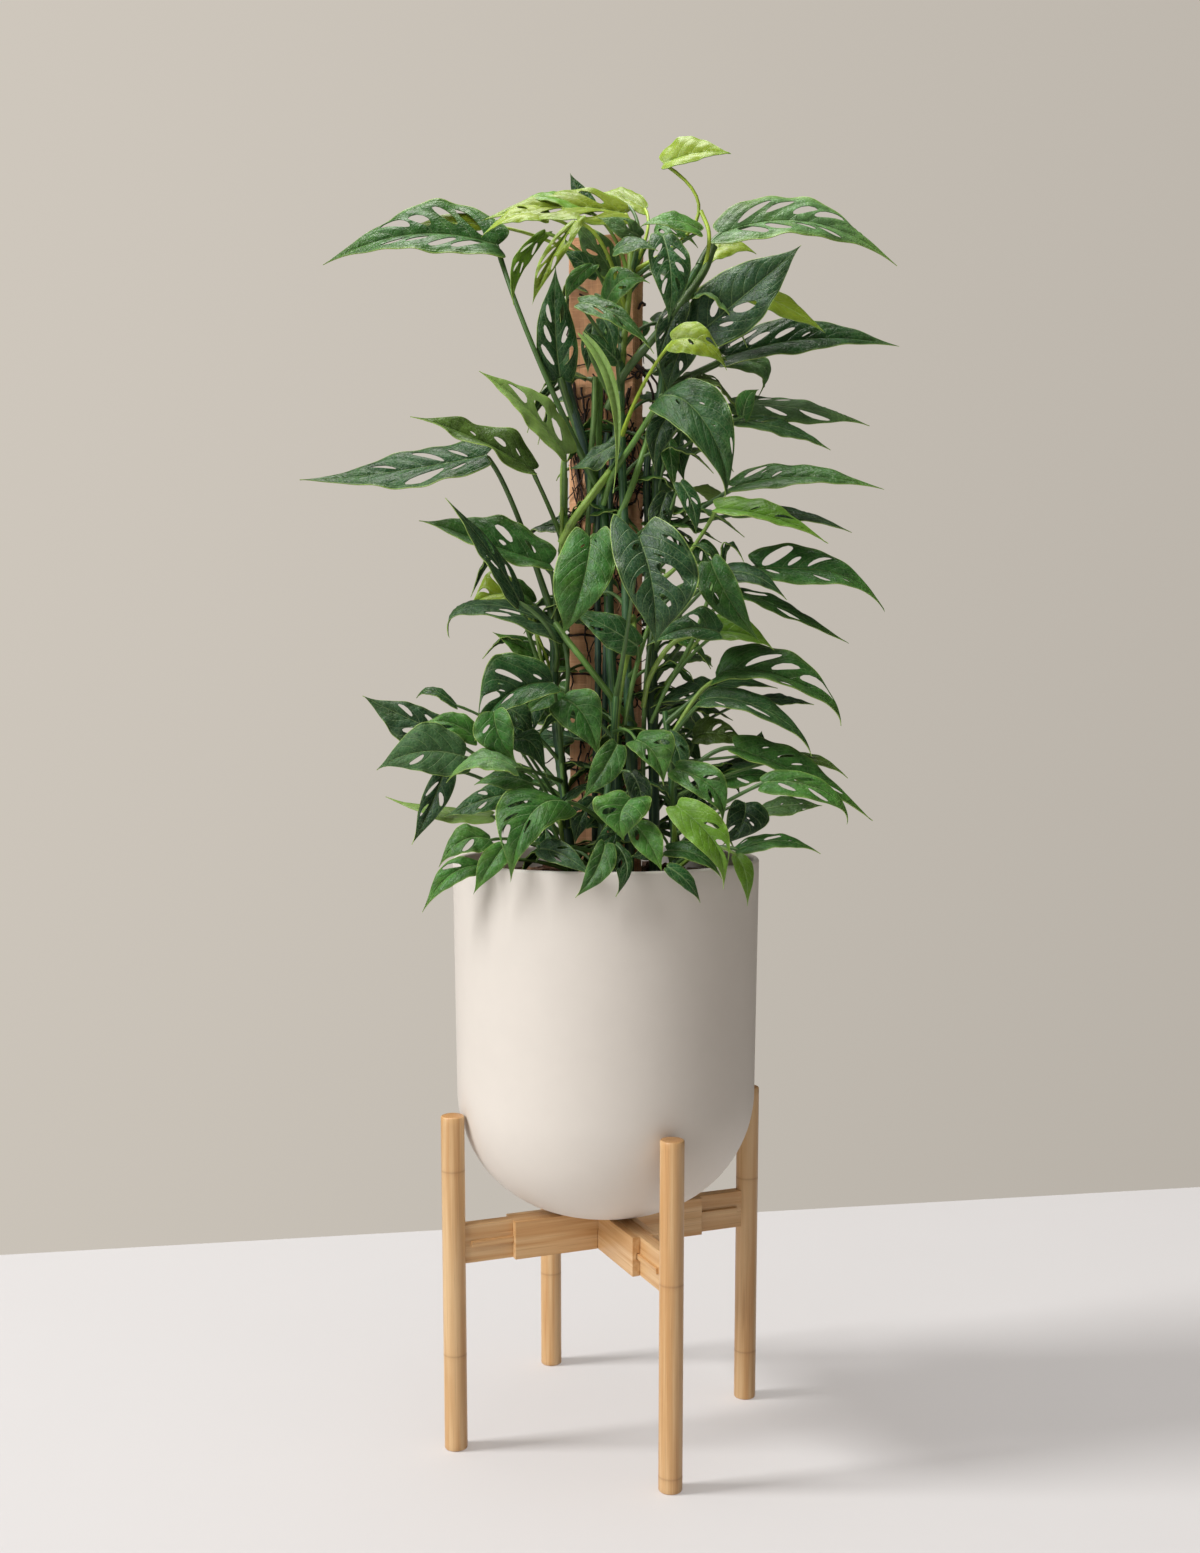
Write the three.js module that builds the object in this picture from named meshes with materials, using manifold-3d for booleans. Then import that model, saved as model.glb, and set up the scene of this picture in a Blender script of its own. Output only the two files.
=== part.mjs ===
// A monstera adansonii trained up a sawn plank, planted in a round-bottomed pot that stands in an
// adjustable bamboo stand. Millimetres, +Z up. The origin is on the floor under the pot's axis and
// the stand's four arms lie along X and Y.
import * as THREE from 'three';
import { mergeVertices } from 'three/addons/utils/BufferGeometryUtils.js';
import Module from 'manifold-3d';

const wasm = await Module();
wasm.setup();

// ---------------------------------------------------------------- driving dimensions

const GAP = 0.3; // clearance between pieces that touch
const MERGE = 1e-3; // points closer than this are one

const LEG = { radius: 11.5, height: 342, ring: 162.4, chamfer: 1.5, sides: 14 };
const RAIL = { top: 231, height: 39, bar: 12, slat: 8 };
const BAR = { inner: 45, tenon: 7.5, tongue: 3, tongueHeight: 6 };
const SLAT = { reach: 103 };
const POT = { rim: 152.5, foot: 150.4, top: 591, corner: 125, flat: 27, wall: 6, lip: 3, sides: 32 };
const SOIL = { below: 26, swell: 9, rings: 2 };
const PLANK = { width: 67, thick: 28, top: 1183, bottom: 330, turn: 20, edge: 1.5 };
const STEM = { sides: 5, step: 60 };
const STALK = { radius: 1.9, neck: 1.5, long: 110 };
const BLADE = { thick: 1.2, lobe: 0.08, bulge: 0.1, wave: 0.1, cuts: 3 };
const RIB = [0.2, 0.45, 0.7, 1]; // stations along the midrib from the blade's base to its tip
const MARGIN = [0.84, 0.6, 0.3, 0.08]; // and back along either margin
const HOLE = { corners: 4, slant: 0.28, long: 0.26, wide: 0.055 };
const PLANT_TURN = -22.1; // the plant faces its viewer's side, a part turn from the stand's arms

const COLOURS = {
  bamboo: { color: 0xd9b27c, roughness: 0.55, metalness: 0 },
  pot: { color: 0xe4dcd2, roughness: 0.75, metalness: 0 },
  soil: { color: 0x3a2b22, roughness: 0.95, metalness: 0 },
  plank: { color: 0xb0744c, roughness: 0.85, metalness: 0 },
  leaf: { color: 0x3f6b38, roughness: 0.45, metalness: 0 },
};

// ---------------------------------------------------------------- where the plant grows
// A place is [across, up, back]: millimetres on an upright board through the pot's axis, as a viewer
// 1.6 m in front of the plant at eye height sees it, and how far behind the board it lies. A wing is
// the step from a leaf's midrib to its margin where the blade is widest.

const VIEWER = { distance: 1610, eye: 741, side: -5.8, reach: 1617, down: 7, boardX: 7, boardUp: 519 };

const VINES = {
  vine_left: {
    radius: 5,
    stem: [[-30, 495, -62], [-42, 620, -56], [-52, 720, -50], [-52, 800, -44], [-44, 880, -38], [-42, 945, -36]],
    leaves: [
      { root: 900, rib: [[-42, 969, -80], [-82, 1016, -95], [-128, 1052, -102]],
        right: [14, 17, 12], left: [-7, -7, -18], holes: 4, bend: [-44, 925, -68] },
      { root: 880, rib: [[-75, 953, -92], [-132, 984, -106], [-196, 1008, -116]],
        right: [7, 20, 10], left: [-3, -5, -20], holes: 2, wave: 0.3, bend: [-52, 905, -60] },
      { root: 800, rib: [[-122, 967, -78], [-207, 952, -84], [-307, 940, -84]],
        right: [2, 20, 18], left: [-4, -19, -22], holes: 5, bend: [-102, 955, -30] },
      { root: 790, rib: [[-58, 858, -62], [-122, 880, -70], [-187, 905, -72]],
        right: [2, 31, 12], left: [-4, -8, -26], holes: 3, bend: [-50, 838, -55] },
      { root: 752, rib: [[-88, 821, -108], [-120, 874, -118], [-162, 925, -122]],
        right: [12, 8, 8], left: [-14, -8, -12], holes: 1, bend: [-40, 792, -114] },
      { root: 738, rib: [[-91, 827, -54], [-115, 828, -60], [-137, 817, -66]],
        right: [-6, 24, 10], left: [-4, -11, -10], holes: 2, bend: [-66, 790, -42] },
      { root: 700, rib: [[-46, 789, -80], [-84, 811, -92], [-138, 817, -98], [-161, 784, -102]],
        right: [0, 7, 24], left: [-4, -14, -12], holes: 4, bend: [-30, 745, -84] },
      { root: 690, rib: [[-64, 762, -42], [-88, 778, -46], [-115, 790, -48]],
        right: [8, 9, 6], left: [-6, -8, -8], holes: 1 },
      { root: 650, rib: [[-54, 740, -114], [-100, 728, -132], [-133, 682, -136]],
        right: [-24, 33, -4], left: [6, -15, -16], holes: 6, bend: [-48, 715, -84] },
      { root: 632, rib: [[-152, 718, -62], [-175, 732, -66], [-191, 725, -66]],
        right: [0, 5, 7], left: [0, -5, -7], bend: [-95, 700, -50] },
      { root: 616, rib: [[-157, 685, -66], [-202, 706, -76], [-245, 726, -80]],
        right: [6, 16, 10], left: [-12, -22, -10], holes: 1, bend: [-105, 650, -50] },
      { root: 600, rib: [[-143, 666, -104], [-187, 671, -114], [-231, 654, -118]],
        right: [-6, 29, 8], left: [4, -24, -8], holes: 3, bend: [-95, 655, -84] },
      { root: 624, rib: [[-131, 684, -76], [-157, 700, -80], [-182, 700, -80]],
        right: [4, 13, 8], left: [-4, -9, -10], bend: [-90, 660, -66] },
      { root: 608, rib: [[-113, 711, -146], [-107, 685, -150], [-90, 660, -146]],
        right: [-23, -7, -4], left: [16, 5, -6], holes: 2, bend: [-88, 690, -112] },
      { root: 660, rib: [[-107, 715, -104], [-86, 706, -106], [-73, 678, -104]],
        right: [-9, -10, -6], left: [10, 8, 6], holes: 1, bend: [-88, 712, -84] },
      { root: 591, rib: [[-94, 682, -126], [-74, 678, -124], [-61, 645, -122]],
        right: [-7, -12, -6], left: [9, 10, 6], bend: [-80, 668, -100] },
      { root: 641, rib: [[-92, 655, -160], [-127, 664, -166], [-162, 641, -168]],
        right: [-2, 9, 14], left: [0, -11, -12], bend: [-70, 652, -120] },
      { root: 669, rib: [[-45, 731, -76], [-64, 724, -80], [-85, 705, -80]],
        right: [-9, 10, 2], left: [6, -10, -6], bend: [-44, 708, -62] },
      { root: 575, rib: [[-117, 607, -78], [-167, 611, -80], [-222, 625, -80]],
        right: [0, 7, 13], left: [0, -9, -12], bend: [-82, 596, -72] },
      { root: 583, rib: [[-162, 653, -86], [-177, 615, -96], [-195, 578, -98]],
        right: [-13, 0, -4], left: [16, 0, 0], holes: 1, bend: [-120, 655, -72] },
      { root: 567, rib: [[-102, 628, -112], [-132, 620, -118], [-162, 605, -120]],
        right: [2, 14, 8], left: [0, -13, -8], holes: 2, bend: [-72, 606, -88] },
      { root: 545, rib: [[-77, 640, -138], [-107, 646, -142], [-133, 638, -142]],
        right: [0, 8, 10], left: [0, -12, -6], holes: 1, bend: [-52, 600, -116] },
      { root: 559, rib: [[-117, 583, -128], [-145, 582, -136], [-169, 556, -138]],
        right: [-8, 13, 6], left: [6, -14, -10], holes: 2, bend: [-84, 590, -100] },
      { root: 552, rib: [[-127, 557, -112], [-159, 546, -120], [-184, 510, -122]],
        right: [-9, 10, 4], left: [7, -9, -8], bend: [-90, 572, -80] },
    ],
  },
  vine_tall: {
    radius: 6,
    stem: [[6, 495, -58], [10, 640, -48], [4, 760, -46], [0, 860, -46], [-6, 930, -42], [-20, 972, -38]],
    leaves: [
      { root: 928, rib: [[-110, 1177, -60], [-197, 1188, -74], [-284, 1158, -80]],
        right: [6, 33, 18], left: [0, -17, -26], holes: 6, bend: [-84, 1085, -104] },
      { root: 962, rib: [[-47, 1046, -66], [-52, 1101, -78], [-51, 1158, -76]],
        right: [21, 0, 4], left: [-20, 2, -4], holes: 4, bend: [-34, 1000, -40], stalk: 4 },
      { root: 940, rib: [[11, 980, -76], [-14, 966, -84], [-36, 953, -84]],
        right: [2, 10, 8], left: [2, -14, -8], wave: 0.3, bend: [14, 960, -66] },
      { root: 850, rib: [[-16, 884, -138], [-26, 833, -150], [-45, 786, -144]],
        right: [-32, -2, -4], left: [28, 0, -4], holes: 2, lobe: 0.16, bend: [-10, 900, -96] },
      { root: 700, rib: [[-45, 724, -112], [-22, 706, -116], [-7, 661, -116]],
        right: [-19, -15, -6], left: [19, 14, -2], holes: 1, bend: [-24, 722, -84] },
    ],
  },
  vine_top: {
    radius: 5,
    stem: [[20, 495, -78], [24, 640, -68], [20, 760, -64], [18, 880, -60], [14, 990, -54], [14, 1060, -46],
      [20, 1130, -40], [33, 1176, -34]],
    leaves: [
      { root: 745, rib: [[30, 777, -98], [-2, 797, -100], [-40, 816, -96]],
        right: [7, 14, 8], left: [-8, -15, -6], holes: 3, bend: [34, 756, -84] },
      { root: 1168, rib: [[18, 1209, -30], [-52, 1216, -52], [-127, 1204, -62]],
        right: [0, 18, 14], left: [0, -15, -22], holes: 2 },
      { root: 1160, rib: [[38, 1214, -14], [14, 1226, -2], [-10, 1228, 6]],
        right: [2, 10, 10], left: [-2, -8, -10], bend: [48, 1198, -40] },
      { root: 1175, rib: [[-14, 1214, 24], [-28, 1232, 30], [-37, 1250, 32]],
        right: [8, 3, 4], left: [-8, -2, 4], bend: [34, 1240, -34] },
      { root: 1112, rib: [[-32, 1201, -86], [-58, 1160, -100], [-75, 1118, -98]],
        right: [-14, -5, -4], left: [15, 6, 0], holes: 3, bend: [-2, 1200, -84] },
      { root: 1128, rib: [[4, 1152, -56], [-15, 1180, -70], [-34, 1204, -76]],
        right: [14, 9, 4], left: [-12, -8, 0], holes: 3, bend: [20, 1143, -44] },
      { root: 1134, rib: [[33, 1186, -58], [12, 1197, -72], [-9, 1206, -76]],
        right: [5, 10, 6], left: [-4, -10, -4], holes: 1 },
      { root: 1098, rib: [[-10, 1149, -72], [-28, 1163, -78], [-45, 1173, -80]],
        right: [5, 9, 6], left: [-5, -9, -6], bend: [4, 1136, -58] },
      { root: 1088, rib: [[-15, 1158, -94], [-33, 1142, -100], [-41, 1121, -100]],
        right: [-9, 2, -4], left: [10, -2, 4], bend: [-6, 1150, -66] },
      { root: 1078, rib: [[0, 1122, -76], [18, 1144, -88], [43, 1140, -92]],
        right: [6, -12, -4], left: [-8, 14, 4], holes: 2, bend: [2, 1104, -60] },
      { root: 1126, rib: [[8, 1172, -92], [30, 1180, -98], [50, 1171, -100]],
        right: [0, -8, -8], left: [0, 7, 8], bend: [10, 1164, -66] },
      { root: 1060, rib: [[-27, 1120, -112], [12, 1106, -122], [48, 1070, -124]],
        right: [-4, -9, -8], left: [4, 9, 8], holes: 1, bend: [-14, 1100, -84] },
      { root: 1030, rib: [[10, 1062, -72], [-6, 1078, -78], [-22, 1092, -80]],
        right: [6, 7, 6], left: [-6, -8, -4], bend: [10, 1046, -62] },
      { root: 1010, rib: [[-16, 1075, -116], [14, 1018, -124], [3, 930, -118]],
        right: [-7, -3, -11], left: [5, 2, -12], holes: 2, bend: [-12, 1052, -84] },
      { root: 985, rib: [[66, 1082, -120], [96, 1081, -130], [121, 1053, -130]],
        right: [-7, -15, -6], left: [2, 17, 6], holes: 2, bend: [34, 1046, -98] },
      { root: 1152, rib: [[56, 1254, -30], [92, 1272, -40], [123, 1269, -44]],
        right: [2, -17, -10], left: [0, 15, 12], bend: [104, 1232, -20] },
      { root: 1142, rib: [[93, 1192, -52], [62, 1203, -58], [33, 1197, -62]],
        right: [0, 9, 10], left: [0, -8, -8], bend: [74, 1182, -40] },
    ],
  },
  vine_right: {
    radius: 5.5,
    stem: [[47, 495, -50], [47, 640, -44], [45, 760, -43], [48, 860, -42], [50, 950, -42], [52, 1010, -42],
      [62, 1085, -42], [78, 1132, -38], [93, 1158, -32]],
    leaves: [
      { root: 1157, rib: [[115, 1189, -10], [205, 1200, 4], [290, 1157, 28]],
        right: [-3, -15, -26], left: [0, 26, 20], holes: 6 },
      { root: 1142, rib: [[97, 1164, 16], [122, 1177, 22], [150, 1170, 24]],
        right: [0, -11, -10], left: [0, 10, 12], bend: [95, 1162, -6] },
      { root: 1060, rib: [[93, 1090, -52], [147, 1136, -62], [195, 1177, -64]],
        right: [19, -23, -10], left: [-24, 24, 6], holes: 8, bend: [76, 1078, -48] },
      { root: 1118, rib: [[126, 1140, -4], [177, 1117, -2], [219, 1091, -4]],
        right: [-5, -11, -12], left: [5, 10, 10], bend: [104, 1148, -14] },
      { root: 1035, rib: [[121, 1066, 0], [208, 1084, 22], [292, 1076, 40]],
        right: [0, -12, -20], left: [-2, 23, 16], holes: 7, bend: [88, 1050, -20] },
      { root: 1030, rib: [[120, 1062, 26], [158, 1054, 30], [147, 1022, 26]],
        right: [-6, -9, -8], left: [5, 9, 8], bend: [86, 1046, 4] },
      { root: 990, rib: [[136, 1006, -32], [141, 1026, -36], [152, 1033, -38]],
        right: [7, -6, 4], left: [-9, 5, 0], bend: [100, 996, -34] },
      { root: 1100, rib: [[56, 1186, -84], [64, 1145, -94], [61, 1101, -90]],
        right: [-20, 0, -4], left: [21, 0, 4], holes: 5, bend: [70, 1170, -60] },
      { root: 1000, rib: [[54, 1026, -106], [86, 1015, -128], [112, 972, -136], [118, 922, -132]],
        right: [-13, -22, -10], left: [27, 17, 0], holes: 3, bend: [56, 1034, -70] },
      { root: 985, rib: [[66, 1012, -84], [50, 986, -92], [48, 951, -92]],
        right: [-13, 3, -4], left: [15, -4, 0], bend: [64, 1010, -62] },
      { root: 920, rib: [[61, 983, -62], [64, 961, -66], [67, 934, -66]],
        right: [-9, 0, -2], left: [9, 0, 4], bend: [58, 966, -50] },
      { root: 960, rib: [[128, 1019, 12], [196, 1014, 18], [263, 999, 18]],
        right: [0, -17, -8], left: [0, 9, 18], holes: 6, bend: [92, 1010, -16] },
      { root: 950, rib: [[131, 1002, -26], [183, 992, -22], [223, 972, -22]],
        right: [0, -7, -12], left: [0, 9, 12], holes: 2, bend: [92, 996, -34] },
      { root: 880, rib: [[129, 936, -52], [203, 946, -58], [277, 933, -60]],
        right: [0, -8, -14], left: [-4, 14, 14], holes: 4, bend: [86, 912, -44] },
      { root: 840, rib: [[110, 914, -76], [165, 905, -84], [222, 881, -86]],
        right: [0, -5, -14], left: [4, 15, 12], holes: 2, bend: [76, 852, -60] },
      { root: 896, rib: [[131, 910, -34], [193, 908, -34], [244, 889, -36]],
        right: [0, -7, -9], left: [0, 6, 10], bend: [92, 900, -36] },
      { root: 912, rib: [[113, 926, -26], [98, 932, -26], [83, 936, -26]],
        right: [0, 7, 8], left: [0, -8, -8], bend: [84, 912, -32] },
      { root: 860, rib: [[73, 940, -84], [86, 915, -90], [89, 888, -88]],
        right: [-9, -3, -2], left: [9, 3, 3], holes: 2, bend: [68, 930, -62] },
      { root: 800, rib: [[150, 856, -50], [196, 854, -56], [242, 845, -60], [276, 810, -64]],
        right: [2, -15, -12], left: [-6, 24, 10], holes: 7, bend: [102, 846, -38] },
      { root: 811, rib: [[116, 858, -66], [122, 878, -72], [138, 862, -76]],
        right: [-4, 2, -9], left: [4, 3, 9], holes: 1, bend: [88, 848, -56] },
      { root: 824, rib: [[110, 857, -92], [100, 875, -96], [85, 876, -96]],
        right: [0, 5, 7], left: [0, -6, -7], holes: 1, bend: [84, 842, -70] },
      { root: 780, rib: [[112, 850, -82], [148, 847, -94], [180, 823, -96]],
        right: [-4, -9, -8], left: [4, 9, 8], bend: [86, 822, -64] },
      { root: 770, rib: [[104, 861, -112], [123, 822, -122], [153, 781, -120]],
        right: [-20, -9, -4], left: [14, 8, -2], holes: 3, bend: [82, 836, -84] },
      { root: 740, rib: [[131, 831, -30], [185, 810, -34], [241, 778, -36]],
        right: [-3, -6, -11], left: [3, 7, 12], holes: 3, bend: [92, 808, -32] },
      { root: 720, rib: [[98, 791, -92], [136, 789, -102], [168, 774, -106]],
        right: [0, -8, -12], left: [3, 17, 8], bend: [74, 762, -70] },
      { root: 715, rib: [[112, 790, -136], [78, 794, -142], [38, 776, -138]],
        right: [4, 20, 6], left: [0, -11, -10], holes: 1, wave: 0.2, bend: [84, 776, -96] },
    ],
  },
  vine_low: {
    radius: 4.5,
    stem: [[66, 495, -84], [68, 580, -82], [64, 660, -80], [58, 712, -78]],
    leaves: [
      { root: 700, rib: [[109, 744, -86], [150, 752, -94], [206, 732, -98], [234, 697, -100]],
        right: [-2, -8, -22], left: [10, 27, 12], holes: 7, bend: [90, 728, -84] },
      { root: 709, rib: [[106, 732, -66], [78, 730, -70], [43, 716, -74]],
        right: [2, 13, 8], left: [0, -8, -10], holes: 3, bend: [88, 722, -66] },
      { root: 690, rib: [[95, 733, -46], [133, 741, -50], [170, 733, -52]],
        right: [0, -6, -11], left: [0, 5, 11], bend: [82, 712, -54] },
      { root: 680, rib: [[95, 722, -108], [133, 722, -118], [178, 701, -122], [206, 667, -122]],
        right: [-4, -9, -12], left: [4, 12, 11], holes: 4, bend: [78, 706, -92] },
      { root: 670, rib: [[150, 724, -52], [180, 723, -48], [207, 718, -46]],
        right: [0, -5, -9], left: [0, 5, 9], bend: [100, 712, -16] },
      { root: 650, rib: [[88, 687, -64], [115, 689, -68], [144, 675, -70]],
        right: [-2, -11, -8], left: [0, 16, 9], holes: 3, bend: [84, 660, -70] },
      { root: 636, rib: [[129, 674, -90], [196, 647, -98], [267, 604, -100]],
        right: [-4, -6, -18], left: [6, 20, 10], holes: 6, bend: [108, 682, -90] },
      { root: 661, rib: [[143, 668, -78], [150, 682, -80], [155, 692, -80]],
        right: [9, 0, 3], left: [-7, 0, 3], bend: [112, 664, -76] },
      { root: 625, rib: [[176, 664, -74], [212, 662, -76], [241, 645, -78]],
        right: [0, -5, -6], left: [0, 6, 6], bend: [120, 652, -72] },
      { root: 607, rib: [[105, 652, -50], [140, 661, -52], [176, 660, -52]],
        right: [0, -6, -11], left: [0, 5, 12], bend: [84, 632, -60] },
      { root: 597, rib: [[112, 642, -66], [143, 648, -68], [175, 645, -68]],
        right: [0, -11, -8], left: [0, 8, 9], holes: 2, bend: [88, 622, -72] },
      { root: 588, rib: [[156, 640, -124], [190, 640, -130], [226, 626, -130], [242, 598, -126]],
        right: [-2, -14, -6], left: [2, 12, 4], holes: 1, bend: [116, 622, -110] },
      { root: 616, rib: [[69, 654, -134], [97, 642, -150], [113, 624, -154], [114, 597, -150]],
        right: [-9, -13, -6], left: [13, 13, -2], holes: 1, bend: [64, 640, -104] },
      { root: 580, rib: [[70, 617, -158], [96, 595, -170], [113, 569, -172], [116, 534, -166]],
        right: [-14, -12, -6], left: [17, 12, -2], holes: 3, bend: [66, 606, -120] },
      { root: 572, rib: [[138, 620, -96], [134, 598, -104], [115, 577, -104]],
        right: [-17, 3, -4], left: [25, -4, -2], holes: 3, bend: [108, 616, -92] },
      { root: 565, rib: [[158, 614, -72], [188, 618, -76], [215, 616, -76]],
        right: [0, -10, -7], left: [0, 9, 9], holes: 4, bend: [116, 600, -78] },
      { root: 558, rib: [[131, 573, -118], [173, 582, -122], [214, 570, -122]],
        right: [0, -8, -9], left: [0, 8, 10], holes: 3, bend: [104, 584, -108] },
      { root: 545, rib: [[61, 572, -146], [92, 567, -158], [115, 544, -154]],
        right: [-4, -7, -7], left: [2, 11, 6], holes: 1, bend: [62, 570, -116] },
      { root: 551, rib: [[130, 567, -134], [139, 546, -140], [140, 517, -136]],
        right: [-8, -3, -3], left: [9, 3, 2], bend: [106, 590, -124] },
      { root: 541, rib: [[61, 556, -184], [80, 541, -184], [94, 520, -178]],
        right: [-5, -6, -3], left: [6, 6, 4], bend: [62, 566, -146] },
    ],
  },
  vine_front: {
    radius: 4.5,
    stem: [[-14, 495, -104], [-6, 580, -98], [4, 660, -90], [10, 736, -88]],
    leaves: [
      { root: 728, rib: [[32, 886, -158], [46, 833, -172], [48, 776, -168]],
        right: [-33, 2, -4], left: [50, -2, -4], holes: 8, lobe: 0.26, bend: [24, 806, -146] },
      { root: 690, rib: [[29, 683, -142], [48, 668, -154], [57, 637, -154]],
        right: [-10, -9, -6], left: [23, 14, -2], holes: 2, lobe: 0.14, bend: [20, 700, -112] },
      { root: 660, rib: [[10, 678, -126], [-6, 650, -136], [-25, 623, -134]],
        right: [-12, 7, -2], left: [14, -8, -2], bend: [8, 680, -104] },
      { root: 590, rib: [[24, 624, -164], [13, 606, -174], [17, 581, -174]],
        right: [-30, 8, -2], left: [25, -3, -2], holes: 1, lobe: 0.18, bend: [10, 618, -126] },
      { root: 600, rib: [[-41, 621, -142], [-70, 615, -170], [-88, 584, -184], [-96, 541, -184]],
        right: [-36, 11, 4], left: [11, -20, -10], holes: 5, bend: [-22, 618, -116] },
      { root: 575, rib: [[29, 598, -154], [44, 577, -168], [55, 551, -170]],
        right: [-12, -8, -3], left: [14, 7, -2], holes: 1, bend: [14, 594, -124] },
      { root: 560, rib: [[-2, 578, -172], [-13, 549, -186], [-32, 525, -186]],
        right: [-9, 6, -1], left: [15, -4, -3], bend: [-2, 580, -136] },
      { root: 552, rib: [[9, 578, -160], [20, 553, -178], [8, 527, -180]],
        right: [-13, 0, -3], left: [6, 2, 4], holes: 1, bend: [4, 572, -130] },
      { root: 548, rib: [[-66, 574, -158], [-40, 566, -174], [-12, 544, -178]],
        right: [-6, -10, -5], left: [4, 12, 3], holes: 2, bend: [-40, 578, -132] },
      { root: 570, rib: [[-102, 578, -150], [-118, 556, -158], [-134, 528, -156]],
        right: [-13, 4, -2], left: [14, -3, -2], bend: [-62, 584, -126] },
    ],
  },
  vine_back: {
    radius: 5,
    stem: [[4, 505, 62], [0, 640, 48], [4, 800, 42], [-2, 960, 40], [2, 1080, 38], [-6, 1150, 34]],
    leaves: [
      { root: 1130, rib: [[-8, 1158, 62], [-8, 1160, 108], [-4, 1120, 146]],
        right: [26, -4, 2], left: [-26, -4, 0], holes: 4 },
      { root: 1080, rib: [[16, 1100, 58], [22, 1096, 92], [18, 1056, 118]],
        right: [22, -6, -8], left: [-20, -6, 8], holes: 3 },
      { root: 1020, rib: [[-12, 1052, 66], [-14, 1048, 118], [-6, 998, 158]],
        right: [26, -5, 4], left: [-27, -5, 0], holes: 4 },
      { root: 960, rib: [[14, 996, 60], [20, 986, 98], [16, 938, 128]],
        right: [24, -6, -6], left: [-20, -6, 6], holes: 3 },
      { root: 880, rib: [[-8, 920, 72], [-10, 918, 128], [-4, 866, 172]],
        right: [27, -6, 0], left: [-28, -6, 0], holes: 5 },
      { root: 800, rib: [[22, 838, 70], [40, 830, 118], [44, 778, 150]],
        right: [24, -8, -8], left: [-26, -4, 8], holes: 4 },
      { root: 780, rib: [[-24, 820, 64], [-30, 812, 104], [-24, 766, 134]],
        right: [24, -5, 8], left: [-24, -8, -6], holes: 3 },
      { root: 690, rib: [[-46, 736, 78], [-72, 732, 122], [-76, 684, 156]],
        right: [27, -3, 12], left: [-24, -10, -10], holes: 4 },
      { root: 680, rib: [[50, 722, 74], [82, 714, 118], [90, 668, 150]],
        right: [23, -9, -12], left: [-27, -3, 10], holes: 4 },
      { root: 650, rib: [[4, 690, 96], [4, 682, 156], [8, 628, 200]],
        right: [27, -6, 0], left: [-27, -6, 0], holes: 5 },
      { root: 600, rib: [[58, 640, 96], [88, 626, 140], [92, 582, 168]],
        right: [22, -9, -10], left: [-24, -2, 10], holes: 3 },
      { root: 586, rib: [[-56, 644, 98], [-86, 630, 140], [-92, 584, 170]],
        right: [24, -2, 12], left: [-22, -9, -10], holes: 3 },
      { root: 570, rib: [[2, 606, 122], [0, 598, 176], [-4, 550, 210]],
        right: [25, -5, 0], left: [-25, -5, 0], holes: 3 },
    ],
  },
};

// ---------------------------------------------------------------- solids

const radians = THREE.MathUtils.degToRad;

/** A manifold solid from a closed geometry, whichever way its faces point. */
function solid(geometry) {
  const bare = new THREE.BufferGeometry();
  const source = geometry.index ? geometry.toNonIndexed() : geometry;
  bare.setAttribute('position', source.getAttribute('position').clone());
  const merged = mergeVertices(bare, MERGE);
  const points = merged.getAttribute('position').array;
  const corners = [];
  for (let i = 0; i < merged.index.count; i += 3) {
    const [a, b, c] = merged.index.array.slice(i, i + 3);
    const flat = a === b || b === c || c === a; // a triangle at the pole of a lathe
    if (!flat) corners.push(a, b, c);
  }
  if (signedVolume(points, corners) < 0) corners.reverse();
  const mesh = new wasm.Mesh({ numProp: 3, vertProperties: points, triVerts: Uint32Array.from(corners) });
  return new wasm.Manifold(mesh);
}

function signedVolume(points, corners) {
  const at = (i) => new THREE.Vector3().fromArray(points, 3 * i);
  let sum = 0;
  for (let i = 0; i < corners.length; i += 3) {
    sum += at(corners[i]).dot(at(corners[i + 1]).cross(at(corners[i + 2])));
  }
  return sum / 6;
}

function geometryOf(manifold) {
  const mesh = manifold.getMesh();
  const geometry = new THREE.BufferGeometry();
  geometry.setAttribute('position', new THREE.BufferAttribute(Float32Array.from(mesh.vertProperties), 3));
  geometry.setIndex(new THREE.BufferAttribute(Uint32Array.from(mesh.triVerts), 1));
  return geometry;
}

function meshOf(name, manifold, finish) {
  const mesh = new THREE.Mesh(geometryOf(manifold), new THREE.MeshStandardMaterial(finish));
  mesh.name = name;
  return mesh;
}

/** A box between two corners. */
function block([x0, y0, z0], [x1, y1, z1]) {
  const box = new THREE.BoxGeometry(x1 - x0, y1 - y0, z1 - z0);
  return solid(box.translate((x0 + x1) / 2, (y0 + y1) / 2, (z0 + z1) / 2));
}

/** A profile of [radius, height] points turned about the Z axis; it starts and ends on the axis. */
function turned(profile, sides) {
  const points = profile.map(([radius, height]) => new THREE.Vector2(radius, height));
  return solid(new THREE.LatheGeometry(points, sides).rotateX(Math.PI / 2));
}

/** A round tube of few sides along a curve. */
function tube(curve, radius, sides, steps) {
  const ring = Array.from({ length: sides }, (_, i) => {
    const angle = (2 * Math.PI * i) / sides;
    return new THREE.Vector2(radius * Math.cos(angle), radius * Math.sin(angle));
  });
  const options = { steps, extrudePath: curve, bevelEnabled: false };
  return solid(new THREE.ExtrudeGeometry(new THREE.Shape(ring), options));
}

// ---------------------------------------------------------------- stand

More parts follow.
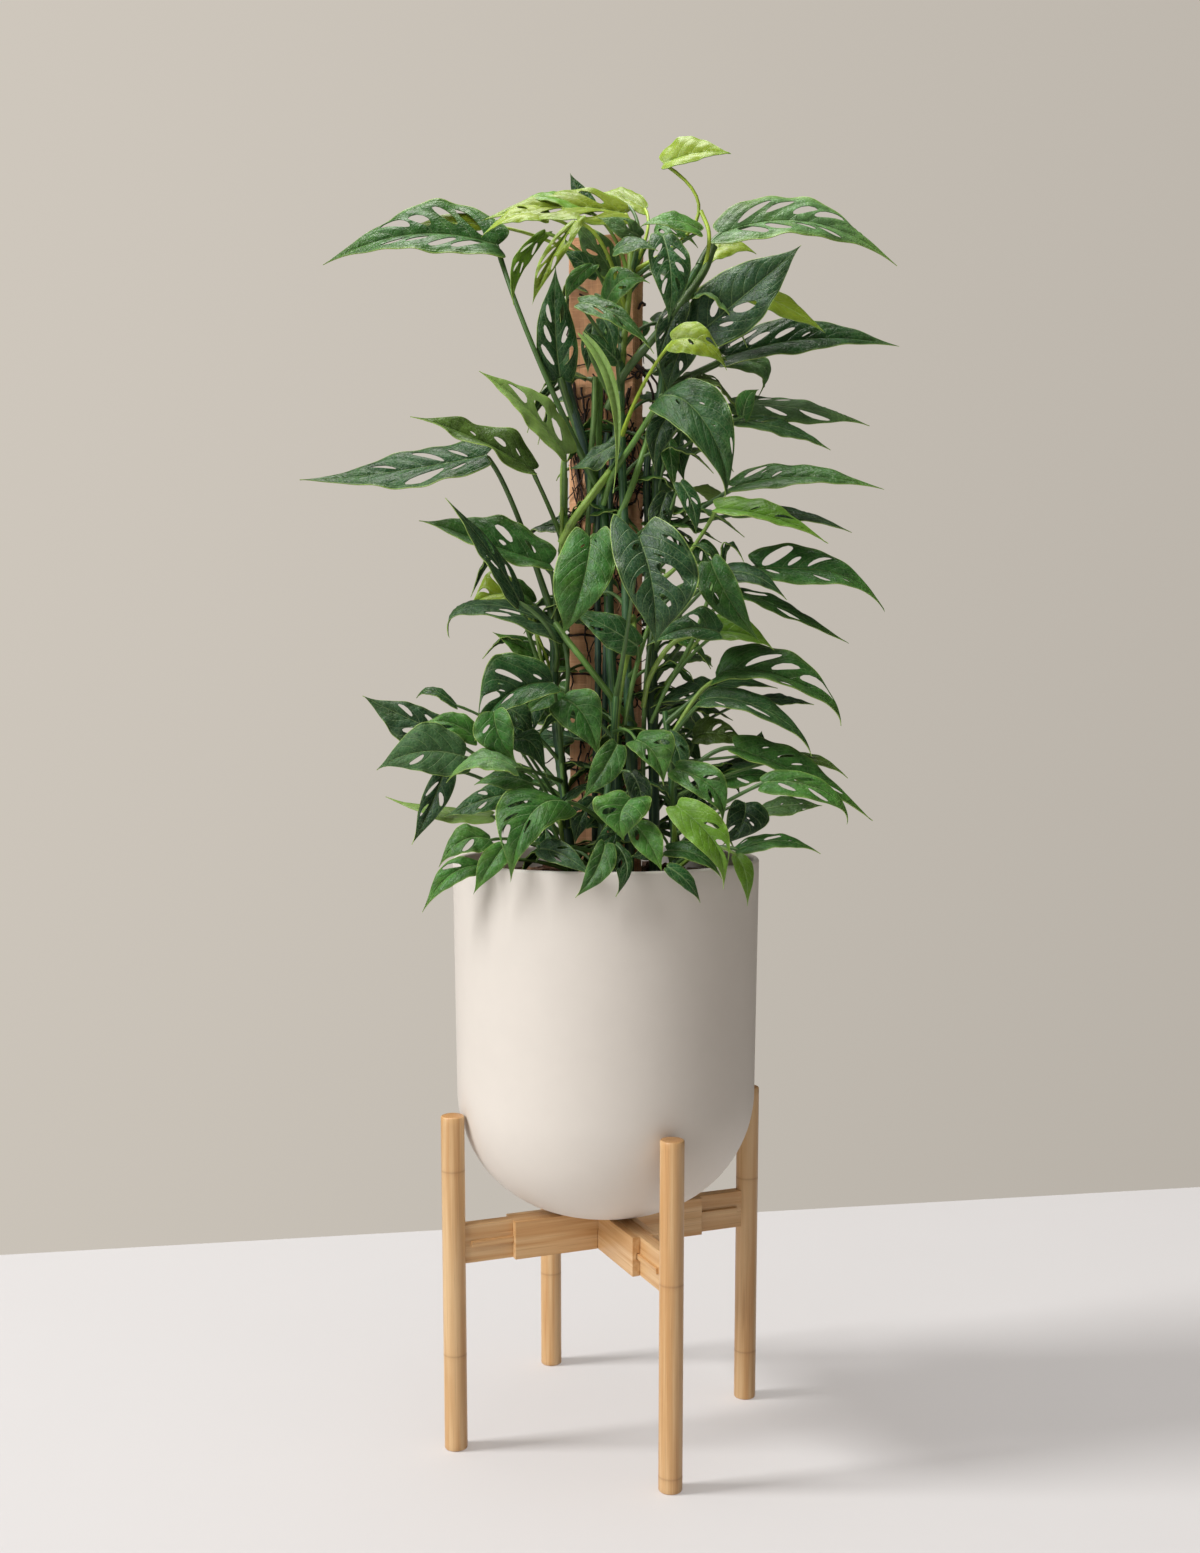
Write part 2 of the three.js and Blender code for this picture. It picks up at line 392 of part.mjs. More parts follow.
/** One leg with the mortise that its bar is glued into; its arm points along +X. */
function leg() {
  const { radius, height, chamfer, ring, sides } = LEG;
  const inner = radius - chamfer;
  const profile = [[0, 0], [inner, 0], [radius, chamfer], [radius, height - chamfer], [inner, height], [0, height]];
  const post = turned(profile, sides).translate([ring, 0, 0]);
  const side = RAIL.bar / 2 + GAP;
  const bottom = RAIL.top - RAIL.height - GAP;
  const mortise = block([ring - 2 * radius, -side, bottom], [ring - radius + BAR.tenon + GAP, side, RAIL.top + GAP]);
  return post.subtract(mortise);
}

/** One sliding bar along +X, with the tongue on each side that runs in the slats' grooves. */
function bar() {
  const end = LEG.ring - LEG.radius + BAR.tenon;
  const clearOfLeg = LEG.ring - LEG.radius - 4;
  const bottom = RAIL.top - RAIL.height;
  const middle = RAIL.top - RAIL.height / 2;
  const half = RAIL.bar / 2;
  const beam = block([BAR.inner, -half, bottom], [end, half, RAIL.top]);
  const low = middle - BAR.tongueHeight / 2;
  const tongue = block([BAR.inner, -half - BAR.tongue, low], [clearOfLeg, half + BAR.tongue, low + BAR.tongueHeight]);
  return beam.add(tongue);
}

/** One slat along X on the +Y side of the bars; `lap` is the half of its height cut away at the crossing. */
function slat(lap) {
  const near = RAIL.bar / 2 + GAP;
  const far = near + RAIL.slat;
  const bottom = RAIL.top - RAIL.height;
  const middle = RAIL.top - RAIL.height / 2;
  const board = block([-SLAT.reach, near, bottom], [SLAT.reach, far, RAIL.top]);
  const half = BAR.tongueHeight / 2 + GAP;
  const end = SLAT.reach + 1;
  const groove = block([-end, near - 1, middle - half], [end, near + BAR.tongue + GAP, middle + half]);
  const from = lap === 'lower' ? bottom - 1 : middle - GAP / 2;
  const to = lap === 'lower' ? middle + GAP / 2 : RAIL.top + 1;
  const notches = [-1, 1].map((side) => {
    const edges = [side * (near - GAP), side * (far + GAP)].sort((a, b) => a - b);
    return block([edges[0], near - 1, from], [edges[1], far + 1, to]);
  });
  return notches.reduce((board_, notch) => board_.subtract(notch), board.subtract(groove));
}

const SIDES = { right: 0, back: 90, left: 180, front: 270 }; // each arm's turn from +X

function stand() {
  const group = new THREE.Group();
  const turnedTo = (name, shape, degrees) => {
    group.add(meshOf(name, shape.rotate([0, 0, degrees]), COLOURS.bamboo));
  };
  for (const [side, turn] of Object.entries(SIDES)) {
    turnedTo(`leg_${side}`, leg(), turn);
    turnedTo(`bar_${side}`, bar(), turn);
  }
  turnedTo('slat_x_back', slat('lower'), 0);
  turnedTo('slat_x_front', slat('lower'), 180);
  turnedTo('slat_y_left', slat('upper'), 90);
  turnedTo('slat_y_right', slat('upper'), 270);
  return group;
}

// ---------------------------------------------------------------- pot, soil and plank

/** The pot's wall at one offset inside its outer face, from the axis up to the lip. */
function potWall(offset) {
  const { rim, foot, top, corner, flat, lip } = POT;
  const bottom = RAIL.top + GAP;
  const points = [[0, bottom + offset], [flat, bottom + offset]];
  const turns = 5;
  for (let i = 1; i <= turns; i += 1) {
    const angle = (Math.PI / 2) * (i / turns);
    const across = flat + (foot - flat - offset) * Math.sin(angle);
    points.push([across, bottom + offset + (corner - offset) * (1 - Math.cos(angle))]);
  }
  points.push([rim - offset, top - lip]);
  return points;
}

function pot() {
  const { rim, top, wall, lip } = POT;
  const lipRing = [[rim - lip / 2, top - lip / 4], [rim - wall / 2, top], [rim - wall + lip / 2, top - lip / 4]];
  return turned([...potWall(0), ...lipRing, ...potWall(wall).reverse()], POT.sides);
}

/** The soil fills the pot up to a little under the rim; its top swells and is lumpy. */
function soil() {
  const wall = potWall(POT.wall + GAP);
  const edge = wall.pop()[0] - 0.4;
  const surface = [];
  for (let ring = 0; ring <= SOIL.rings; ring += 1) {
    const radius = edge * (1 - ring / SOIL.rings);
    surface.push([radius, POT.top - SOIL.below]);
  }
  const points = [...wall, ...surface].map(([radius, height]) => new THREE.Vector2(radius, height));
  const geometry = new THREE.LatheGeometry(points, POT.sides).rotateX(Math.PI / 2);
  const position = geometry.getAttribute('position');
  for (let i = 0; i < position.count; i += 1) {
    const [x, y, z] = [position.getX(i), position.getY(i), position.getZ(i)];
    if (z > POT.top - SOIL.below - 1) position.setZ(i, z + soilRise(x, y));
  }
  return solid(geometry);
}

/** How far the soil's top stands above its edge. */
function soilRise(x, y) {
  const mound = SOIL.swell * (1 - (x * x + y * y) / (POT.rim * POT.rim));
  return mound + 2.2 * Math.sin(x / 17 + 1) * Math.cos(y / 14) + 1.4 * Math.sin((x + 2 * y) / 23);
}

/** The sawn plank, or with a margin the slot that it stands in. */
function plank(margin = 0) {
  const [a, b, e] = [PLANK.width / 2 + margin, PLANK.thick / 2 + margin, PLANK.edge];
  const corners = [[a, e - b], [a, b - e], [a - e, b], [e - a, b], [-a, b - e], [-a, e - b], [e - a, -b], [a - e, -b]];
  const outline = new THREE.Shape(corners.map(([x, y]) => new THREE.Vector2(x, y)));
  const height = PLANK.top - PLANK.bottom + margin;
  const board = new THREE.ExtrudeGeometry(outline, { depth: height, bevelEnabled: false });
  board.translate(0, 0, PLANK.bottom - margin);
  return solid(board.rotateZ(radians(-PLANK.turn)));
}

// ---------------------------------------------------------------- vines

/** A place on the board, or behind or in front of it, as a point of the plant. */
function sighted(place) {
  const down = radians(VIEWER.down);
  const across = place.x + VIEWER.boardX;
  const up = place.z - VIEWER.boardUp;
  const along = VIEWER.reach * Math.cos(down) + up * Math.sin(down);
  const rise = up * Math.cos(down) - VIEWER.reach * Math.sin(down);
  const scale = (place.y + VIEWER.distance) / along;
  return new THREE.Vector3(VIEWER.side + across * scale, place.y, VIEWER.eye + rise * scale);
}

const place = ([across, up, back]) => new THREE.Vector3(across, back, up);

/** The curve through a few evenly spaced points, and straight on before the first. */
function through(points, s) {
  if (s < 0) {
    const step = 0.02;
    const start = through(points, 0);
    return start.add(through(points, step).sub(start).multiplyScalar(s / step));
  }
  const last = points.length - 1;
  const sum = new THREE.Vector3();
  points.forEach((point, i) => {
    let weight = 1;
    for (let j = 0; j <= last; j += 1) if (j !== i) weight *= (s * last - j) / (i - j);
    sum.addScaledVector(point, weight);
  });
  return sum;
}

/** Half the blade's width along the midrib, from 0 at the base to 1 and back to 0 in a drawn-out tip. */
const breadth = (s) => Math.sin(Math.PI * Math.max(s, 0) ** 0.6) ** (0.6 + 0.9 * s);

/** A leaf's surface: s runs from base to tip, t from the left margin at -1 to the right one at 1. */
function leafSurface(leaf, index) {
  const rib = leaf.rib.map(place);
  const [right, left] = [place(leaf.right), place(leaf.left)];
  const { lobe, wave, bulge } = { ...BLADE, ...leaf };
  return (s, t) => {
    const a = Math.abs(t);
    const wing = t > 0 ? right : left;
    const half = breadth(s) * a;
    const back = s - lobe * a * (1 - s) ** 4;
    const spot = through(rib, back);
    const tangent = through(rib, Math.max(back, 0) + 0.01).sub(through(rib, Math.max(back, 0)));
    const face = right.clone().sub(left).cross(tangent).normalize();
    const ripple = wave * half * a * Math.sin(2 * Math.PI * (2.2 * s + 0.37 * index + (t > 0 ? 0.3 : 0)));
    const lift = wing.length() * (bulge * 4 * half * (1 - a) + ripple);
    return sighted(spot.addScaledVector(wing, half).addScaledVector(face, lift));
  };
}

/** The holes between the side veins of one half blade, each a ring of [s, t] points. */
function leafHoles(count, side, index) {
  const holes = [];
  for (let i = 0; i < count; i += 1) {
    const s = 0.14 + (0.52 * (i + 0.5)) / count;
    const t = 0.44 + 0.08 * Math.sin(2.4 * i + index);
    const long = HOLE.long + 0.05 * Math.cos(1.7 * i + index);
    const wide = Math.min(HOLE.wide, 0.15 / count);
    const ring = [];
    for (let k = 0; k < HOLE.corners; k += 1) {
      const angle = (2 * Math.PI * k) / HOLE.corners;
      const out = long * Math.cos(angle);
      ring.push([s + HOLE.slant * out + wide * Math.sin(angle), side * (t + out)]);
    }
    holes.push(ring);
  }
  return holes;
}

/** The faces of one blade, each three [s, t] spots: its halves are cut between midrib, margin and holes. */
function bladeFaces(leaf, index) {
  const count = Math.min(leaf.holes ?? 0, BLADE.cuts);
  const faces = [[[0, -1], [RIB[0], 0], [0, 1]]];
  for (const side of [1, -1]) {
    const outline = [[0, side], ...RIB.map((s) => [s, 0]), ...MARGIN.map((s) => [s, side])];
    const holes = leafHoles(side > 0 ? Math.ceil(count / 2) : Math.floor(count / 2), side, index);
    const bowed = 0.08 * side; // the midrib is bowed while cutting, so that none of its points is passed over
    const flat = ([s, t]) => new THREE.Vector2(s, t * breadth(s) * 0.4 - bowed * s * (1 - s));
    const places = [...outline, ...holes.flat()];
    for (const face of THREE.ShapeUtils.triangulateShape(outline.map(flat), holes.map((ring) => ring.map(flat)))) {
      const [a, b, c] = face.map((corner) => flat(places[corner]));
      const spots = face.map((corner) => places[corner]);
      faces.push(b.sub(a).cross(c.sub(a)) < 0 ? spots.reverse() : spots);
    }
  }
  return faces;
}

/** The two layers of a blade at one spot, half its thickness to either side of its surface. */
function bladeLayers(surface, [s, t]) {
  const step = 0.004;
  const from = Math.min(s, 1 - step);
  const inner = Math.min(Math.max(s, 0.03), 0.97); // where the blade has a width to measure across
  const inward = t > 0 ? -step : step;
  const along = surface(from + step, t).sub(surface(from, t));
  const across = surface(inner, t + inward).sub(surface(inner, t)).multiplyScalar(Math.sign(inward));
  const normal = across.cross(along).setLength(BLADE.thick / 2);
  const middle = surface(s, t);
  return [middle.clone().add(normal), middle.sub(normal)];
}

/** The faces of a stalk in spots like a blade's, with s from -1 at the stem to 0 at the blade's base. */
function stalkFaces(steps) {
  const faces = [];
  for (let i = 1; i <= steps; i += 1) {
    const [low, high] = [-i / steps, -(i - 1) / steps || 0];
    faces.push([[low, -1], [high, -1], [high, 1]], [[low, -1], [high, 1], [low, 1]]);
  }
  return faces;
}

/** The layers of a square stalk at the spots of its rings; the ring at the blade's base is narrow and thin. */
function stalkLayers(leaf, vine, surface, steps) {
  const bow = stalkBow(leaf, vine);
  const radius = leaf.stalk ?? STALK.radius;
  const outward = surface(0.06, 0).sub(surface(0, 0)).normalize();
  let along = bow.getTangent(1).add(outward).normalize();
  const across = surface(0.1, 0.5).sub(surface(0.1, -0.5));
  let over = across.addScaledVector(along, -across.dot(along)).normalize();
  const layers = new Map();
  for (let i = 0; i <= steps; i += 1) {
    if (i > 0) {
      const next = bow.getTangent(1 - i / steps);
      over = over.clone().applyQuaternion(new THREE.Quaternion().setFromUnitVectors(along, next));
      along = next;
    }
    const [wide, thick] = i > 0 ? [radius, radius] : [STALK.neck, BLADE.thick / 2];
    const up = over.clone().cross(along).setLength(thick);
    for (const side of [-1, 1]) {
      const edge = bow.getPoint(1 - i / steps).addScaledVector(over, side * wide);
      layers.set(spotKey([-i / steps, side]), [edge.clone().add(up), edge.sub(up)]);
    }
  }
  return layers;
}

/** The bow of a leaf stalk from inside the stem to the blade's base. */
function stalkBow(leaf, vine) {
  const root = stemAt(vine.stem, leaf.root);
  const end = place(leaf.rib[0]);
  const bend = leaf.bend ? place(leaf.bend) : root.clone().lerp(end, 0.5).add(new THREE.Vector3(0, 0, 12));
  return new THREE.QuadraticBezierCurve3(sighted(root), sighted(bend), sighted(end));
}

/** The point of a stem's centre line at one height on the board. */
function stemAt(stem, height) {
  const upper = Math.max(1, stem.findIndex(([, up]) => up >= height));
  const [low, high] = [place(stem[upper - 1]), place(stem[upper])];
  return low.lerp(high, (height - low.z) / (high.z - low.z));
}

/** One leaf, its stalk and its thin blade in one sheet. */
function leafSolid(leaf, index, vine) {
  const surface = leafSurface(leaf, index);
  const steps = stalkBow(leaf, vine).getLength() > STALK.long ? 3 : 2;
  const rings = stalkLayers(leaf, vine, surface, steps);
  const layersAt = (spot) => rings.get(spotKey(spot)) ?? bladeLayers(surface, spot);
  return sheet([...stalkFaces(steps), ...bladeFaces(leaf, index)], layersAt);
}

const spotKey = ([s, t]) => `${(s || 0).toFixed(5)},${t.toFixed(5)}`;

/** A closed solid between two layers: the faces on both alike, and a wall along each open edge. */
function sheet(faces, layersAt) {
  const layers = new Map(faces.flat().map((spot) => [spotKey(spot), layersAt(spot)]));
  const open = new Map();
  const positions = [];
  const put = (...points) => points.forEach((point) => positions.push(point.x, point.y, point.z));
  for (const face of faces) {
    const corners = face.map((spot) => layers.get(spotKey(spot)));
    put(corners[0][0], corners[1][0], corners[2][0]);
    put(corners[0][1], corners[2][1], corners[1][1]);
    face.forEach((spot, i) => {
      const [from, to] = [spotKey(spot), spotKey(face[(i + 1) % 3])];
      if (!open.delete(`${to} ${from}`)) open.set(`${from} ${to}`, [layers.get(from), layers.get(to)]);
    });
  }
  for (const [from, to] of open.values()) {
    put(from[0], from[1], to[1]);
    put(from[0], to[1], to[0]);
  }
  const geometry = new THREE.BufferGeometry();
  geometry.setAttribute('position', new THREE.BufferAttribute(Float32Array.from(positions), 3));
  return solid(geometry);
}

/** A vine's stem, straight from one place to the next; the margin makes the hole it stands in. */
function stem(vine, margin = 0) {
  const points = vine.stem.map((spot) => sighted(place(spot)));
  const curve = new THREE.CurvePath();
  for (let i = 1; i < points.length; i += 1) curve.add(new THREE.LineCurve3(points[i - 1], points[i]));
  const smooth = new THREE.CatmullRomCurve3(points);
  const steps = Math.round(curve.getLength() / STEM.step);
  return tube(smooth, vine.radius + margin, STEM.sides, steps);
}

function vineSolid(vine) {
  const pieces = [stem(vine)];
  vine.leaves.forEach((leaf, index) => pieces.push(leafSolid(leaf, index, vine)));
  const bodies = wasm.Manifold.union(pieces).decompose();
  return bodies.sort((a, b) => b.volume() - a.volume())[0]; // slivers left by crossing blades are dropped
}

function plant() {
  const group = new THREE.Group();
  group.rotation.z = radians(PLANT_TURN);
  let bed = soil().subtract(plank(GAP));
  for (const [name, vine] of Object.entries(VINES)) {
    bed = bed.subtract(stem(vine, 2 * GAP));
    group.add(meshOf(name, vineSolid(vine), COLOURS.leaf));
  }
  group.add(meshOf('plank', plank(), COLOURS.plank));
  group.add(meshOf('soil', bed, COLOURS.soil));
  return group;
}

const model = new THREE.Group();
model.add(stand());
model.add(meshOf('pot', pot(), COLOURS.pot));
model.add(plant());

export default model;
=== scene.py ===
"""Looks of a potted monstera adansonii that climbs a sawn plank on an adjustable bamboo stand.

Lengths are metres in the row frame, apart from the plant's own places, which are millimetres on an
upright board through the pot's axis: (across, up, back), as Sight describes.
"""
from __future__ import annotations

import functools
import logging
import math
from dataclasses import dataclass, field
from enum import Enum
from typing import Iterable, Sequence

import bmesh
import bpy
import numpy as np
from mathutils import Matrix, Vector
from mathutils.geometry import delaunay_2d_cdt


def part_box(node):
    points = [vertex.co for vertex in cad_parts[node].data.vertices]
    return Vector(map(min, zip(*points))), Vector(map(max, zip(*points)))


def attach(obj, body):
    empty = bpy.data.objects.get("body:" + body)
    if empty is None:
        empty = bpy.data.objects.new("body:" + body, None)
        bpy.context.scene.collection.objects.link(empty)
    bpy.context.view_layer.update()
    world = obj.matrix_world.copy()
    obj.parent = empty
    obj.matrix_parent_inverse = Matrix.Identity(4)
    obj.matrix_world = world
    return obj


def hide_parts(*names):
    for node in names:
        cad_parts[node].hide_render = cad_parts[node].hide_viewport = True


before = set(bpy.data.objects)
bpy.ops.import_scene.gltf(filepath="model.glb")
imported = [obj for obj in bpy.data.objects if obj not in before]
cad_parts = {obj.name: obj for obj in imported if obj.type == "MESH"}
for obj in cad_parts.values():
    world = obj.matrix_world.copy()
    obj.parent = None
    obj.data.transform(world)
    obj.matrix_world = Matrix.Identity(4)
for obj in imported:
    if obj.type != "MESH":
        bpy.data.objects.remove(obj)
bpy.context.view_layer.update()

LOG = logging.getLogger("monstera")
MM = 0.001
Place = tuple[float, float, float]
Seen = tuple[float, float, float, float]
Colour = tuple[float, float, float]
Array = np.ndarray
Object = bpy.types.Object
Material = bpy.types.Material
Socket = bpy.types.NodeSocket


def linear(code: str) -> Colour:
    """The linear colour of a six-digit sRGB code.

    Args:
        code: such as "3f6b38".

    Returns:
        Red, green and blue from 0 to 1.
    """
    parts = [int(code[i:i + 2], 16) / 255 for i in (0, 2, 4)]
    return tuple(p / 12.92 if p <= 0.04045 else ((p + 0.055) / 1.055) ** 2.4 for p in parts)


class Tone(Enum):
    """The greens of the leaves, from the oldest to the newest, as sRGB codes."""

    DEEP = "1c3a22"
    BLUE = "28482f"
    SLATE = "33533a"
    DARK = "274f2a"
    MOSS = "32602b"
    OLIVE = "4a652b"
    GREY = "52774a"
    MID = "37682d"
    FRESH = "3f7230"
    BRIGHT = "5c8a28"
    PALE = "7b9d58"
    LIME = "819a2a"


@dataclass(frozen=True)
class Leaf:
    """One leaf as it is placed on the board.

    root is the height at which its stalk leaves the stem, rib the midrib from base to tip, right and
    left the step from midrib to margin where the blade is widest, bend the stalk's control point, holes
    the number of holes placed by rule, and seen the holes with a place of their own, each
    (across, up, wide, high) of the box round it.
    """

    root: float
    rib: tuple[Place, ...]
    right: Place
    left: Place
    tone: Tone
    bend: Place | None = None
    holes: int = 0
    lobe: float = 0.08
    wave: float = 0.1
    stalk: float = 2.0
    underside_up: bool = False
    seen: tuple[Seen, ...] = ()


@dataclass(frozen=True)
class Vine:
    """One stem with its leaves; the name is the frame's node that it stands for."""

    name: str
    radius: float
    stem: tuple[Place, ...]
    leaves: tuple[Leaf, ...]


def spun(x: Array | float, y: Array | float, angle: float) -> tuple[Array | float, ...]:
    """The pair (x, y) turned anticlockwise by an angle."""
    cos, sin = math.cos(angle), math.sin(angle)
    return x * cos - y * sin, x * sin + y * cos


@dataclass(frozen=True)
class Sight:
    """The board that the plant's places are on, and the eye in front of it."""

    distance: float = 1610.0
    eye: float = 741.0
    side: float = -5.8
    reach: float = 1617.0
    down: float = math.radians(7)
    board_x: float = 7.0
    board_up: float = 519.0
    turn: float = math.radians(-22.1)

    def to_frame(self, places: Array) -> Array:
        """Places on, behind or in front of the board as points of the frame.

        Args:
            places: (..., 3) of across, back, up in millimetres.

        Returns:
            (..., 3) of x, y, z in metres.
        """
        across, back, up = np.moveaxis(places, -1, 0)
        up = up - self.board_up
        along = self.reach * math.cos(self.down) + up * math.sin(self.down)
        rise = up * math.cos(self.down) - self.reach * math.sin(self.down)
        scale = (back + self.distance) / along
        x, z = self.side + (across + self.board_x) * scale, self.eye + rise * scale
        return np.stack([*spun(x, back, self.turn), z], axis=-1) * MM

    def to_board(self, points: Array) -> Array:
        """Where points of the frame are seen on the board.

        Args:
            points: (..., 3) in metres.

        Returns:
            (..., 2) of across and up in millimetres.
        """
        x, y, z = np.moveaxis(points / MM, -1, 0)
        x, y = spun(x, y, -self.turn)
        depth = (y + self.distance) * math.cos(self.down) - (z - self.eye) * math.sin(self.down)
        fall = (y + self.distance) * math.sin(self.down) + (z - self.eye) * math.cos(self.down)
        across = self.reach * (x - self.side) / depth - self.board_x
        return np.stack([across, self.reach * fall / depth + self.board_up], axis=-1)

    def camera_place(self) -> Place:
        """The eye's place in the frame."""
        x, y = spun(self.side, -self.distance, self.turn)
        return x * MM, y * MM, self.eye * MM


SIGHT = Sight()


def board(place: Place) -> Array:
    """A table's (across, up, back) as an array of across, back, up."""
    return np.array([place[0], place[2], place[1]], dtype=float)


def on_board(*places: Place) -> Array:
    """A table's places as points of the frame."""
    return SIGHT.to_frame(np.array([board(p) for p in places]))


def unit(vectors: Array) -> Array:
    """Vectors at length one; a zero vector stays as it is."""
    return vectors / np.maximum(np.linalg.norm(vectors, axis=-1, keepdims=True), 1e-12)


def length_of(path: Array) -> float:
    """The length of a line of points."""
    return float(np.sum(np.linalg.norm(np.diff(path, axis=0), axis=1)))


def hashed(*numbers: float) -> float:
    """A number from 0 to 1 that always is the same for the same numbers."""
    mixed = math.sin(sum((i + 1.37) * 12.9898 * n for i, n in enumerate(numbers)) + 4.1) * 43758.5453
    return mixed - math.floor(mixed)


# ---------------------------------------------------------------- meshes


def grid_faces(rows: int, columns: int) -> Array:
    """Quads between neighbouring points of a stack of closed rings.

    Args:
        rows: number of rings.
        columns: points in a ring.

    Returns:
        (N, 4) of vertex numbers; with the points anticlockwise round the direction of the rows, they
        face outwards.
    """
    across = np.arange(columns)
    low = (np.arange(rows - 1)[:, None] * columns + across[None, :]).ravel()
    side = (np.arange(rows - 1)[:, None] * columns + (across[None, :] + 1) % columns).ravel()
    return np.stack([low, side, side + columns, low + columns], axis=1)


def stacked(rows: int, columns: int) -> list[Array]:
    """The faces of a stack of closed rings with a flat face over either end."""
    ends = np.arange(columns)[::-1][None], (np.arange(columns) + (rows - 1) * columns)[None]
    return [grid_faces(rows, columns), *ends]


def tube(path: Array, radii: Array, sides: int) -> Array:
    """A round tube's points: each ring is centre + radius (cos a * side + sin a * up).

    Args:
        path: (N, 3) centre line.
        radii: (N,) radius of each ring.
        sides: points in a ring.

    Returns:
        (N * sides, 3), ring after ring.
    """
    along = unit(np.gradient(path, axis=0))
    side = np.empty_like(path)
    helper = np.eye(3)[np.argmin(np.abs(along[0]))]
    side[0] = unit(np.cross(along[0], helper))
    for i in range(1, len(path)):
        side[i] = unit(side[i - 1] - along[i] * np.dot(side[i - 1], along[i]))
    up = np.cross(along, side)
    angle = 2 * np.pi * np.arange(sides) / sides
    ring = side[:, None] * np.cos(angle)[None, :, None] + up[:, None] * np.sin(angle)[None, :, None]
    return (path[:, None] + ring * radii[:, None, None]).reshape(-1, 3)


def turned(profile: Array, sides: int) -> tuple[Array, list[Array]]:
    """A profile of (radius, height) turned about Z; its first and last points are on the axis.

    Args:
        profile: (N, 2), going up the outside first.
        sides: points in a ring.

    Returns:
        Its points, the two on the axis last, and its faces.
    """
    angle = 2 * np.pi * np.arange(sides) / sides
    body = profile[1:-1]
    points = np.stack([body[:, :1] * np.cos(angle), body[:, :1] * np.sin(angle),
                       np.broadcast_to(body[:, 1:], (len(body), sides))], axis=-1).reshape(-1, 3)
    low, high = len(points), len(points) + 1
    points = np.concatenate([points, [[0, 0, profile[0, 1]], [0, 0, profile[-1, 1]]]])
    around = np.arange(sides)
    after = (around + 1) % sides
    last = (len(body) - 1) * sides
    fans = [np.stack([np.full(sides, low), after, around], axis=1),
            np.stack([np.full(sides, high), last + around, last + after], axis=1)]
    return points, [grid_faces(len(body), sides), *fans]


def catmull(points: Array, count: int) -> Array:
    """A smooth curve through points: each stretch is the uniform Catmull-Rom cubic of its four neighbours.

    Args:
        points: (N, 3) through which it passes.
        count: number of points to return.

    Returns:
        (count, 3).
    """
    ends = np.concatenate([[2 * points[0] - points[1]], points, [2 * points[-1] - points[-2]]])
    at = np.linspace(0, len(points) - 1, count)
    i = np.minimum(at.astype(int), len(points) - 2)
    f = (at - i)[:, None]
    a, b, c, d = ends[i], ends[i + 1], ends[i + 2], ends[i + 3]
    return 0.5 * (2 * b + (c - a) * f + (2 * a - 5 * b + 4 * c - d) * f**2 + (3 * b - a - 3 * c + d) * f**3)


@dataclass
class Skin:
    """Vertices, faces and named per-vertex values that are gathered and become one mesh."""

    points: list[Array] = field(default_factory=list)
    faces: list[Array] = field(default_factory=list)
    values: dict[str, list[Array]] = field(default_factory=dict)
    count: int = 0

    def add(self, points: Array, faces: Iterable[Array], **values: Array) -> None:
        """Adds one shell.

        Args:
            points: (N, 3) in metres.
            faces: arrays of three, four or more vertex numbers a row, counted from 0 in this shell.
            values: (N, 3) arrays, or one (3,) for all, each under its attribute's name.
        """
        self.points.append(points)
        self.faces.extend(f + self.count for f in faces)
        for name, value in values.items():
            full = np.broadcast_to(np.asarray(value, dtype=float), (len(points), 3))
            self.values.setdefault(name, []).append(full)
        self.count += len(points)

    def add_tube(self, path: Array, radii: Array, sides: int, run: Array, step: float,
                 lane: float, **tones: Array) -> None:
        """Adds a closed round tube; its Run is (distance along, distance round, lane) for the pattern.

        Args:
            path: (N, 3) centre line in metres.
            radii: (N,) radius of each ring in metres.
            sides: points in a ring.
            run: (N,) distances along it in millimetres.
            step: distance from a ring's point to the next in millimetres.
            lane: a place of its own across the pattern.
            tones: Tone, (N, 3) or (3,), where the finish reads one.
        """
        rings = len(path)
        values = {name: np.repeat(np.broadcast_to(tone, (rings, 3)), sides, axis=0)
                  for name, tone in tones.items()}
        place = np.stack([np.repeat(run, sides), np.tile(np.arange(sides) * step, rings),
                          np.full(rings * sides, lane)], axis=1)
        self.add(tube(path, radii, sides), stacked(rings, sides), **values, Run=place)

    def mesh(self, name: str, finish: Material, crease: float) -> Object:
        """The gathered shells as one object at the origin.

        Args:
            name: the piece's name.
            finish: its material.
            crease: an edge sharper than this many degrees isn't smoothed.

        Returns:
            The piece.
        """
        mesh = bpy.data.meshes.new(name)
        rows = [row for block in self.faces for row in block.tolist()]
        mesh.from_pydata(np.concatenate(self.points), [], rows)
        for attribute, parts in self.values.items():
            layer = mesh.attributes.new(attribute, "FLOAT_VECTOR", "POINT")
            layer.data.foreach_set("vector", np.concatenate(parts).astype(np.float32).ravel())
        mesh.polygons.foreach_set("use_smooth", np.ones(len(mesh.polygons), dtype=bool))
        mesh.set_sharp_from_angle(angle=math.radians(crease))
        mesh.update()
        mesh.materials.append(finish)
        return shown(name, mesh)


def shown(name: str, data: bpy.types.ID) -> Object:
    """Adds an object to the scene.

    Args:
        name: what it is called.
        data: its mesh, lamp or camera.

    Returns:
        The object.
    """
    made = bpy.data.objects.new(name, data)
    bpy.context.scene.collection.objects.link(made)
    return made


def settle(piece: Object, body: str, node: str = "") -> None:
    """Puts a piece on its body and, if it stands for a node, in that node's place, which it hides.

    Args:
        piece: the finished piece.
        body: the body that it moves with.
        node: the node that it stands for.
    """
    if node:
        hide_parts(node)
    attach(piece, body)
    LOG.info("%s: %d faces", piece.name, len(piece.data.polygons))


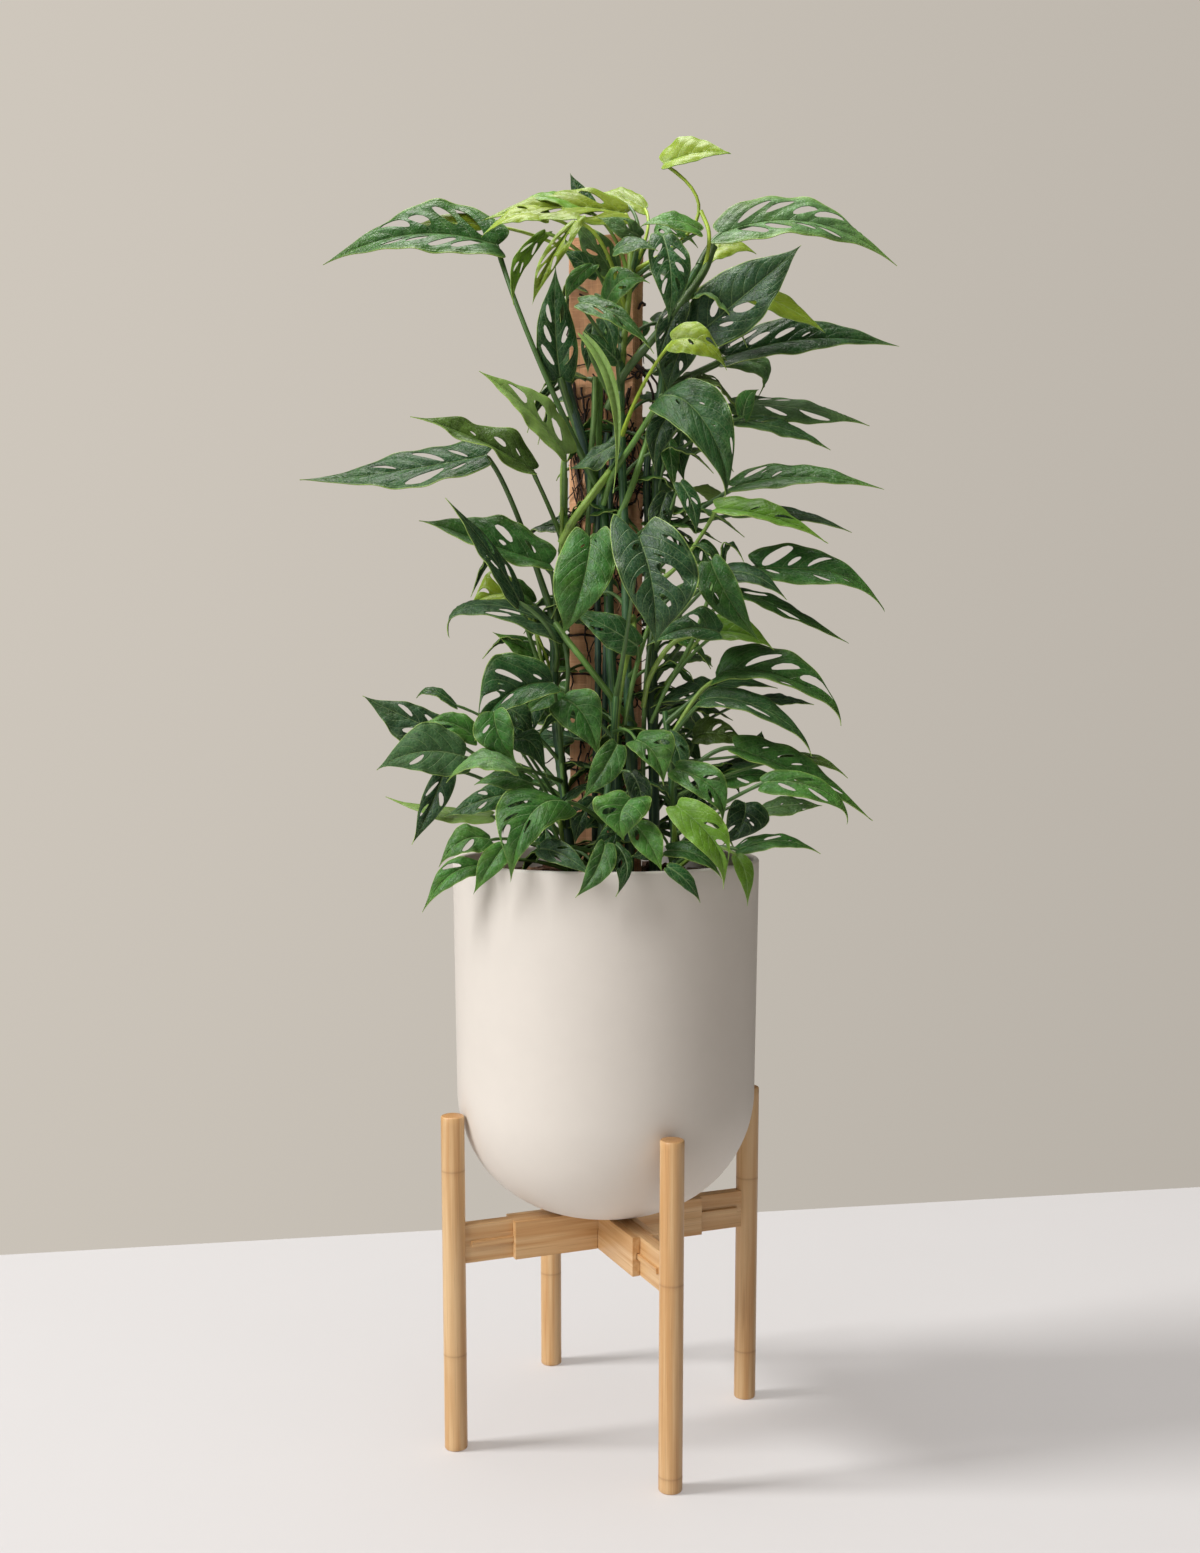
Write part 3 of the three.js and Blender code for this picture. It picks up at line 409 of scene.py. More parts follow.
# ---------------------------------------------------------------- shader wiring


def preset(node: bpy.types.Node, **values: object) -> bpy.types.Node:
    """A node with plain inputs set by name; a name's underscores stand for spaces.

    Args:
        node: the node.
        values: the values under the inputs' names.

    Returns:
        The node.
    """
    for name, value in values.items():
        node.inputs[name.replace("_", " ")].default_value = value
    return node


class Graph:
    """Short forms for wiring one node tree."""

    def __init__(self, tree: bpy.types.NodeTree) -> None:
        """Keeps the tree that the nodes go into."""
        self.tree = tree

    def node(self, kind: str, **settings: object) -> bpy.types.Node:
        """Adds a node.

        Args:
            kind: its type's name.
            settings: its properties.

        Returns:
            The node.
        """
        made = self.tree.nodes.new(kind)
        for name, value in settings.items():
            setattr(made, name, value)
        return made

    def feed(self, socket: Socket, value: object) -> None:
        """Links a socket or sets its plain value.

        Args:
            socket: the input.
            value: an output of another node, a number or a colour.
        """
        if isinstance(value, Socket):
            self.tree.links.new(value, socket)
        elif isinstance(value, tuple) and socket.type == "RGBA":
            socket.default_value = (*value, 1.0)
        else:
            socket.default_value = value

    def attribute(self, name: str) -> Socket:
        """A per-vertex value of the piece."""
        return self.node("ShaderNodeAttribute", attribute_name=name).outputs["Vector"]

    def place(self) -> Socket:
        """The place on the piece in metres."""
        return self.node("ShaderNodeTexCoord").outputs["Object"]

    def split(self, vector: Socket) -> tuple[Socket, ...]:
        """The three parts of a vector.

        Args:
            vector: the vector.

        Returns:
            Its x, y and z.
        """
        made = self.node("ShaderNodeSeparateXYZ")
        self.feed(made.inputs[0], vector)
        return tuple(made.outputs)

    def join(self, x: object, y: object, z: object) -> Socket:
        """A vector from its parts.

        Args:
            x: its first part, a socket or a number.
            y: its second part.
            z: its third part.

        Returns:
            The vector.
        """
        made = self.node("ShaderNodeCombineXYZ")
        for socket, value in zip(made.inputs, (x, y, z)):
            self.feed(socket, value)
        return made.outputs[0]

    def math(self, operation: str, *values: object) -> Socket:
        """One arithmetic step.

        Args:
            operation: its name, such as "ABSOLUTE".
            values: what goes in, sockets or numbers.

        Returns:
            The result.
        """
        made = self.node("ShaderNodeMath", operation=operation)
        for socket, value in zip(made.inputs, values):
            self.feed(socket, value)
        return made.outputs[0]

    def times(self, value: object, factor: object) -> Socket:
        """A product."""
        return self.math("MULTIPLY", value, factor)

    def plus(self, value: object, more: object) -> Socket:
        """A sum."""
        return self.math("ADD", value, more)

    def ease(self, value: object, start: float, end: float, low: float = 0.0, high: float = 1.0) -> Socket:
        """A smooth step from low at start to high at end.

        Args:
            value: what is eased.
            start: the value where the step starts.
            end: the value where it ends.
            low: the result before it.
            high: the result after it.

        Returns:
            The eased value.
        """
        made = self.node("ShaderNodeMapRange", interpolation_type="SMOOTHSTEP")
        preset(made, From_Min=start, From_Max=end, To_Min=low, To_Max=high)
        self.feed(made.inputs["Value"], value)
        return made.outputs["Result"]

    def mix(self, factor: object, a: object, b: object, blend: str = "MIX") -> Socket:
        """Two colours mixed.

        Args:
            factor: how much of the second shows.
            a: the first.
            b: the second.
            blend: the way they are mixed.

        Returns:
            The colour.
        """
        made = self.node("ShaderNodeMix", data_type="RGBA", blend_type=blend)
        self.feed(made.inputs["Factor"], factor)
        self.feed(made.inputs[6], a)
        self.feed(made.inputs[7], b)
        return made.outputs[2]

    def noise(self, vector: object, scale: object, detail: float = 2.0, roughness: float = 0.5) -> Socket:
        """Noise from 0 to 1.

        Args:
            vector: the place.
            scale: lumps to a unit.
            detail: finer layers in it.
            roughness: how strong those are.

        Returns:
            Its value.
        """
        made = preset(self.node("ShaderNodeTexNoise"), Detail=detail, Roughness=roughness)
        self.feed(made.inputs["Vector"], vector)
        self.feed(made.inputs["Scale"], scale)
        return made.outputs["Fac"]

    def scaled(self, vector: object, factors: Colour) -> Socket:
        """A vector with each part multiplied.

        Args:
            vector: the vector.
            factors: what its x, y and z are multiplied by.

        Returns:
            The product.
        """
        made = self.node("ShaderNodeVectorMath", operation="MULTIPLY")
        self.feed(made.inputs[0], vector)
        made.inputs[1].default_value = factors
        return made.outputs[0]

    def use(self, group: bpy.types.NodeTree, **values: object) -> bpy.types.NodeOutputs:
        """A node group with its inputs fed.

        Args:
            group: the group.
            values: the values under the inputs' names.

        Returns:
            Its outputs.
        """
        made = self.node("ShaderNodeGroup", node_tree=group)
        for name, value in values.items():
            self.feed(made.inputs[name], value)
        return made.outputs

    def bump(self, height: object, distance: float, strength: float) -> Socket:
        """A normal that is roughened by a height.

        Args:
            height: the relief from 0 to 1.
            distance: its depth in metres.
            strength: how much of it shows.

        Returns:
            The normal.
        """
        made = preset(self.node("ShaderNodeBump"), Distance=distance, Strength=strength)
        self.feed(made.inputs["Height"], height)
        return made.outputs["Normal"]


def shader_group(name: str, inputs: Sequence[tuple[str, str, object]], outputs: Sequence[tuple[str, str]]
                 ) -> tuple[bpy.types.NodeTree, Graph, bpy.types.NodeOutputs, bpy.types.NodeInputs]:
    """An empty shader node group with named sockets.

    Args:
        name: the group's name.
        inputs: name, socket kind and default of each input.
        outputs: name and socket kind of each output.

    Returns:
        The group, its wiring, its inputs as sources and its outputs as targets.
    """
    group = bpy.data.node_groups.new(name, "ShaderNodeTree")
    for label, kind, default in inputs:
        socket = group.interface.new_socket(label, in_out="INPUT", socket_type=f"NodeSocket{kind}")
        if default is not None:
            socket.default_value = default
    for label, kind in outputs:
        group.interface.new_socket(label, in_out="OUTPUT", socket_type=f"NodeSocket{kind}")
    graph = Graph(group)
    entry, leave = graph.node("NodeGroupInput"), graph.node("NodeGroupOutput")
    return group, graph, entry.outputs, leave.inputs


@functools.cache
def mottle_group() -> bpy.types.NodeTree:
    """Uneven colour: a colour made lighter and darker by two sizes of soft noise.

    Returns:
        The group, with Color, Vector, Scale and Amount in, and Color and the noise, Fac, out.
    """
    group, g, ins, outs = shader_group(
        "mottle", [("Color", "Color", (0.5, 0.5, 0.5, 1)), ("Vector", "Vector", None),
                   ("Scale", "Float", 1.0), ("Amount", "Float", 0.2)],
        [("Color", "Color"), ("Fac", "Float")])
    wide = g.noise(ins["Vector"], ins["Scale"], 2.0)
    fine = g.noise(ins["Vector"], g.times(ins["Scale"], 6.0), 3.0)
    both = g.plus(g.times(wide, 0.65), g.times(fine, 0.35))
    shift = g.times(g.math("SUBTRACT", both, 0.5), ins["Amount"])
    lift = g.plus(1.0, g.times(shift, 3.0))
    g.feed(outs["Color"], g.mix(1.0, ins["Color"], g.join(lift, lift, lift), "MULTIPLY"))
    g.feed(outs["Fac"], both)
    return group


@functools.cache
def fibre_group() -> bpy.types.NodeTree:
    """Fibres: fine streaks along the first part of a vector in millimetres, and slower bands across.

    Returns:
        The group, with Vector, Fine and Bands in, and Streak and Band out.
    """
    group, g, ins, outs = shader_group(
        "fibre", [("Vector", "Vector", None), ("Fine", "Float", 1.0), ("Bands", "Float", 0.1)],
        [("Streak", "Float"), ("Band", "Float")])
    g.feed(outs["Streak"], g.noise(g.scaled(ins["Vector"], (0.012, 1.0, 1.0)), ins["Fine"], 4.0, 0.65))
    g.feed(outs["Band"], g.noise(g.scaled(ins["Vector"], (0.03, 1.0, 1.0)), ins["Bands"]))
    return group


@functools.cache
def vein_group() -> bpy.types.NodeTree:
    """Leaf veins: the midrib, the side veins, one along the margin and a fine net between them.

    Vein is (distance from the midrib in mm, phase of the side veins, their spacing in mm) and Blade is
    (place from base to tip, place from midrib to margin, 1 on the underside).

    Returns:
        The group, with the shares of Rib, Side, Net and Margin out.
    """
    group, g, ins, outs = shader_group(
        "veins", [("Vein", "Vector", None), ("Blade", "Vector", None), ("Sheet", "Vector", None)],
        [("Rib", "Float"), ("Side", "Float"), ("Net", "Float"), ("Margin", "Float")])
    off, phase, spacing = g.split(ins["Vein"])
    along, out, _ = g.split(ins["Blade"])
    thin = g.math("SUBTRACT", 1.15, along)
    rib = g.ease(g.math("DIVIDE", g.math("ABSOLUTE", off), thin), 0.35, 1.25, 1.0, 0.0)
    gap = g.times(g.math("ABSOLUTE", g.math("SUBTRACT", g.math("FRACT", phase), 0.5)), spacing)
    side = g.times(g.ease(gap, 0.1, 0.75, 1.0, 0.0), g.ease(out, 0.8, 0.97, 1.0, 0.0))
    edge = g.ease(g.math("ABSOLUTE", g.math("SUBTRACT", out, 0.9)), 0.0, 0.035, 0.6, 0.0)
    net = preset(g.node("ShaderNodeTexVoronoi", feature="DISTANCE_TO_EDGE"), Scale=0.33)
    g.feed(net.inputs["Vector"], ins["Sheet"])
    g.feed(outs["Rib"], rib)
    g.feed(outs["Side"], g.math("MAXIMUM", side, edge))
    g.feed(outs["Net"], g.ease(net.outputs["Distance"], 0.0, 0.14, 1.0, 0.0))
    g.feed(outs["Margin"], g.ease(out, 0.962, 0.99))
    return group


# ---------------------------------------------------------------- blades


def through(points: Array, s: Array) -> Array:
    """The curve through a few evenly spaced points (Lagrange's), and straight on before the first.

    Args:
        points: (N, 3), the first at s = 0 and the last at s = 1.
        s: places along it.

    Returns:
        s.shape + (3,).
    """
    last = len(points) - 1

    def value(at: Array) -> Array:
        """The curve where s isn't negative.

        Args:
            at: (...) s.

        Returns:
            (..., 3) places.
        """
        total = np.zeros((*at.shape, 3))
        for i, point in enumerate(points):
            weight = np.ones_like(at)
            for j in range(last + 1):
                if j != i:
                    weight = weight * (at * last - j) / (i - j)
            total += weight[..., None] * point
        return total

    step = np.array(0.02)
    slope = (value(step) - value(np.zeros(()))) / step
    return value(np.maximum(s, 0)) + slope * np.minimum(s, 0)[..., None]


def breadth(s: Array) -> Array:
    """Half the blade's width: sin(pi s^0.6)^(0.6 + 0.9 s), 1 at its widest and drawn out to the tip."""
    inside = np.clip(s, 0, 1)
    return np.maximum(np.sin(np.pi * inside**0.6), 0) ** (0.6 + 0.9 * inside)


def inside_loop(points: Array, loop: Array) -> Array:
    """Which points lie inside a closed loop, by counting the edges that a ray crosses.

    Args:
        points: (N, 2).
        loop: (M, 2), its last point joined to its first.

    Returns:
        (N,), true for a point inside.
    """
    x, y = points[:, None, 0], points[:, None, 1]
    a, b = loop[None], np.roll(loop, -1, axis=0)[None]
    crosses = (a[..., 1] > y) != (b[..., 1] > y)
    rise = np.where(b[..., 1] == a[..., 1], 1e-12, b[..., 1] - a[..., 1])
    at = a[..., 0] + (y - a[..., 1]) * (b[..., 0] - a[..., 0]) / rise
    return (np.sum(crosses & (x < at), axis=1) % 2) == 1


def nearest(points: Array, others: Array) -> Array:
    """Each point's distance to the nearest of the others."""
    return np.sqrt(np.min(np.sum((points[:, None] - others[None]) ** 2, axis=-1), axis=1))


@dataclass(frozen=True)
class BladeForm:
    """What all blades share; lengths are millimetres, the rest shares of the blade's length or width.

    widest is where its wings are measured, slant how far a side vein leans forwards on its way out.
    """

    thickness: float = 0.8
    widest: float = 0.315
    bulge: float = 0.1
    flutter: float = 0.05
    hook: float = 0.16
    hook_from: float = 0.72
    grid: float = 2.6
    edge_step: float = 2.3
    quilt: float = 0.05
    slant: float = 0.28
    between_holes: float = 1.1
    hole_sizes: tuple[float, ...] = (1.0, 0.85, 0.7, 0.55)
    longest_hole: float = 0.39
    widest_hole: float = 0.075
    narrowest_hole: float = 0.9
    veins_each_mm: float = 0.085
    fewest_veins: int = 5
    most_veins: int = 9
    vein_starts: int = 16


FORM = BladeForm()


@dataclass(frozen=True)
class Hole:
    """One hole of a blade: its middle at (s, t), half its length along t and half its width along s."""

    s: float
    t: float
    side: int
    long: float
    wide: float

    def ring(self, corners: int) -> Array:
        """Its rim: from the middle, long cos a outwards and slant times that plus wide sin a forwards.

        Args:
            corners: number of rim points.

        Returns:
            (corners, 2) of s and signed t.
        """
        angle = 2 * np.pi * np.arange(corners) / corners
        out = self.long * np.cos(angle)
        wide = self.wide * np.sin(angle) * (1 + 0.18 * np.cos(angle))
        return np.stack([self.s + FORM.slant * out + wide, self.side * (self.t + out)], axis=1)


class Blade:
    """One holed leaf blade, worked out from its row of the table."""

    def __init__(self, leaf: Leaf, index: int) -> None:
        """Measures the blade.

        Args:
            leaf: its row.
            index: its number on the vine, which turns its ripples.
        """
        self.leaf, self.index = leaf, index
        self.rib = np.array([board(p) for p in leaf.rib])
        self.right, self.left = board(leaf.right), board(leaf.left)
        self.length = length_of(self.surface(np.linspace(0, 1, 60), np.zeros(60)) / MM)
        left, middle, right = self.surface(np.full(3, FORM.widest), np.array([-1.0, 0.0, 1.0])) / MM
        self.wings = float(np.linalg.norm(left - middle)), float(np.linalg.norm(right - middle))

    def surface(self, s: Array, t: Array) -> Array:
        """The blade's middle surface: midrib(s - lobe) + wing * breadth(s) * |t| + face * lift.

        The lift is a bulge of each half, a slow ripple, a quick flutter of the margin and a hooked tip.

        Args:
            s: from 0 at the base to 1 at the tip.
            t: from -1 at the left margin to 1 at the right one.

        Returns:
            Points in the frame.
        """
        a = np.abs(t)
        wing = np.where((t > 0)[..., None], self.right, self.left)
        wide = breadth(s)
        half = wide * a
        back = s - self.leaf.lobe * a * (1 - s) ** 4 * np.minimum(1, wide / 0.5)
        on = np.maximum(back, 0)
        tangent = through(self.rib, on + 0.01) - through(self.rib, on)
        face = unit(np.cross(self.right - self.left, tangent))
        slow = 2.2 * s + 0.37 * self.index + np.where(t > 0, 0.3, 0.0)
        quick = 5.3 * s + 0.61 * self.index + np.where(t > 0, 0.2, 0.7)
        ripple = self.leaf.wave * half * a * np.sin(2 * np.pi * slow)
        flutter = FORM.flutter * a**3 * wide * np.sin(2 * np.pi * quick)
        tip = np.clip((s - FORM.hook_from) / (1 - FORM.hook_from), 0, 1)
        hook = FORM.hook * tip**2 * math.sin(2.4 * self.index)
        lift = np.linalg.norm(wing, axis=-1) * (FORM.bulge * 4 * half * (1 - a) + ripple + flutter - hook)
        return SIGHT.to_frame(through(self.rib, back) + wing * half[..., None] + face * lift[..., None])

    def flat(self, spots: Array) -> Array:
        """Where spots (s, t) are on a flat sheet: (s * length, t * breadth * wing).

        Args:
            spots: (N, 2).

        Returns:
            (N, 2) in millimetres.
        """
        s, t = spots[:, 0], spots[:, 1]
        wing = np.where(t > 0, self.wings[1], self.wings[0])
        return np.stack([s * self.length, t * breadth(s) * wing], axis=1)

    def outline(self) -> Array:
        """The margin's spots, evenly spaced, from the base up the right to the tip and back on the left.

        Returns:
            (N, 2) of s and signed t.
        """
        sides = []
        for side in (1.0, -1.0):
            dense = np.linspace(0, 1, 500) ** 2.4
            margin = self.flat(np.stack([dense, np.full(500, side)], axis=1))
            reach = np.concatenate([[0], np.cumsum(np.linalg.norm(np.diff(margin, axis=0), axis=1))])
            count = max(16, int(reach[-1] / FORM.edge_step))
            s = np.interp(np.linspace(0, reach[-1], count), reach, dense)
            sides.append(np.stack([s, np.full(count, side)], axis=1))
        return np.concatenate([sides[0], sides[1][1:-1][::-1]])

    def holes(self) -> list[Hole]:
        """The blade's holes, each made smaller or left out where it would meet another.

        Returns:
            The holes that are cut.
        """
        kept: list[Hole] = []
        rings: list[Array] = []
        for hole in self.seen_holes() if self.leaf.seen else self.ruled_holes():
            for size in FORM.hole_sizes:
                smaller = Hole(hole.s, hole.t, hole.side, hole.long * size, hole.wide * size)
                ring = self.flat(smaller.ring(16))
                if all(nearest(ring, r).min() > FORM.between_holes and not inside_loop(ring, r).any()
                       and not inside_loop(r, ring).any() for r in rings):
                    kept.append(smaller)
                    rings.append(ring)
                    break
        return kept

    def ruled_holes(self) -> list[Hole]:
        """Holes in a row between the side veins of either half, by rule.

        They spread over the lower two thirds of the blade, near the middle of the half, and are about half
        as long as the half is wide. A blade over 75 mm has two more than its row says.

        Returns:
            The holes.
        """
        made = []
        total = self.leaf.holes + (2 if self.length > 75 and self.leaf.holes else 0)
        for side, count in ((1, math.ceil(total / 2)), (-1, total // 2)):
            for i in range(count):
                s = 0.12 + 0.54 * (i + 0.5) / count
                t = 0.46 + 0.06 * math.sin(2.4 * i + self.index)
                long = 0.25 + 0.05 * math.cos(1.7 * i + self.index)
                made.append(Hole(s, t, side, long, min(0.05, 0.17 / count)))
        return made

    def seen_holes(self) -> list[Hole]:
        """Holes at their own places, each at the spot of the blade that is seen at its box's middle.

        Returns:
            The holes, in the row's order.
        """
        side = np.concatenate([-np.linspace(0.9, 0.06, 29), np.linspace(0.06, 0.9, 29)])
        s, t = np.meshgrid(np.linspace(0.02, 0.95, 94), side, indexing="ij")
        across, up = np.moveaxis(SIGHT.to_board(self.surface(s, t)), -1, 0)
        made = []
        for x, y, width, height in self.leaf.seen:
            near = np.unravel_index(np.argmin((across - x) ** 2 + (up - y) ** 2), s.shape)
            made.append(self.seen_hole(float(s[near]), float(t[near]), width, height))
        return made

    def seen_hole(self, s: float, t: float, width: float, height: float) -> Hole:
        """An ellipse along a side vein that fills a box of the board.

        With half axes p and q and the vein's tilt, (width^2 + height^2) / 4 is p^2 + q^2, and
        (width^2 - height^2) / 4 is (p^2 - q^2) cos(2 tilt).

        Args:
            s: its middle's place from base to tip.
            t: its middle's place across.
            width: the box's width in millimetres.
            height: the box's height in millimetres.

        Returns:
            The hole, held clear of the midrib, the margin and the base.
        """
        half, step = (1 if t > 0 else -1), 0.01
        probe = np.array([[s - step, t], [s + step, t], [s, t - step], [s, t + step]])
        seen = SIGHT.to_board(self.surface(probe[:, 0], probe[:, 1]))
        by_s, by_t = (seen[1] - seen[0]) / (2 * step), (seen[3] - seen[2]) / (2 * step)
        vein = FORM.slant * by_s + half * by_t
        scale = max(float(np.linalg.norm(vein)), 1e-6)
        whole = (width**2 + height**2) / 4
        spread = math.cos(2 * math.atan2(vein[1], vein[0]))
        part = (width**2 - height**2) / (4 * spread) if abs(spread) > 0.4 else 0.8 * whole
        part = min(max(part, 0.45 * whole), 0.95 * whole)
        across = max(abs(by_s[0] * vein[1] - by_s[1] * vein[0]) / scale, 1e-6)
        long = min(math.sqrt((whole + part) / 2) / scale, FORM.longest_hole)
        wide = math.sqrt((whole - part) / 2) / across
        wide = min(max(wide, FORM.narrowest_hole / self.length), FORM.widest_hole)
        out = min(max(abs(t), 0.1 + long), 0.89 - long)
        return Hole(min(max(s, 0.05 + wide), 0.9), out, half, long, wide)

    def veins(self, holes: Sequence[Hole]) -> tuple[int, list[float]]:
        """The number of side veins and where they start in either half, chosen to pass between its holes.

        Args:
            holes: the blade's holes.

        Returns:
            The count, and the first phase of the left and of the right half.
        """
        count = int(np.clip(round(self.length * FORM.veins_each_mm), FORM.fewest_veins, FORM.most_veins))
        tries = np.linspace(0, 1, FORM.vein_starts, endpoint=False)
        starts = []
        for side in (-1, 1):
            at = np.array([h.s - FORM.slant * h.t for h in holes if h.side == side])
            if len(at):
                gap = np.abs((at[None] * count + tries[:, None]) % 1 - 0.5)
                starts.append(float(tries[np.argmax(gap.min(axis=1) + 0.2 * gap.mean(axis=1))]))
            else:
                starts.append(float(tries[int(FORM.vein_starts * hashed(self.index, self.length))]))
        return count, starts

    def add_to(self, skin: Skin, colour: Array, serial: int) -> None:
        """Cuts the blade into triangles between margin, midrib and holes, and adds its two faces and rim.

        Args:
            skin: the mesh to add it to.
            colour: its linear colour.
            serial: a number of its own, for its pattern's place.
        """
        holes = self.holes()
        loops = [self.outline()] + [h.ring(self.rim_corners(h)) for h in holes]
        edges, start = [], 0
        for loop in loops:
            ids = start + np.arange(len(loop))
            edges.append(np.stack([ids, np.roll(ids, -1)], axis=1))
            start += len(loop)
        tip = int(np.argmax(loops[0][:, 0]))
        rib = np.linspace(0, 1, max(8, int(self.length / FORM.grid)) + 1)[1:-1]
        path = np.concatenate([[0], start + np.arange(len(rib)), [tip]])
        edges.append(np.stack([path[:-1], path[1:]], axis=1))
        spots = [*loops, np.stack([rib, np.zeros(len(rib))], axis=1)]
        placed = [self.flat(part) for part in spots]
        spots = np.concatenate([*spots, self.inner_spots(np.concatenate(placed))])
        flat = self.flat(spots)
        seeds, lines = [Vector(p) for p in flat.tolist()], np.concatenate(edges).tolist()
        cut = delaunay_2d_cdt(seeds, lines, [], 0, 1e-5)
        source = np.array([ids[0] if ids else -1 for ids in cut[3]])
        triangles = source[np.array([list(face) for face in cut[2]])]
        triangles = triangles[(triangles >= 0).all(axis=1)]
        middle = flat[triangles].mean(axis=1)
        keep = inside_loop(middle, placed[0])
        for loop in placed[1:-1]:
            keep &= ~inside_loop(middle, loop)
        used, triangles = np.unique(triangles[keep], return_inverse=True)
        self.shell(skin, spots[used], triangles.reshape(-1, 3), self.veins(holes), colour, serial)

    def rim_corners(self, hole: Hole) -> int:
        """Rim points for a hole, by its length."""
        return int(np.clip(hole.long * max(self.wings) * 1.6, 10, 22))

    def inner_spots(self, edge: Array) -> Array:
        """Spots in even rows inside the blade, clear of what is already placed.

        Args:
            edge: flat places of the margin's, holes' and midrib's points.

        Returns:
            (N, 2) of s and t.
        """
        step = FORM.grid
        u, v = np.meshgrid(np.arange(step / 2, self.length, step * 0.87),
                           np.arange(-self.wings[0], self.wings[1], step), indexing="ij")
        v = (v + (np.arange(v.shape[0]) % 2)[:, None] * step / 2).ravel()
        s = u.ravel() / self.length
        wide = breadth(s) * np.where(v > 0, self.wings[1], self.wings[0])
        t = v / np.maximum(wide, 1e-6)
        keep = np.abs(t) < 0.97
        s, t, v = s[keep], t[keep], v[keep]
        far = nearest(np.stack([s * self.length, v], axis=1), edge) > 0.6 * step
        return np.stack([s[far], t[far]], axis=1)

    def shell(self, skin: Skin, spots: Array, triangles: Array, veins: tuple[int, list[float]],
              colour: Array, serial: int) -> None:
        """Lays the flat triangles on the surface, quilts it between the veins and gives it its thickness.

        The quilting lifts a point by quilt * spacing * cos^2(pi * phase) * how far it is from the midrib
        and the margin.

        Args:
            skin: the mesh to add to.
            spots: (N, 2) of s and t.
            triangles: anticlockwise on the flat sheet.
            veins: their number and first phases.
            colour: linear colour.
            serial: the blade's own number.
        """
        (s, t), flat = spots.T, self.flat(spots)
        a, n = np.abs(t), len(spots)
        middle = self.surface(s, t)
        corners = middle[triangles]
        flank = np.cross(corners[:, 2] - corners[:, 0], corners[:, 1] - corners[:, 0])
        normal = np.zeros_like(middle)
        for corner in range(3):
            np.add.at(normal, triangles[:, corner], flank)
        normal = unit(normal)
        count, starts = veins
        phase = (s - 0.2 * a - 0.13 * a * a) * count + np.where(t > 0, starts[1], starts[0])
        spacing = self.length / count * 0.95
        fade = np.clip(a / 0.15, 0, 1) * np.clip((1 - a) / 0.2, 0, 1) * np.clip((1 - s) / 0.2, 0, 1)
        middle = middle + normal * (FORM.quilt * spacing * np.cos(np.pi * phase) ** 2 * fade * MM)[:, None]
        offset = normal * (FORM.thickness / 2 * MM)
        edges = np.concatenate([triangles[:, [0, 1]], triangles[:, [1, 2]], triangles[:, [2, 0]]])
        rim = edges[~np.isin(edges[:, 0] * n + edges[:, 1], edges[:, 1] * n + edges[:, 0])]
        wall = np.stack([rim[:, 1], rim[:, 0], rim[:, 0] + n, rim[:, 1] + n], axis=1)
        under = 1.0 if self.leaf.underside_up else 0.0
        low, high = (np.stack([s, a, np.full(n, side)], axis=1) for side in (1.0 - under, under))
        vein = np.stack([flat[:, 1], phase, np.full(n, spacing)], axis=1)
        apart = [173.0 * serial, 91.0 * (serial % 7)]
        sheet = np.concatenate([flat + apart, np.zeros((n, 1))], axis=1)
        skin.add(np.concatenate([middle - offset, middle + offset]),
                 [triangles, triangles[:, ::-1] + n, wall],
                 Tone=colour, Blade=np.concatenate([low, high]), Vein=np.concatenate([vein, vein]),
                 Sheet=np.concatenate([sheet, sheet]))


# ---------------------------------------------------------------- stems, stalks and roots


def stem_at(vine: Vine, height: float) -> Array:
    """The place of a stem's middle line at a height on the board, straight between its places.

    Args:
        vine: the stem.
        height: millimetres up the board.

    Returns:
        Across, back and up.
    """
    places = np.array([board(p) for p in vine.stem])
    upper = max(1, int(np.argmax(places[:, 2] >= height)))
    low, high = places[upper - 1], places[upper]
    return low + (high - low) * (height - low[2]) / (high[2] - low[2])


def bow(a: Array, b: Array, c: Array, count: int) -> Array:
    """A quadratic Bezier curve: (1-f)^2 a + 2 f (1-f) b + f^2 c."""
    f = np.linspace(0, 1, count)[:, None]
    return (1 - f) ** 2 * a + 2 * f * (1 - f) * b + f * f * c


class StalkTone(Enum):
    """The greens of the leaf stalks and stems."""

    TEAL = "2f4a40"
    OLD = "527038"
    GREEN = "5c8238"
    YOUNG = "88a646"
    LIME = "a8c03c"

    @classmethod
    def of(cls, leaf: Leaf) -> StalkTone:
        """The green that goes with a leaf's."""
        return {Tone.LIME: cls.LIME, Tone.BRIGHT: cls.YOUNG}.get(leaf.tone, cls.OLD)


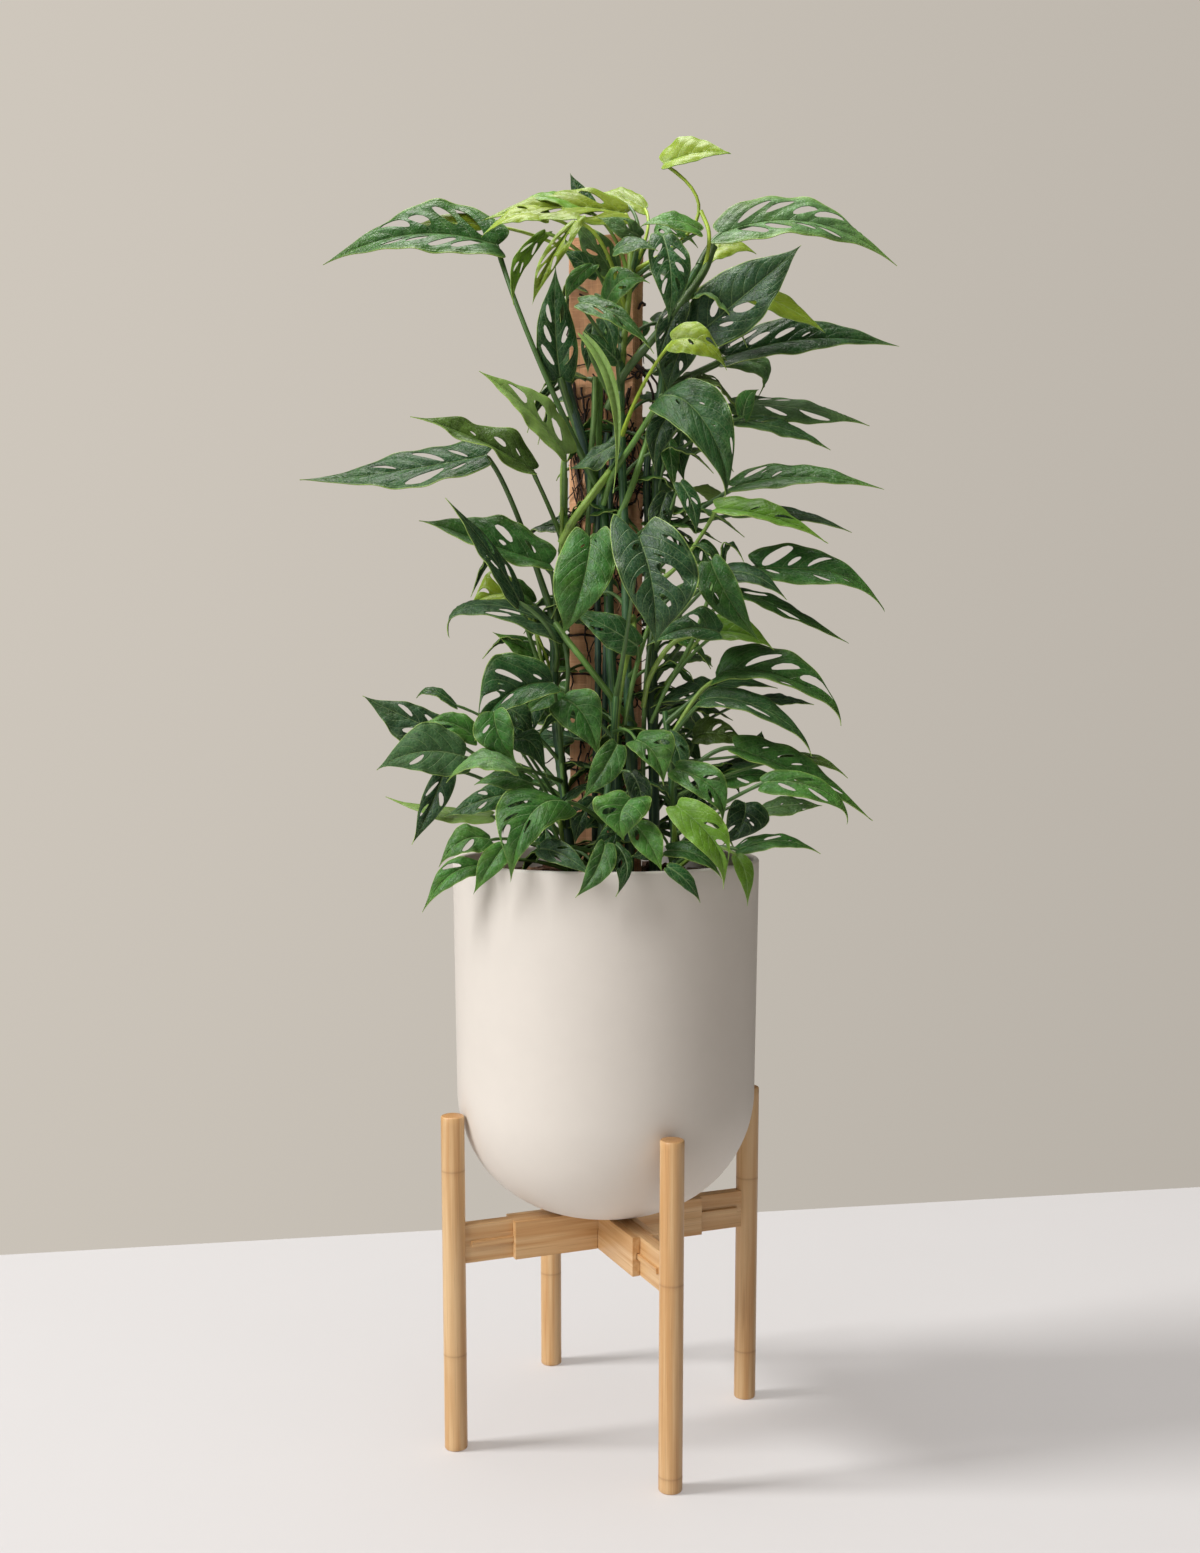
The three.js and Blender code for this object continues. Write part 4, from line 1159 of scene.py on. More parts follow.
@dataclass
class Shade:
    """Leaves on a stem's side away from the viewer; lengths are millimetres, angles degrees."""

    each: float = 26
    fan: float = 190
    wide_fan: float = 266
    behind: float = 90
    aside: float = 66
    golden: float = 0.618
    # tones are dark greens as painted shade for leaves behind; the lit ones lighter greens as painted light
    tones: tuple[Tone, ...] = (Tone.DEEP, Tone.DARK, Tone.MOSS, Tone.SLATE, Tone.MID)
    painted_lit_tones: tuple[Tone, ...] = (Tone.DARK, Tone.MOSS, Tone.GREY, Tone.MID, Tone.OLIVE)

    def leaves(self, vine: Vine, number: int) -> list[Leaf]:
        """Leaves behind a vine, in dark tones of painted shade, each turned by the golden angle from the
        last.

        A leaf's base is 30 to 75 mm and its tip another 45 to 90 mm out from the stem; both reach further
        straight behind the plank than beside it, and its width is rolled by up to 30 degrees. A vine that
        stands beside the plank turns them to its open side, in lighter tones of painted light.

        Args:
            vine: the stem that they grow on.
            number: the vine's number, which picks their sizes.

        Returns:
            The leaves, from the lowest.
        """
        low, high = vine.stem[0][1] + 60, vine.stem[-1][1] - 20
        beside = vine.stem[0][0] > 40
        fan = self.wide_fan if vine.name == "vine_back" else self.fan
        made = []
        for i in range(int((high - low) / self.each)):
            up = low + i * self.each
            chance = [hashed(number, i, k) for k in range(6)]
            share = (self.golden * i + 0.37 * number) % 1 - 0.5
            around = math.radians((self.aside if beside else self.behind) + fan * share)
            out = np.array([math.cos(around), 0.0, math.sin(around)])
            start = stem_at(vine, up)[[0, 2, 1]]
            deep = 0.5 + 0.5 * out[2]
            base = start + out * (30 + 45 * chance[0]) * deep + [0, 14 + 16 * chance[5], 0]
            length = (42 + 40 * chance[1]) * (0.7 + 0.4 * deep)
            middle = base + out * length * 0.52 + [0, 5 - 10 * chance[2], 0]
            tip = base + out * length * 0.95 + [0, -6 - 48 * chance[2] ** 1.5, 0]
            side = np.array([-out[2], 1.1 * (chance[3] - 0.5), out[0]]) * length * (0.27 + 0.1 * chance[4])
            # painted shade: dark greens behind the plank; painted light: lighter greens on the open side
            tone = (self.painted_lit_tones if beside else self.tones)[int(4.99 * chance[4])]
            rib = tuple(tuple(p.tolist()) for p in (base, middle, tip))
            made.append(Leaf(up, rib, tuple(-side), tuple(side), tone, holes=3 + int(4 * chance[2])))
        return made


@dataclass
class Foliage:
    """One vine: its blades as one piece and its stem with the leaf stalks as another."""

    vine: Vine
    number: int
    stem_sides: int = 12
    stem_step: float = 4.0
    node_reach: float = 4.0
    young_stem: float = 0.6
    stem_low: str = "2d4a39"
    stem_high: str = "41703a"
    stalk_sides: int = 8
    stalk_steps: int = 14
    keel_sides: int = 6
    keel_steps: int = 12
    warmth: Colour = (0.95, 0.87, 0.76)

    def leaves(self) -> tuple[Leaf, ...]:
        """The vine's own leaves, the small ones close to the plank, and those behind that a rule places."""
        return *self.vine.leaves, *INNER.get(self.vine.name, ()), *Shade().leaves(self.vine, self.number)

    def blades(self, finish: Material) -> Object:
        """The holed blades of the vine.

        Args:
            finish: their material.

        Returns:
            The piece.
        """
        skin = Skin()
        for index, leaf in enumerate(self.leaves()):
            light = 0.84 + 0.3 * hashed(self.number, index, 3)
            warm = np.array([0.9 + 0.16 * hashed(index, self.number), 1, 1])
            colour = np.array(linear(leaf.tone.value)) * light * warm * self.warmth
            Blade(leaf, index).add_to(skin, colour, self.number * 31 + index)
        return skin.mesh(f"{self.vine.name}_blades", finish, 50)

    def stalks(self, finish: Material) -> Object:
        """The stem with its nodes, each leaf's stalk, and the raised midrib below each blade.

        Args:
            finish: their material.

        Returns:
            The piece.
        """
        skin = Skin()
        self.add_stem(skin)
        for index, leaf in enumerate(self.leaves()):
            self.add_stalk(skin, leaf, index)
        return skin.mesh(f"{self.vine.name}_stalks", finish, 60)

    def add_stem(self, skin: Skin) -> None:
        """The stem: radius * (1 + 0.22 exp(-(distance to a node / 4 mm)^2)) along its curve.

        Args:
            skin: the mesh to add it to.
        """
        places = on_board(*self.vine.stem)
        count = int(length_of(places) / (self.stem_step * MM))
        path = catmull(places, count)
        nodes = np.array([SIGHT.to_frame(stem_at(self.vine, leaf.root)) for leaf in self.vine.leaves])
        gap = np.abs(path[:, None, 2] - nodes[None, :, 2] + 6 * MM).min(axis=1) / (self.node_reach * MM)
        node = np.exp(-gap**2)
        radii = self.vine.radius * MM * np.linspace(1.0, self.young_stem, count) * (1 + 0.22 * node)
        young = np.linspace(0, 1, count)[:, None]
        tone = (1 - young) * np.array(linear(self.stem_low)) + young * np.array(linear(self.stem_high))
        skin.add_tube(path, radii, self.stem_sides, np.arange(count) * self.stem_step, 2.0, self.number,
                      Tone=tone * (1 - 0.35 * node)[:, None])

    def add_stalk(self, skin: Skin, leaf: Leaf, index: int) -> None:
        """One leaf's stalk and the midrib's keel.

        The stalk's radius eases from 1.45 at the stem to 0.8 and back to 0.95 near the blade, times its
        own, which grows with the blade.

        Args:
            skin: the mesh to add to.
            leaf: its row.
            index: its number on the vine.
        """
        root, end = stem_at(self.vine, leaf.root), board(leaf.rib[0])
        bend = board(leaf.bend) if leaf.bend else (root + end) / 2 + np.array([0, 0, 12])
        path = bow(*(SIGHT.to_frame(p) for p in (root, bend, end)), self.stalk_steps)
        f = np.linspace(0, 1, self.stalk_steps)
        swell = np.interp(f, [0, 0.12, 0.35, 0.85, 0.95, 1], [1.45, 1.2, 0.9, 0.8, 0.95, 0.7])
        blade = Blade(leaf, index)
        radius = leaf.stalk * float(np.clip(0.62 + blade.length / 200, 0.8, 1.45))
        green = 0.25 * np.array(linear(leaf.tone.value)) + 0.75 * np.array(linear(StalkTone.of(leaf).value))
        run = f * 80 + 13 * index
        skin.add_tube(path, radius * MM * swell, self.stalk_sides, run, 1.5, index, Tone=green)
        s = np.linspace(0, 0.9, self.keel_steps)
        line, right, left = (blade.surface(s, np.full(self.keel_steps, t)) for t in (0.0, 0.12, -0.12))
        beside = right - left
        beside[0] = beside[1]
        normal = unit(np.cross(beside, np.gradient(line, axis=0)))
        keel = np.interp(s, [0, 0.05, 0.3, 0.9], [0.7 * leaf.stalk, 0.55 * leaf.stalk, 0.75, 0.3]) * MM
        below = line - normal * (keel + 0.1 * MM)[:, None]
        skin.add_tube(below, keel, self.keel_sides, s * 80, 1.5, index, Tone=green * 1.1)


@dataclass(frozen=True)
class Shoot:
    """A stem or stalk that climbs with the others before the plank, through places on the board."""

    radius: float
    tone: StalkTone
    places: tuple[Place, ...]
    knob: float = 0.0


@dataclass
class Shoots:
    """The bundle of stems and crossing stalks that is tied close to the plank."""

    sides: int = 12
    step: float = 4
    spacing: float = 62
    stem_from: float = 3

    def build(self, finish: Material) -> Object:
        """All shoots in one piece, the stems with nodes along them, and some with a knob on top.

        Args:
            finish: their material.

        Returns:
            The piece.
        """
        skin = Skin()
        for serial, shoot in enumerate(SHOOTS):
            places = on_board(*shoot.places)
            length = length_of(places) / MM
            count = max(10, int(length / self.step))
            run = np.linspace(0, length, count)
            node = np.exp(-(((run + 23 * serial) % self.spacing - self.spacing / 2) / 3) ** 2)
            node *= shoot.radius > self.stem_from
            knob = shoot.knob * np.exp(-((length - 5 - run) / 7) ** 2)
            tone = np.array(linear(shoot.tone.value)) * (0.9 + 0.25 * hashed(serial, 5))
            skin.add_tube(catmull(places, count), shoot.radius * MM * (1 + 0.2 * node + knob), self.sides,
                          run, 2.0, serial * 1.3, Tone=tone * (1 - 0.3 * node)[:, None])
        return skin.mesh("shoots", finish, 60)


@dataclass(frozen=True)
class Root:
    """An aerial root: its radius in millimetres and places (across, up, lift off the plank or depth)."""

    radius: float
    places: tuple[Place, ...]
    on_plank: bool = True


@dataclass
class AerialRoots:
    """The dark roots that grope along and round the plank."""

    plank: Plank
    sides: int = 7
    step: float = 3.0
    bundles: int = 46
    thicket: int = 26
    high_ties: int = 11
    low_ties: int = 5
    wraps: int = 34
    wrap_from: float = 620
    wrap_over: float = 520

    def build(self, finish: Material) -> Object:
        """All roots in one piece: those with a place of their own, the strands, the ties and the wraps.

        Args:
            finish: their material.

        Returns:
            The piece.
        """
        skin = Skin()
        for serial, root in enumerate((*ROOTS, *self.strands(), *self.ties())):
            if root.on_plank:
                places = np.array([self.plank.before(*place) for place in root.places])
            else:
                places = on_board(*root.places)
            self.add(skin, places, root.radius, serial)
        for i in range(self.wraps):
            f = np.linspace(0, 1, 24)
            turn = 2 * math.pi * hashed(i, 11) + (2.2 + 2.6 * hashed(i, 12)) * f
            start = self.wrap_from + self.wrap_over * (i + hashed(i, 13)) / self.wraps
            up = start + (110 * hashed(i, 14) - 55) * f + 5 * np.sin(9 * f + i)
            self.add(skin, self.plank.around(turn, up, 1.4), 0.7 + 0.8 * hashed(i, 15), i)
        return skin.mesh("aerial_roots", finish, 60)

    def strands(self) -> list[Root]:
        """Short wandering strands down the plank's front, with a thicket of them near its middle.

        Returns:
            The roots, as rows like those of ROOTS.
        """
        made = []
        for i in range(self.bundles + self.thicket):
            spread = 640 + 440 * (i + hashed(i, 1)) / self.bundles
            up = spread if i < self.bundles else 900 + 150 * hashed(i, 1)
            across, drop, sway = -30 + 56 * hashed(i, 2), 20 + 60 * hashed(i, 3), 26 * (hashed(i, 4) - 0.5)
            f = np.linspace(0, 1, 5)
            lift = 1.2 + 3 * np.sin(3 * f + i) ** 2
            places = np.stack([across + sway * f + 5 * np.sin(5 * f + i), up - drop * f, lift], axis=1)
            made.append(Root(0.7 + 0.8 * hashed(i, 5) ** 2, tuple(map(tuple, places))))
        return made

    def ties(self) -> list[Root]:
        """Thin roots that cross the plank from side to side and bow out over the stems.

        Returns:
            The roots, as rows like those of ROOTS.
        """
        made = []
        for i in range(self.high_ties + self.low_ties):
            up = 918 + 42 * hashed(i, 6) if i < self.high_ties else 700 + 120 * hashed(i, 6)
            start, slope = -12 + 18 * hashed(i, 7), 30 * (hashed(i, 8) - 0.5)
            f = np.linspace(0, 1, 6)
            rise = up + slope * f + 5 * np.sin(7 * f + i)
            places = np.stack([start + 44 * f, rise, 2 + 9 * np.sin(math.pi * f)], axis=1)
            made.append(Root(0.55 + 0.5 * hashed(i, 9), tuple(map(tuple, places))))
        return made

    def add(self, skin: Skin, places: Array, radius: float, serial: int) -> None:
        """One root: a smooth curve through its places that wavers by a fraction of a millimetre.

        Args:
            skin: the mesh to add to.
            places: (N, 3) in metres.
            radius: its radius in millimetres.
            serial: its own number.
        """
        length = length_of(places) / MM
        count = max(10, int(length / self.step))
        f = np.linspace(0, 1, count)
        run = f * length
        waver = 0.35 * MM * np.stack([np.sin(run * 0.5 + serial), np.cos(run * 0.43 + 2 * serial),
                                      np.sin(run * 0.37 + 3 * serial)], axis=1)
        radii = radius * MM * (1 - 0.55 * f**2) * (1 + 0.12 * np.sin(run * 0.9 + serial))
        skin.add_tube(catmull(places, count) + waver, radii, self.sides, run, 1.3, serial * 1.7)


# ---------------------------------------------------------------- plank, pot and soil


def box_corners(node: str) -> tuple[Place, Place]:
    """A node's lowest and highest corners at rest, in millimetres to a tenth."""
    low, high = (tuple(round(value / MM, 1) for value in corner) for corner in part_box(node))
    return low, high


@dataclass
class Plank:
    """The sawn plank that the plant climbs, standing in the soil; lengths are millimetres."""

    bottom: float = box_corners("plank")[0][2]
    top: float = box_corners("plank")[1][2]
    width: float = 67
    thick: float = 28
    turn: float = math.radians(-42.1)
    edge: float = 1.5
    step: float = 3.0
    outline_step: float = 4.0
    saw_depth: float = 0.2
    saw_rate: float = 1.55
    waver: float = 0.35

    def axes(self) -> tuple[Array, Array]:
        """Its width's and its thickness's directions in the frame, the latter away from the viewer."""
        return np.array([*spun(1, 0, self.turn), 0.0]), np.array([*spun(0, 1, self.turn), 0.0])

    def before(self, across: float, up: float, lift: float) -> Array:
        """The point before the plank's front that is seen at a place of the board.

        Args:
            across: its place on the board.
            up: its height on the board.
            lift: millimetres off the wood.

        Returns:
            The point in metres.
        """
        near, far = SIGHT.to_frame(np.array([[across, -100.0, up], [across, 100.0, up]]))
        depth = self.axes()[1]
        goal = -(self.thick / 2 + lift) * MM
        share = (goal - near @ depth) / ((far - near) @ depth)
        return near + (far - near) * share

    def around(self, turn: Array, up: Array, lift: float) -> Array:
        """Points lift mm off its sides: each half side times the square root of 2 cos or sin, held at 1.

        Args:
            turn: (N,) angles round the plank, in radians.
            up: (N,) heights in millimetres.
            lift: distance from the wood in millimetres.

        Returns:
            (N, 3) in metres.
        """
        across, depth = self.axes()
        x, y = (np.clip(math.sqrt(2) * f(turn), -1, 1)[:, None] for f in (np.cos, np.sin))
        flat = x * (self.width / 2 + lift) * across + y * (self.thick / 2 + lift) * depth
        return (flat + up[:, None] * [0, 0, 1]) * MM

    def build(self, finish: Material) -> Object:
        """The plank: its section carried up, with saw marks and a slow waver of its faces.

        The saw marks are sine ridges every 4 mm of height, broken up along the face by slower sines.

        Args:
            finish: its wood.

        Returns:
            The piece.
        """
        outline = self.outline(self.width / 2, self.thick / 2)
        rows, columns = int((self.top - self.bottom) / self.step) + 1, len(outline)
        x, y = (np.broadcast_to(outline[:, i], (rows, columns)) for i in (0, 1))
        h = np.broadcast_to(np.linspace(self.bottom, self.top, rows)[:, None], x.shape)
        phase = h * self.saw_rate + 0.9 * np.sin(x * 0.11) + 0.4 * np.sin(h * 0.13)
        saw = self.saw_depth * np.sin(phase) * (0.6 + 0.4 * np.sin(h * 0.037 + x * 0.05))
        slow = self.waver * np.sin(h * 0.021 + 1) * np.sin(x * 0.07 + y * 0.1 + h * 0.004) - 0.25
        grow = 1 + (saw + slow) / np.maximum(np.hypot(x, y), 8)
        across, depth = self.axes()
        points = (x * grow)[..., None] * across + (y * grow)[..., None] * depth + h[..., None] * [0, 0, 1]
        sawn = np.stack([h, x, y], axis=-1).reshape(-1, 3)
        skin = Skin()
        skin.add(points.reshape(-1, 3) * MM, stacked(rows, columns), Sawn=sawn)
        return skin.mesh("plank_fine", finish, 35)

    def outline(self, wide: float, deep: float) -> Array:
        """Its section, anticlockwise from above, with points every few millimetres and eased corners.

        Args:
            wide: half its width.
            deep: half its thickness.

        Returns:
            (N, 2) in millimetres.
        """
        x, y = wide - self.edge, deep - self.edge
        ring = np.array([[wide, -y], [wide, y], [x, deep], [-x, deep],
                         [-wide, y], [-wide, -y], [-x, -deep], [x, -deep]])
        sides = []
        for a, b in zip(ring, np.roll(ring, -1, axis=0)):
            count = max(1, int(np.linalg.norm(b - a) / self.outline_step))
            sides.append(a + (b - a) * (np.arange(count) / count)[:, None])
        return np.concatenate(sides)


@dataclass
class Pot:
    """The round-bottomed pot, open above, with the potting mix in it; lengths are millimetres.

    foot is the radius where the wall starts to rise nearly straight, corner the height of the rounding
    below it, flat the radius of the underside, and below how far the mix stays under the rim.
    """

    rim: float = box_corners("pot")[1][0]
    bottom: float = box_corners("pot")[0][2]
    top: float = box_corners("pot")[1][2]
    foot: float = 150.4
    corner: float = 125
    flat: float = 27
    wall: float = 6
    lip: float = 3
    gap: float = 0.3
    below: float = 26
    sides: int = 160
    soil_sides: int = 120
    soil_rings: int = 40
    mound: float = 9
    chips: int = 420
    chips_to: float = 138

    def side(self, offset: float) -> Array:
        """The wall's profile inside its outer face: flat, a quarter of an ellipse, then nearly straight up.

        Args:
            offset: how far inside the outer face, in millimetres.

        Returns:
            (N, 2) of radius and height from the axis up to where the lip starts.
        """
        angle = np.linspace(0, np.pi / 2, 26)
        across = self.flat + (self.foot - self.flat - offset) * np.sin(angle)
        height = self.bottom + offset + (self.corner - offset) * (1 - np.cos(angle))
        up = np.linspace(0, 1, 12)[1:]
        straight = np.stack([across[-1] + (self.rim - offset - across[-1]) * up,
                             height[-1] + (self.top - self.lip - height[-1]) * up], axis=1)
        return np.concatenate([[[0, self.bottom + offset]], np.stack([across, height], axis=1), straight])

    def build(self, finish: Material) -> Object:
        """The pot's wall turned about its axis, with a rounded lip.

        Args:
            finish: its glaze.

        Returns:
            The piece.
        """
        angle = np.linspace(0, np.pi, 9)[1:-1]
        across = self.rim - self.wall / 2 + self.wall / 2 * np.cos(angle)
        lip = np.stack([across, self.top - self.lip + self.lip * np.sin(angle)], axis=1)
        profile = np.concatenate([self.side(0), lip, self.side(self.wall)[::-1]]) * MM
        skin = Skin()
        skin.add(*turned(profile, self.sides))
        return skin.mesh("pot_fine", finish, 30)

    def soil(self, finish: Material) -> Object:
        """The potting mix: the pot's inside, with a lumpy mound above and chips of bark lying in it.

        Args:
            finish: its material.

        Returns:
            The piece.
        """
        surface = self.top - self.below
        wall = self.side(self.wall + self.gap)[:-1]
        edge = self.rim - self.wall - self.gap - 0.4
        body = np.concatenate([wall[wall[:, 1] < surface - 8], [[edge, surface]]])
        rings = np.linspace(edge, 0, self.soil_rings)[1:]
        profile = np.concatenate([body, np.stack([rings, np.full(len(rings), surface)], axis=1)])
        points, faces = turned(profile, self.soil_sides)
        upper = points[:, 2] > surface - 1
        points[upper, 2] += self.rise(points[upper, 0], points[upper, 1])
        skin = Skin()
        skin.add(points * MM, faces, Chip=np.zeros(3))
        self.add_chips(skin, surface)
        return skin.mesh("soil_fine", finish, 50)

    def rise(self, x: Array, y: Array) -> Array:
        """The mound (1 - r^2 / rim^2 of its height), slow lumps, and crumbs: products of quick sines.

        Args:
            x: places along X in millimetres.
            y: places along Y.

        Returns:
            Heights over the edge.
        """
        u, v = spun(x, y, -SIGHT.turn)
        mound = self.mound * (1 - (u * u + v * v) / self.rim**2)
        lumps = 2.2 * np.sin(u / 17 + 1) * np.cos(v / 14) + 1.4 * np.sin((u + 2 * v) / 23)
        crumbs = 0.9 * np.sin(u / 2.9 + 1.3 * np.sin(v / 4.1)) * np.sin(v / 3.3 + 1.7 * np.sin(u / 5.3))
        return mound + lumps + crumbs - 0.9

    def add_chips(self, skin: Skin, surface: float) -> None:
        """Bark chips: flattened lumps with eight corners, half sunk in the mix at seeded places.

        Args:
            skin: the mesh to add them to.
            surface: the mix's height at the wall, in millimetres.
        """
        picks = np.random.default_rng(7)
        cube = np.array([[x, y, z] for z in (-1, 1) for y in (-1, 1) for x in (-1, 1)], dtype=float)
        faces = np.array([[0, 2, 3, 1], [4, 5, 7, 6], [0, 1, 5, 4],
                          [2, 6, 7, 3], [0, 4, 6, 2], [1, 3, 7, 5]])
        for _ in range(self.chips):
            r, around = self.chips_to * math.sqrt(picks.random()), 2 * math.pi * picks.random()
            x, y = r * math.cos(around), r * math.sin(around)
            size = np.array([3 + 5 * picks.random(), 2 + 3 * picks.random(), 1.0 + 1.4 * picks.random()])
            lump = (cube + picks.uniform(-0.35, 0.35, cube.shape)) * size
            spin, tip = 2 * math.pi * picks.random(), picks.uniform(-0.5, 0.5)
            lump[:, 2] += lump[:, 0] * tip
            u, v = spun(lump[:, 0], lump[:, 1], spin)
            z = surface + float(self.rise(np.array(x), np.array(y))) + 0.5
            skin.add(np.stack([u + x, v + y, lump[:, 2] + z], axis=1) * MM, [faces],
                     Chip=np.array([0.3 + 0.7 * picks.random(), picks.random(), 0.0]))


# ---------------------------------------------------------------- stand


class Grain(Enum):
    """The direction in which a piece's bamboo fibres run, as the order of x, y and z."""

    UP = (2, 0, 1)
    ACROSS = (0, 1, 2)
    BACK = (1, 0, 2)


@dataclass
class BambooStand:
    """Four round legs, each with its sliding bar, and two pairs of grooved slats in a cross.

    Lengths are millimetres; knots are the heights of each leg's nodes, from the right leg anticlockwise.
    """

    radius: float = box_corners("leg_right")[1][1]
    height: float = box_corners("leg_right")[1][2]
    ring: float = (box_corners("leg_right")[0][0] + box_corners("leg_right")[1][0]) / 2
    chamfer: float = 1.5
    sides: int = 40
    ease: float = 0.5
    knots: tuple[tuple[float, ...], ...] = ((52, 243), (106, 297), (98, 286), (14, 203))

    def build(self, finishes: dict[Grain, Material]) -> None:
        """Makes every piece and lets it ride on its own body.

        Args:
            finishes: the bamboo for each direction of its fibres.
        """
        for quarter, (side, knots) in enumerate(zip(("right", "back", "left", "front"), self.knots)):
            leg = self.leg(f"leg_{side}_fine", finishes[Grain.UP], quarter * math.pi / 2, knots)
            settle(leg, f"arm_{side}", f"leg_{side}")
            grain = Grain.BACK if quarter % 2 else Grain.ACROSS
            settle(self.eased(f"bar_{side}", finishes[grain]), f"arm_{side}", f"bar_{side}")
        for name in ("slat_x_back", "slat_x_front", "slat_y_left", "slat_y_right"):
            grain = Grain.BACK if "_y_" in name else Grain.ACROSS
            settle(self.eased(name, finishes[grain]), "base", name)

    def leg(self, name: str, finish: Material, turn: float, knots: tuple[float, ...]) -> Object:
        """One leg: a straight profile with eased ends, turned about its own axis.

        At each knot the radius grows by 0.12 exp(-(dz / 2.2)^2), less 0.09 in a fine groove above it.

        Args:
            name: the piece's name.
            finish: its bamboo.
            turn: its arm's turn from +X, in radians.
            knots: heights of the bamboo's nodes.

        Returns:
            The piece.
        """
        z = np.unique(np.concatenate([np.arange(6, self.height - 5, 8.0),
                                      *[k + np.arange(-5, 5.1, 0.8) for k in knots]]))
        radius, ring = np.full(len(z), self.radius), np.zeros(len(z))
        for k in knots:
            radius += 0.12 * np.exp(-(((z - k) / 2.2) ** 2)) - 0.09 * np.exp(-(((z - k - 1.2) / 0.7) ** 2))
            ring += np.exp(-(((z - k - 1.0) / 0.9) ** 2)) + 0.3 * np.exp(-(((z - k) / 4) ** 2))
        r, c, top = self.radius, self.chamfer, self.height
        low = np.array([[0, 0], [r - c, 0], [r - 0.4 * c, 0.3 * c], [r, c]])
        high = np.array([[r, top - c], [r - 0.4 * c, top - 0.3 * c], [r - c, top],
                         [0.4 * r, top], [0, top]])
        profile = np.concatenate([low, np.stack([radius, z], axis=1), high])
        mask = np.concatenate([np.zeros(len(low)), ring, np.zeros(len(high))])
        end = np.concatenate([[1, 1, 0.2, 0], np.zeros(len(z)), [0, 0.2, 1, 1, 1]])
        points, faces = turned(profile, self.sides)
        body = np.repeat(np.stack([mask, end, np.zeros(len(mask))], axis=1)[1:-1], self.sides, axis=0)
        points[:, 0] += self.ring * math.cos(turn)
        points[:, 1] += self.ring * math.sin(turn)
        skin = Skin()
        skin.add(points * MM, faces, Knot=np.concatenate([body, [[0, 1, 0], [0, 1, 0]]]))
        return skin.mesh(name, finish, 35)

    def eased(self, node: str, finish: Material) -> Object:
        """A bar or slat with its edges eased.

        Args:
            node: the node that it is made from.
            finish: its bamboo.

        Returns:
            The piece.
        """
        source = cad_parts[node]
        mesh = bmesh.new()
        mesh.from_mesh(source.data)
        mesh.transform(source.matrix_world)
        bmesh.ops.remove_doubles(mesh, verts=mesh.verts, dist=1e-5)
        bmesh.ops.dissolve_limit(mesh, angle_limit=math.radians(1), verts=mesh.verts, edges=mesh.edges)
        made = bpy.data.meshes.new(f"{node}_fine")
        mesh.to_mesh(made)
        mesh.free()
        made.materials.clear()
        made.materials.append(finish)
        piece = shown(f"{node}_fine", made)
        bevel = piece.modifiers.new("eased edges", "BEVEL")
        bevel.width, bevel.segments, bevel.limit_method = self.ease * MM, 2, "ANGLE"
        bevel.angle_limit = math.radians(30)
        return piece


# ---------------------------------------------------------------- finishes


def material(name: str) -> tuple[Material, Graph, bpy.types.Node]:
    """A new material with nothing in it but its shader.

    Args:
        name: its name.

    Returns:
        The material, its wiring and its one shader.
    """
    made = bpy.data.materials.new(name)
    made.use_nodes = True
    tree = made.node_tree
    tree.nodes.clear()
    graph = Graph(tree)
    shader = graph.node("ShaderNodeBsdfPrincipled")
    output = graph.node("ShaderNodeOutputMaterial")
    tree.links.new(shader.outputs[0], output.inputs[0])
    return made, graph, shader


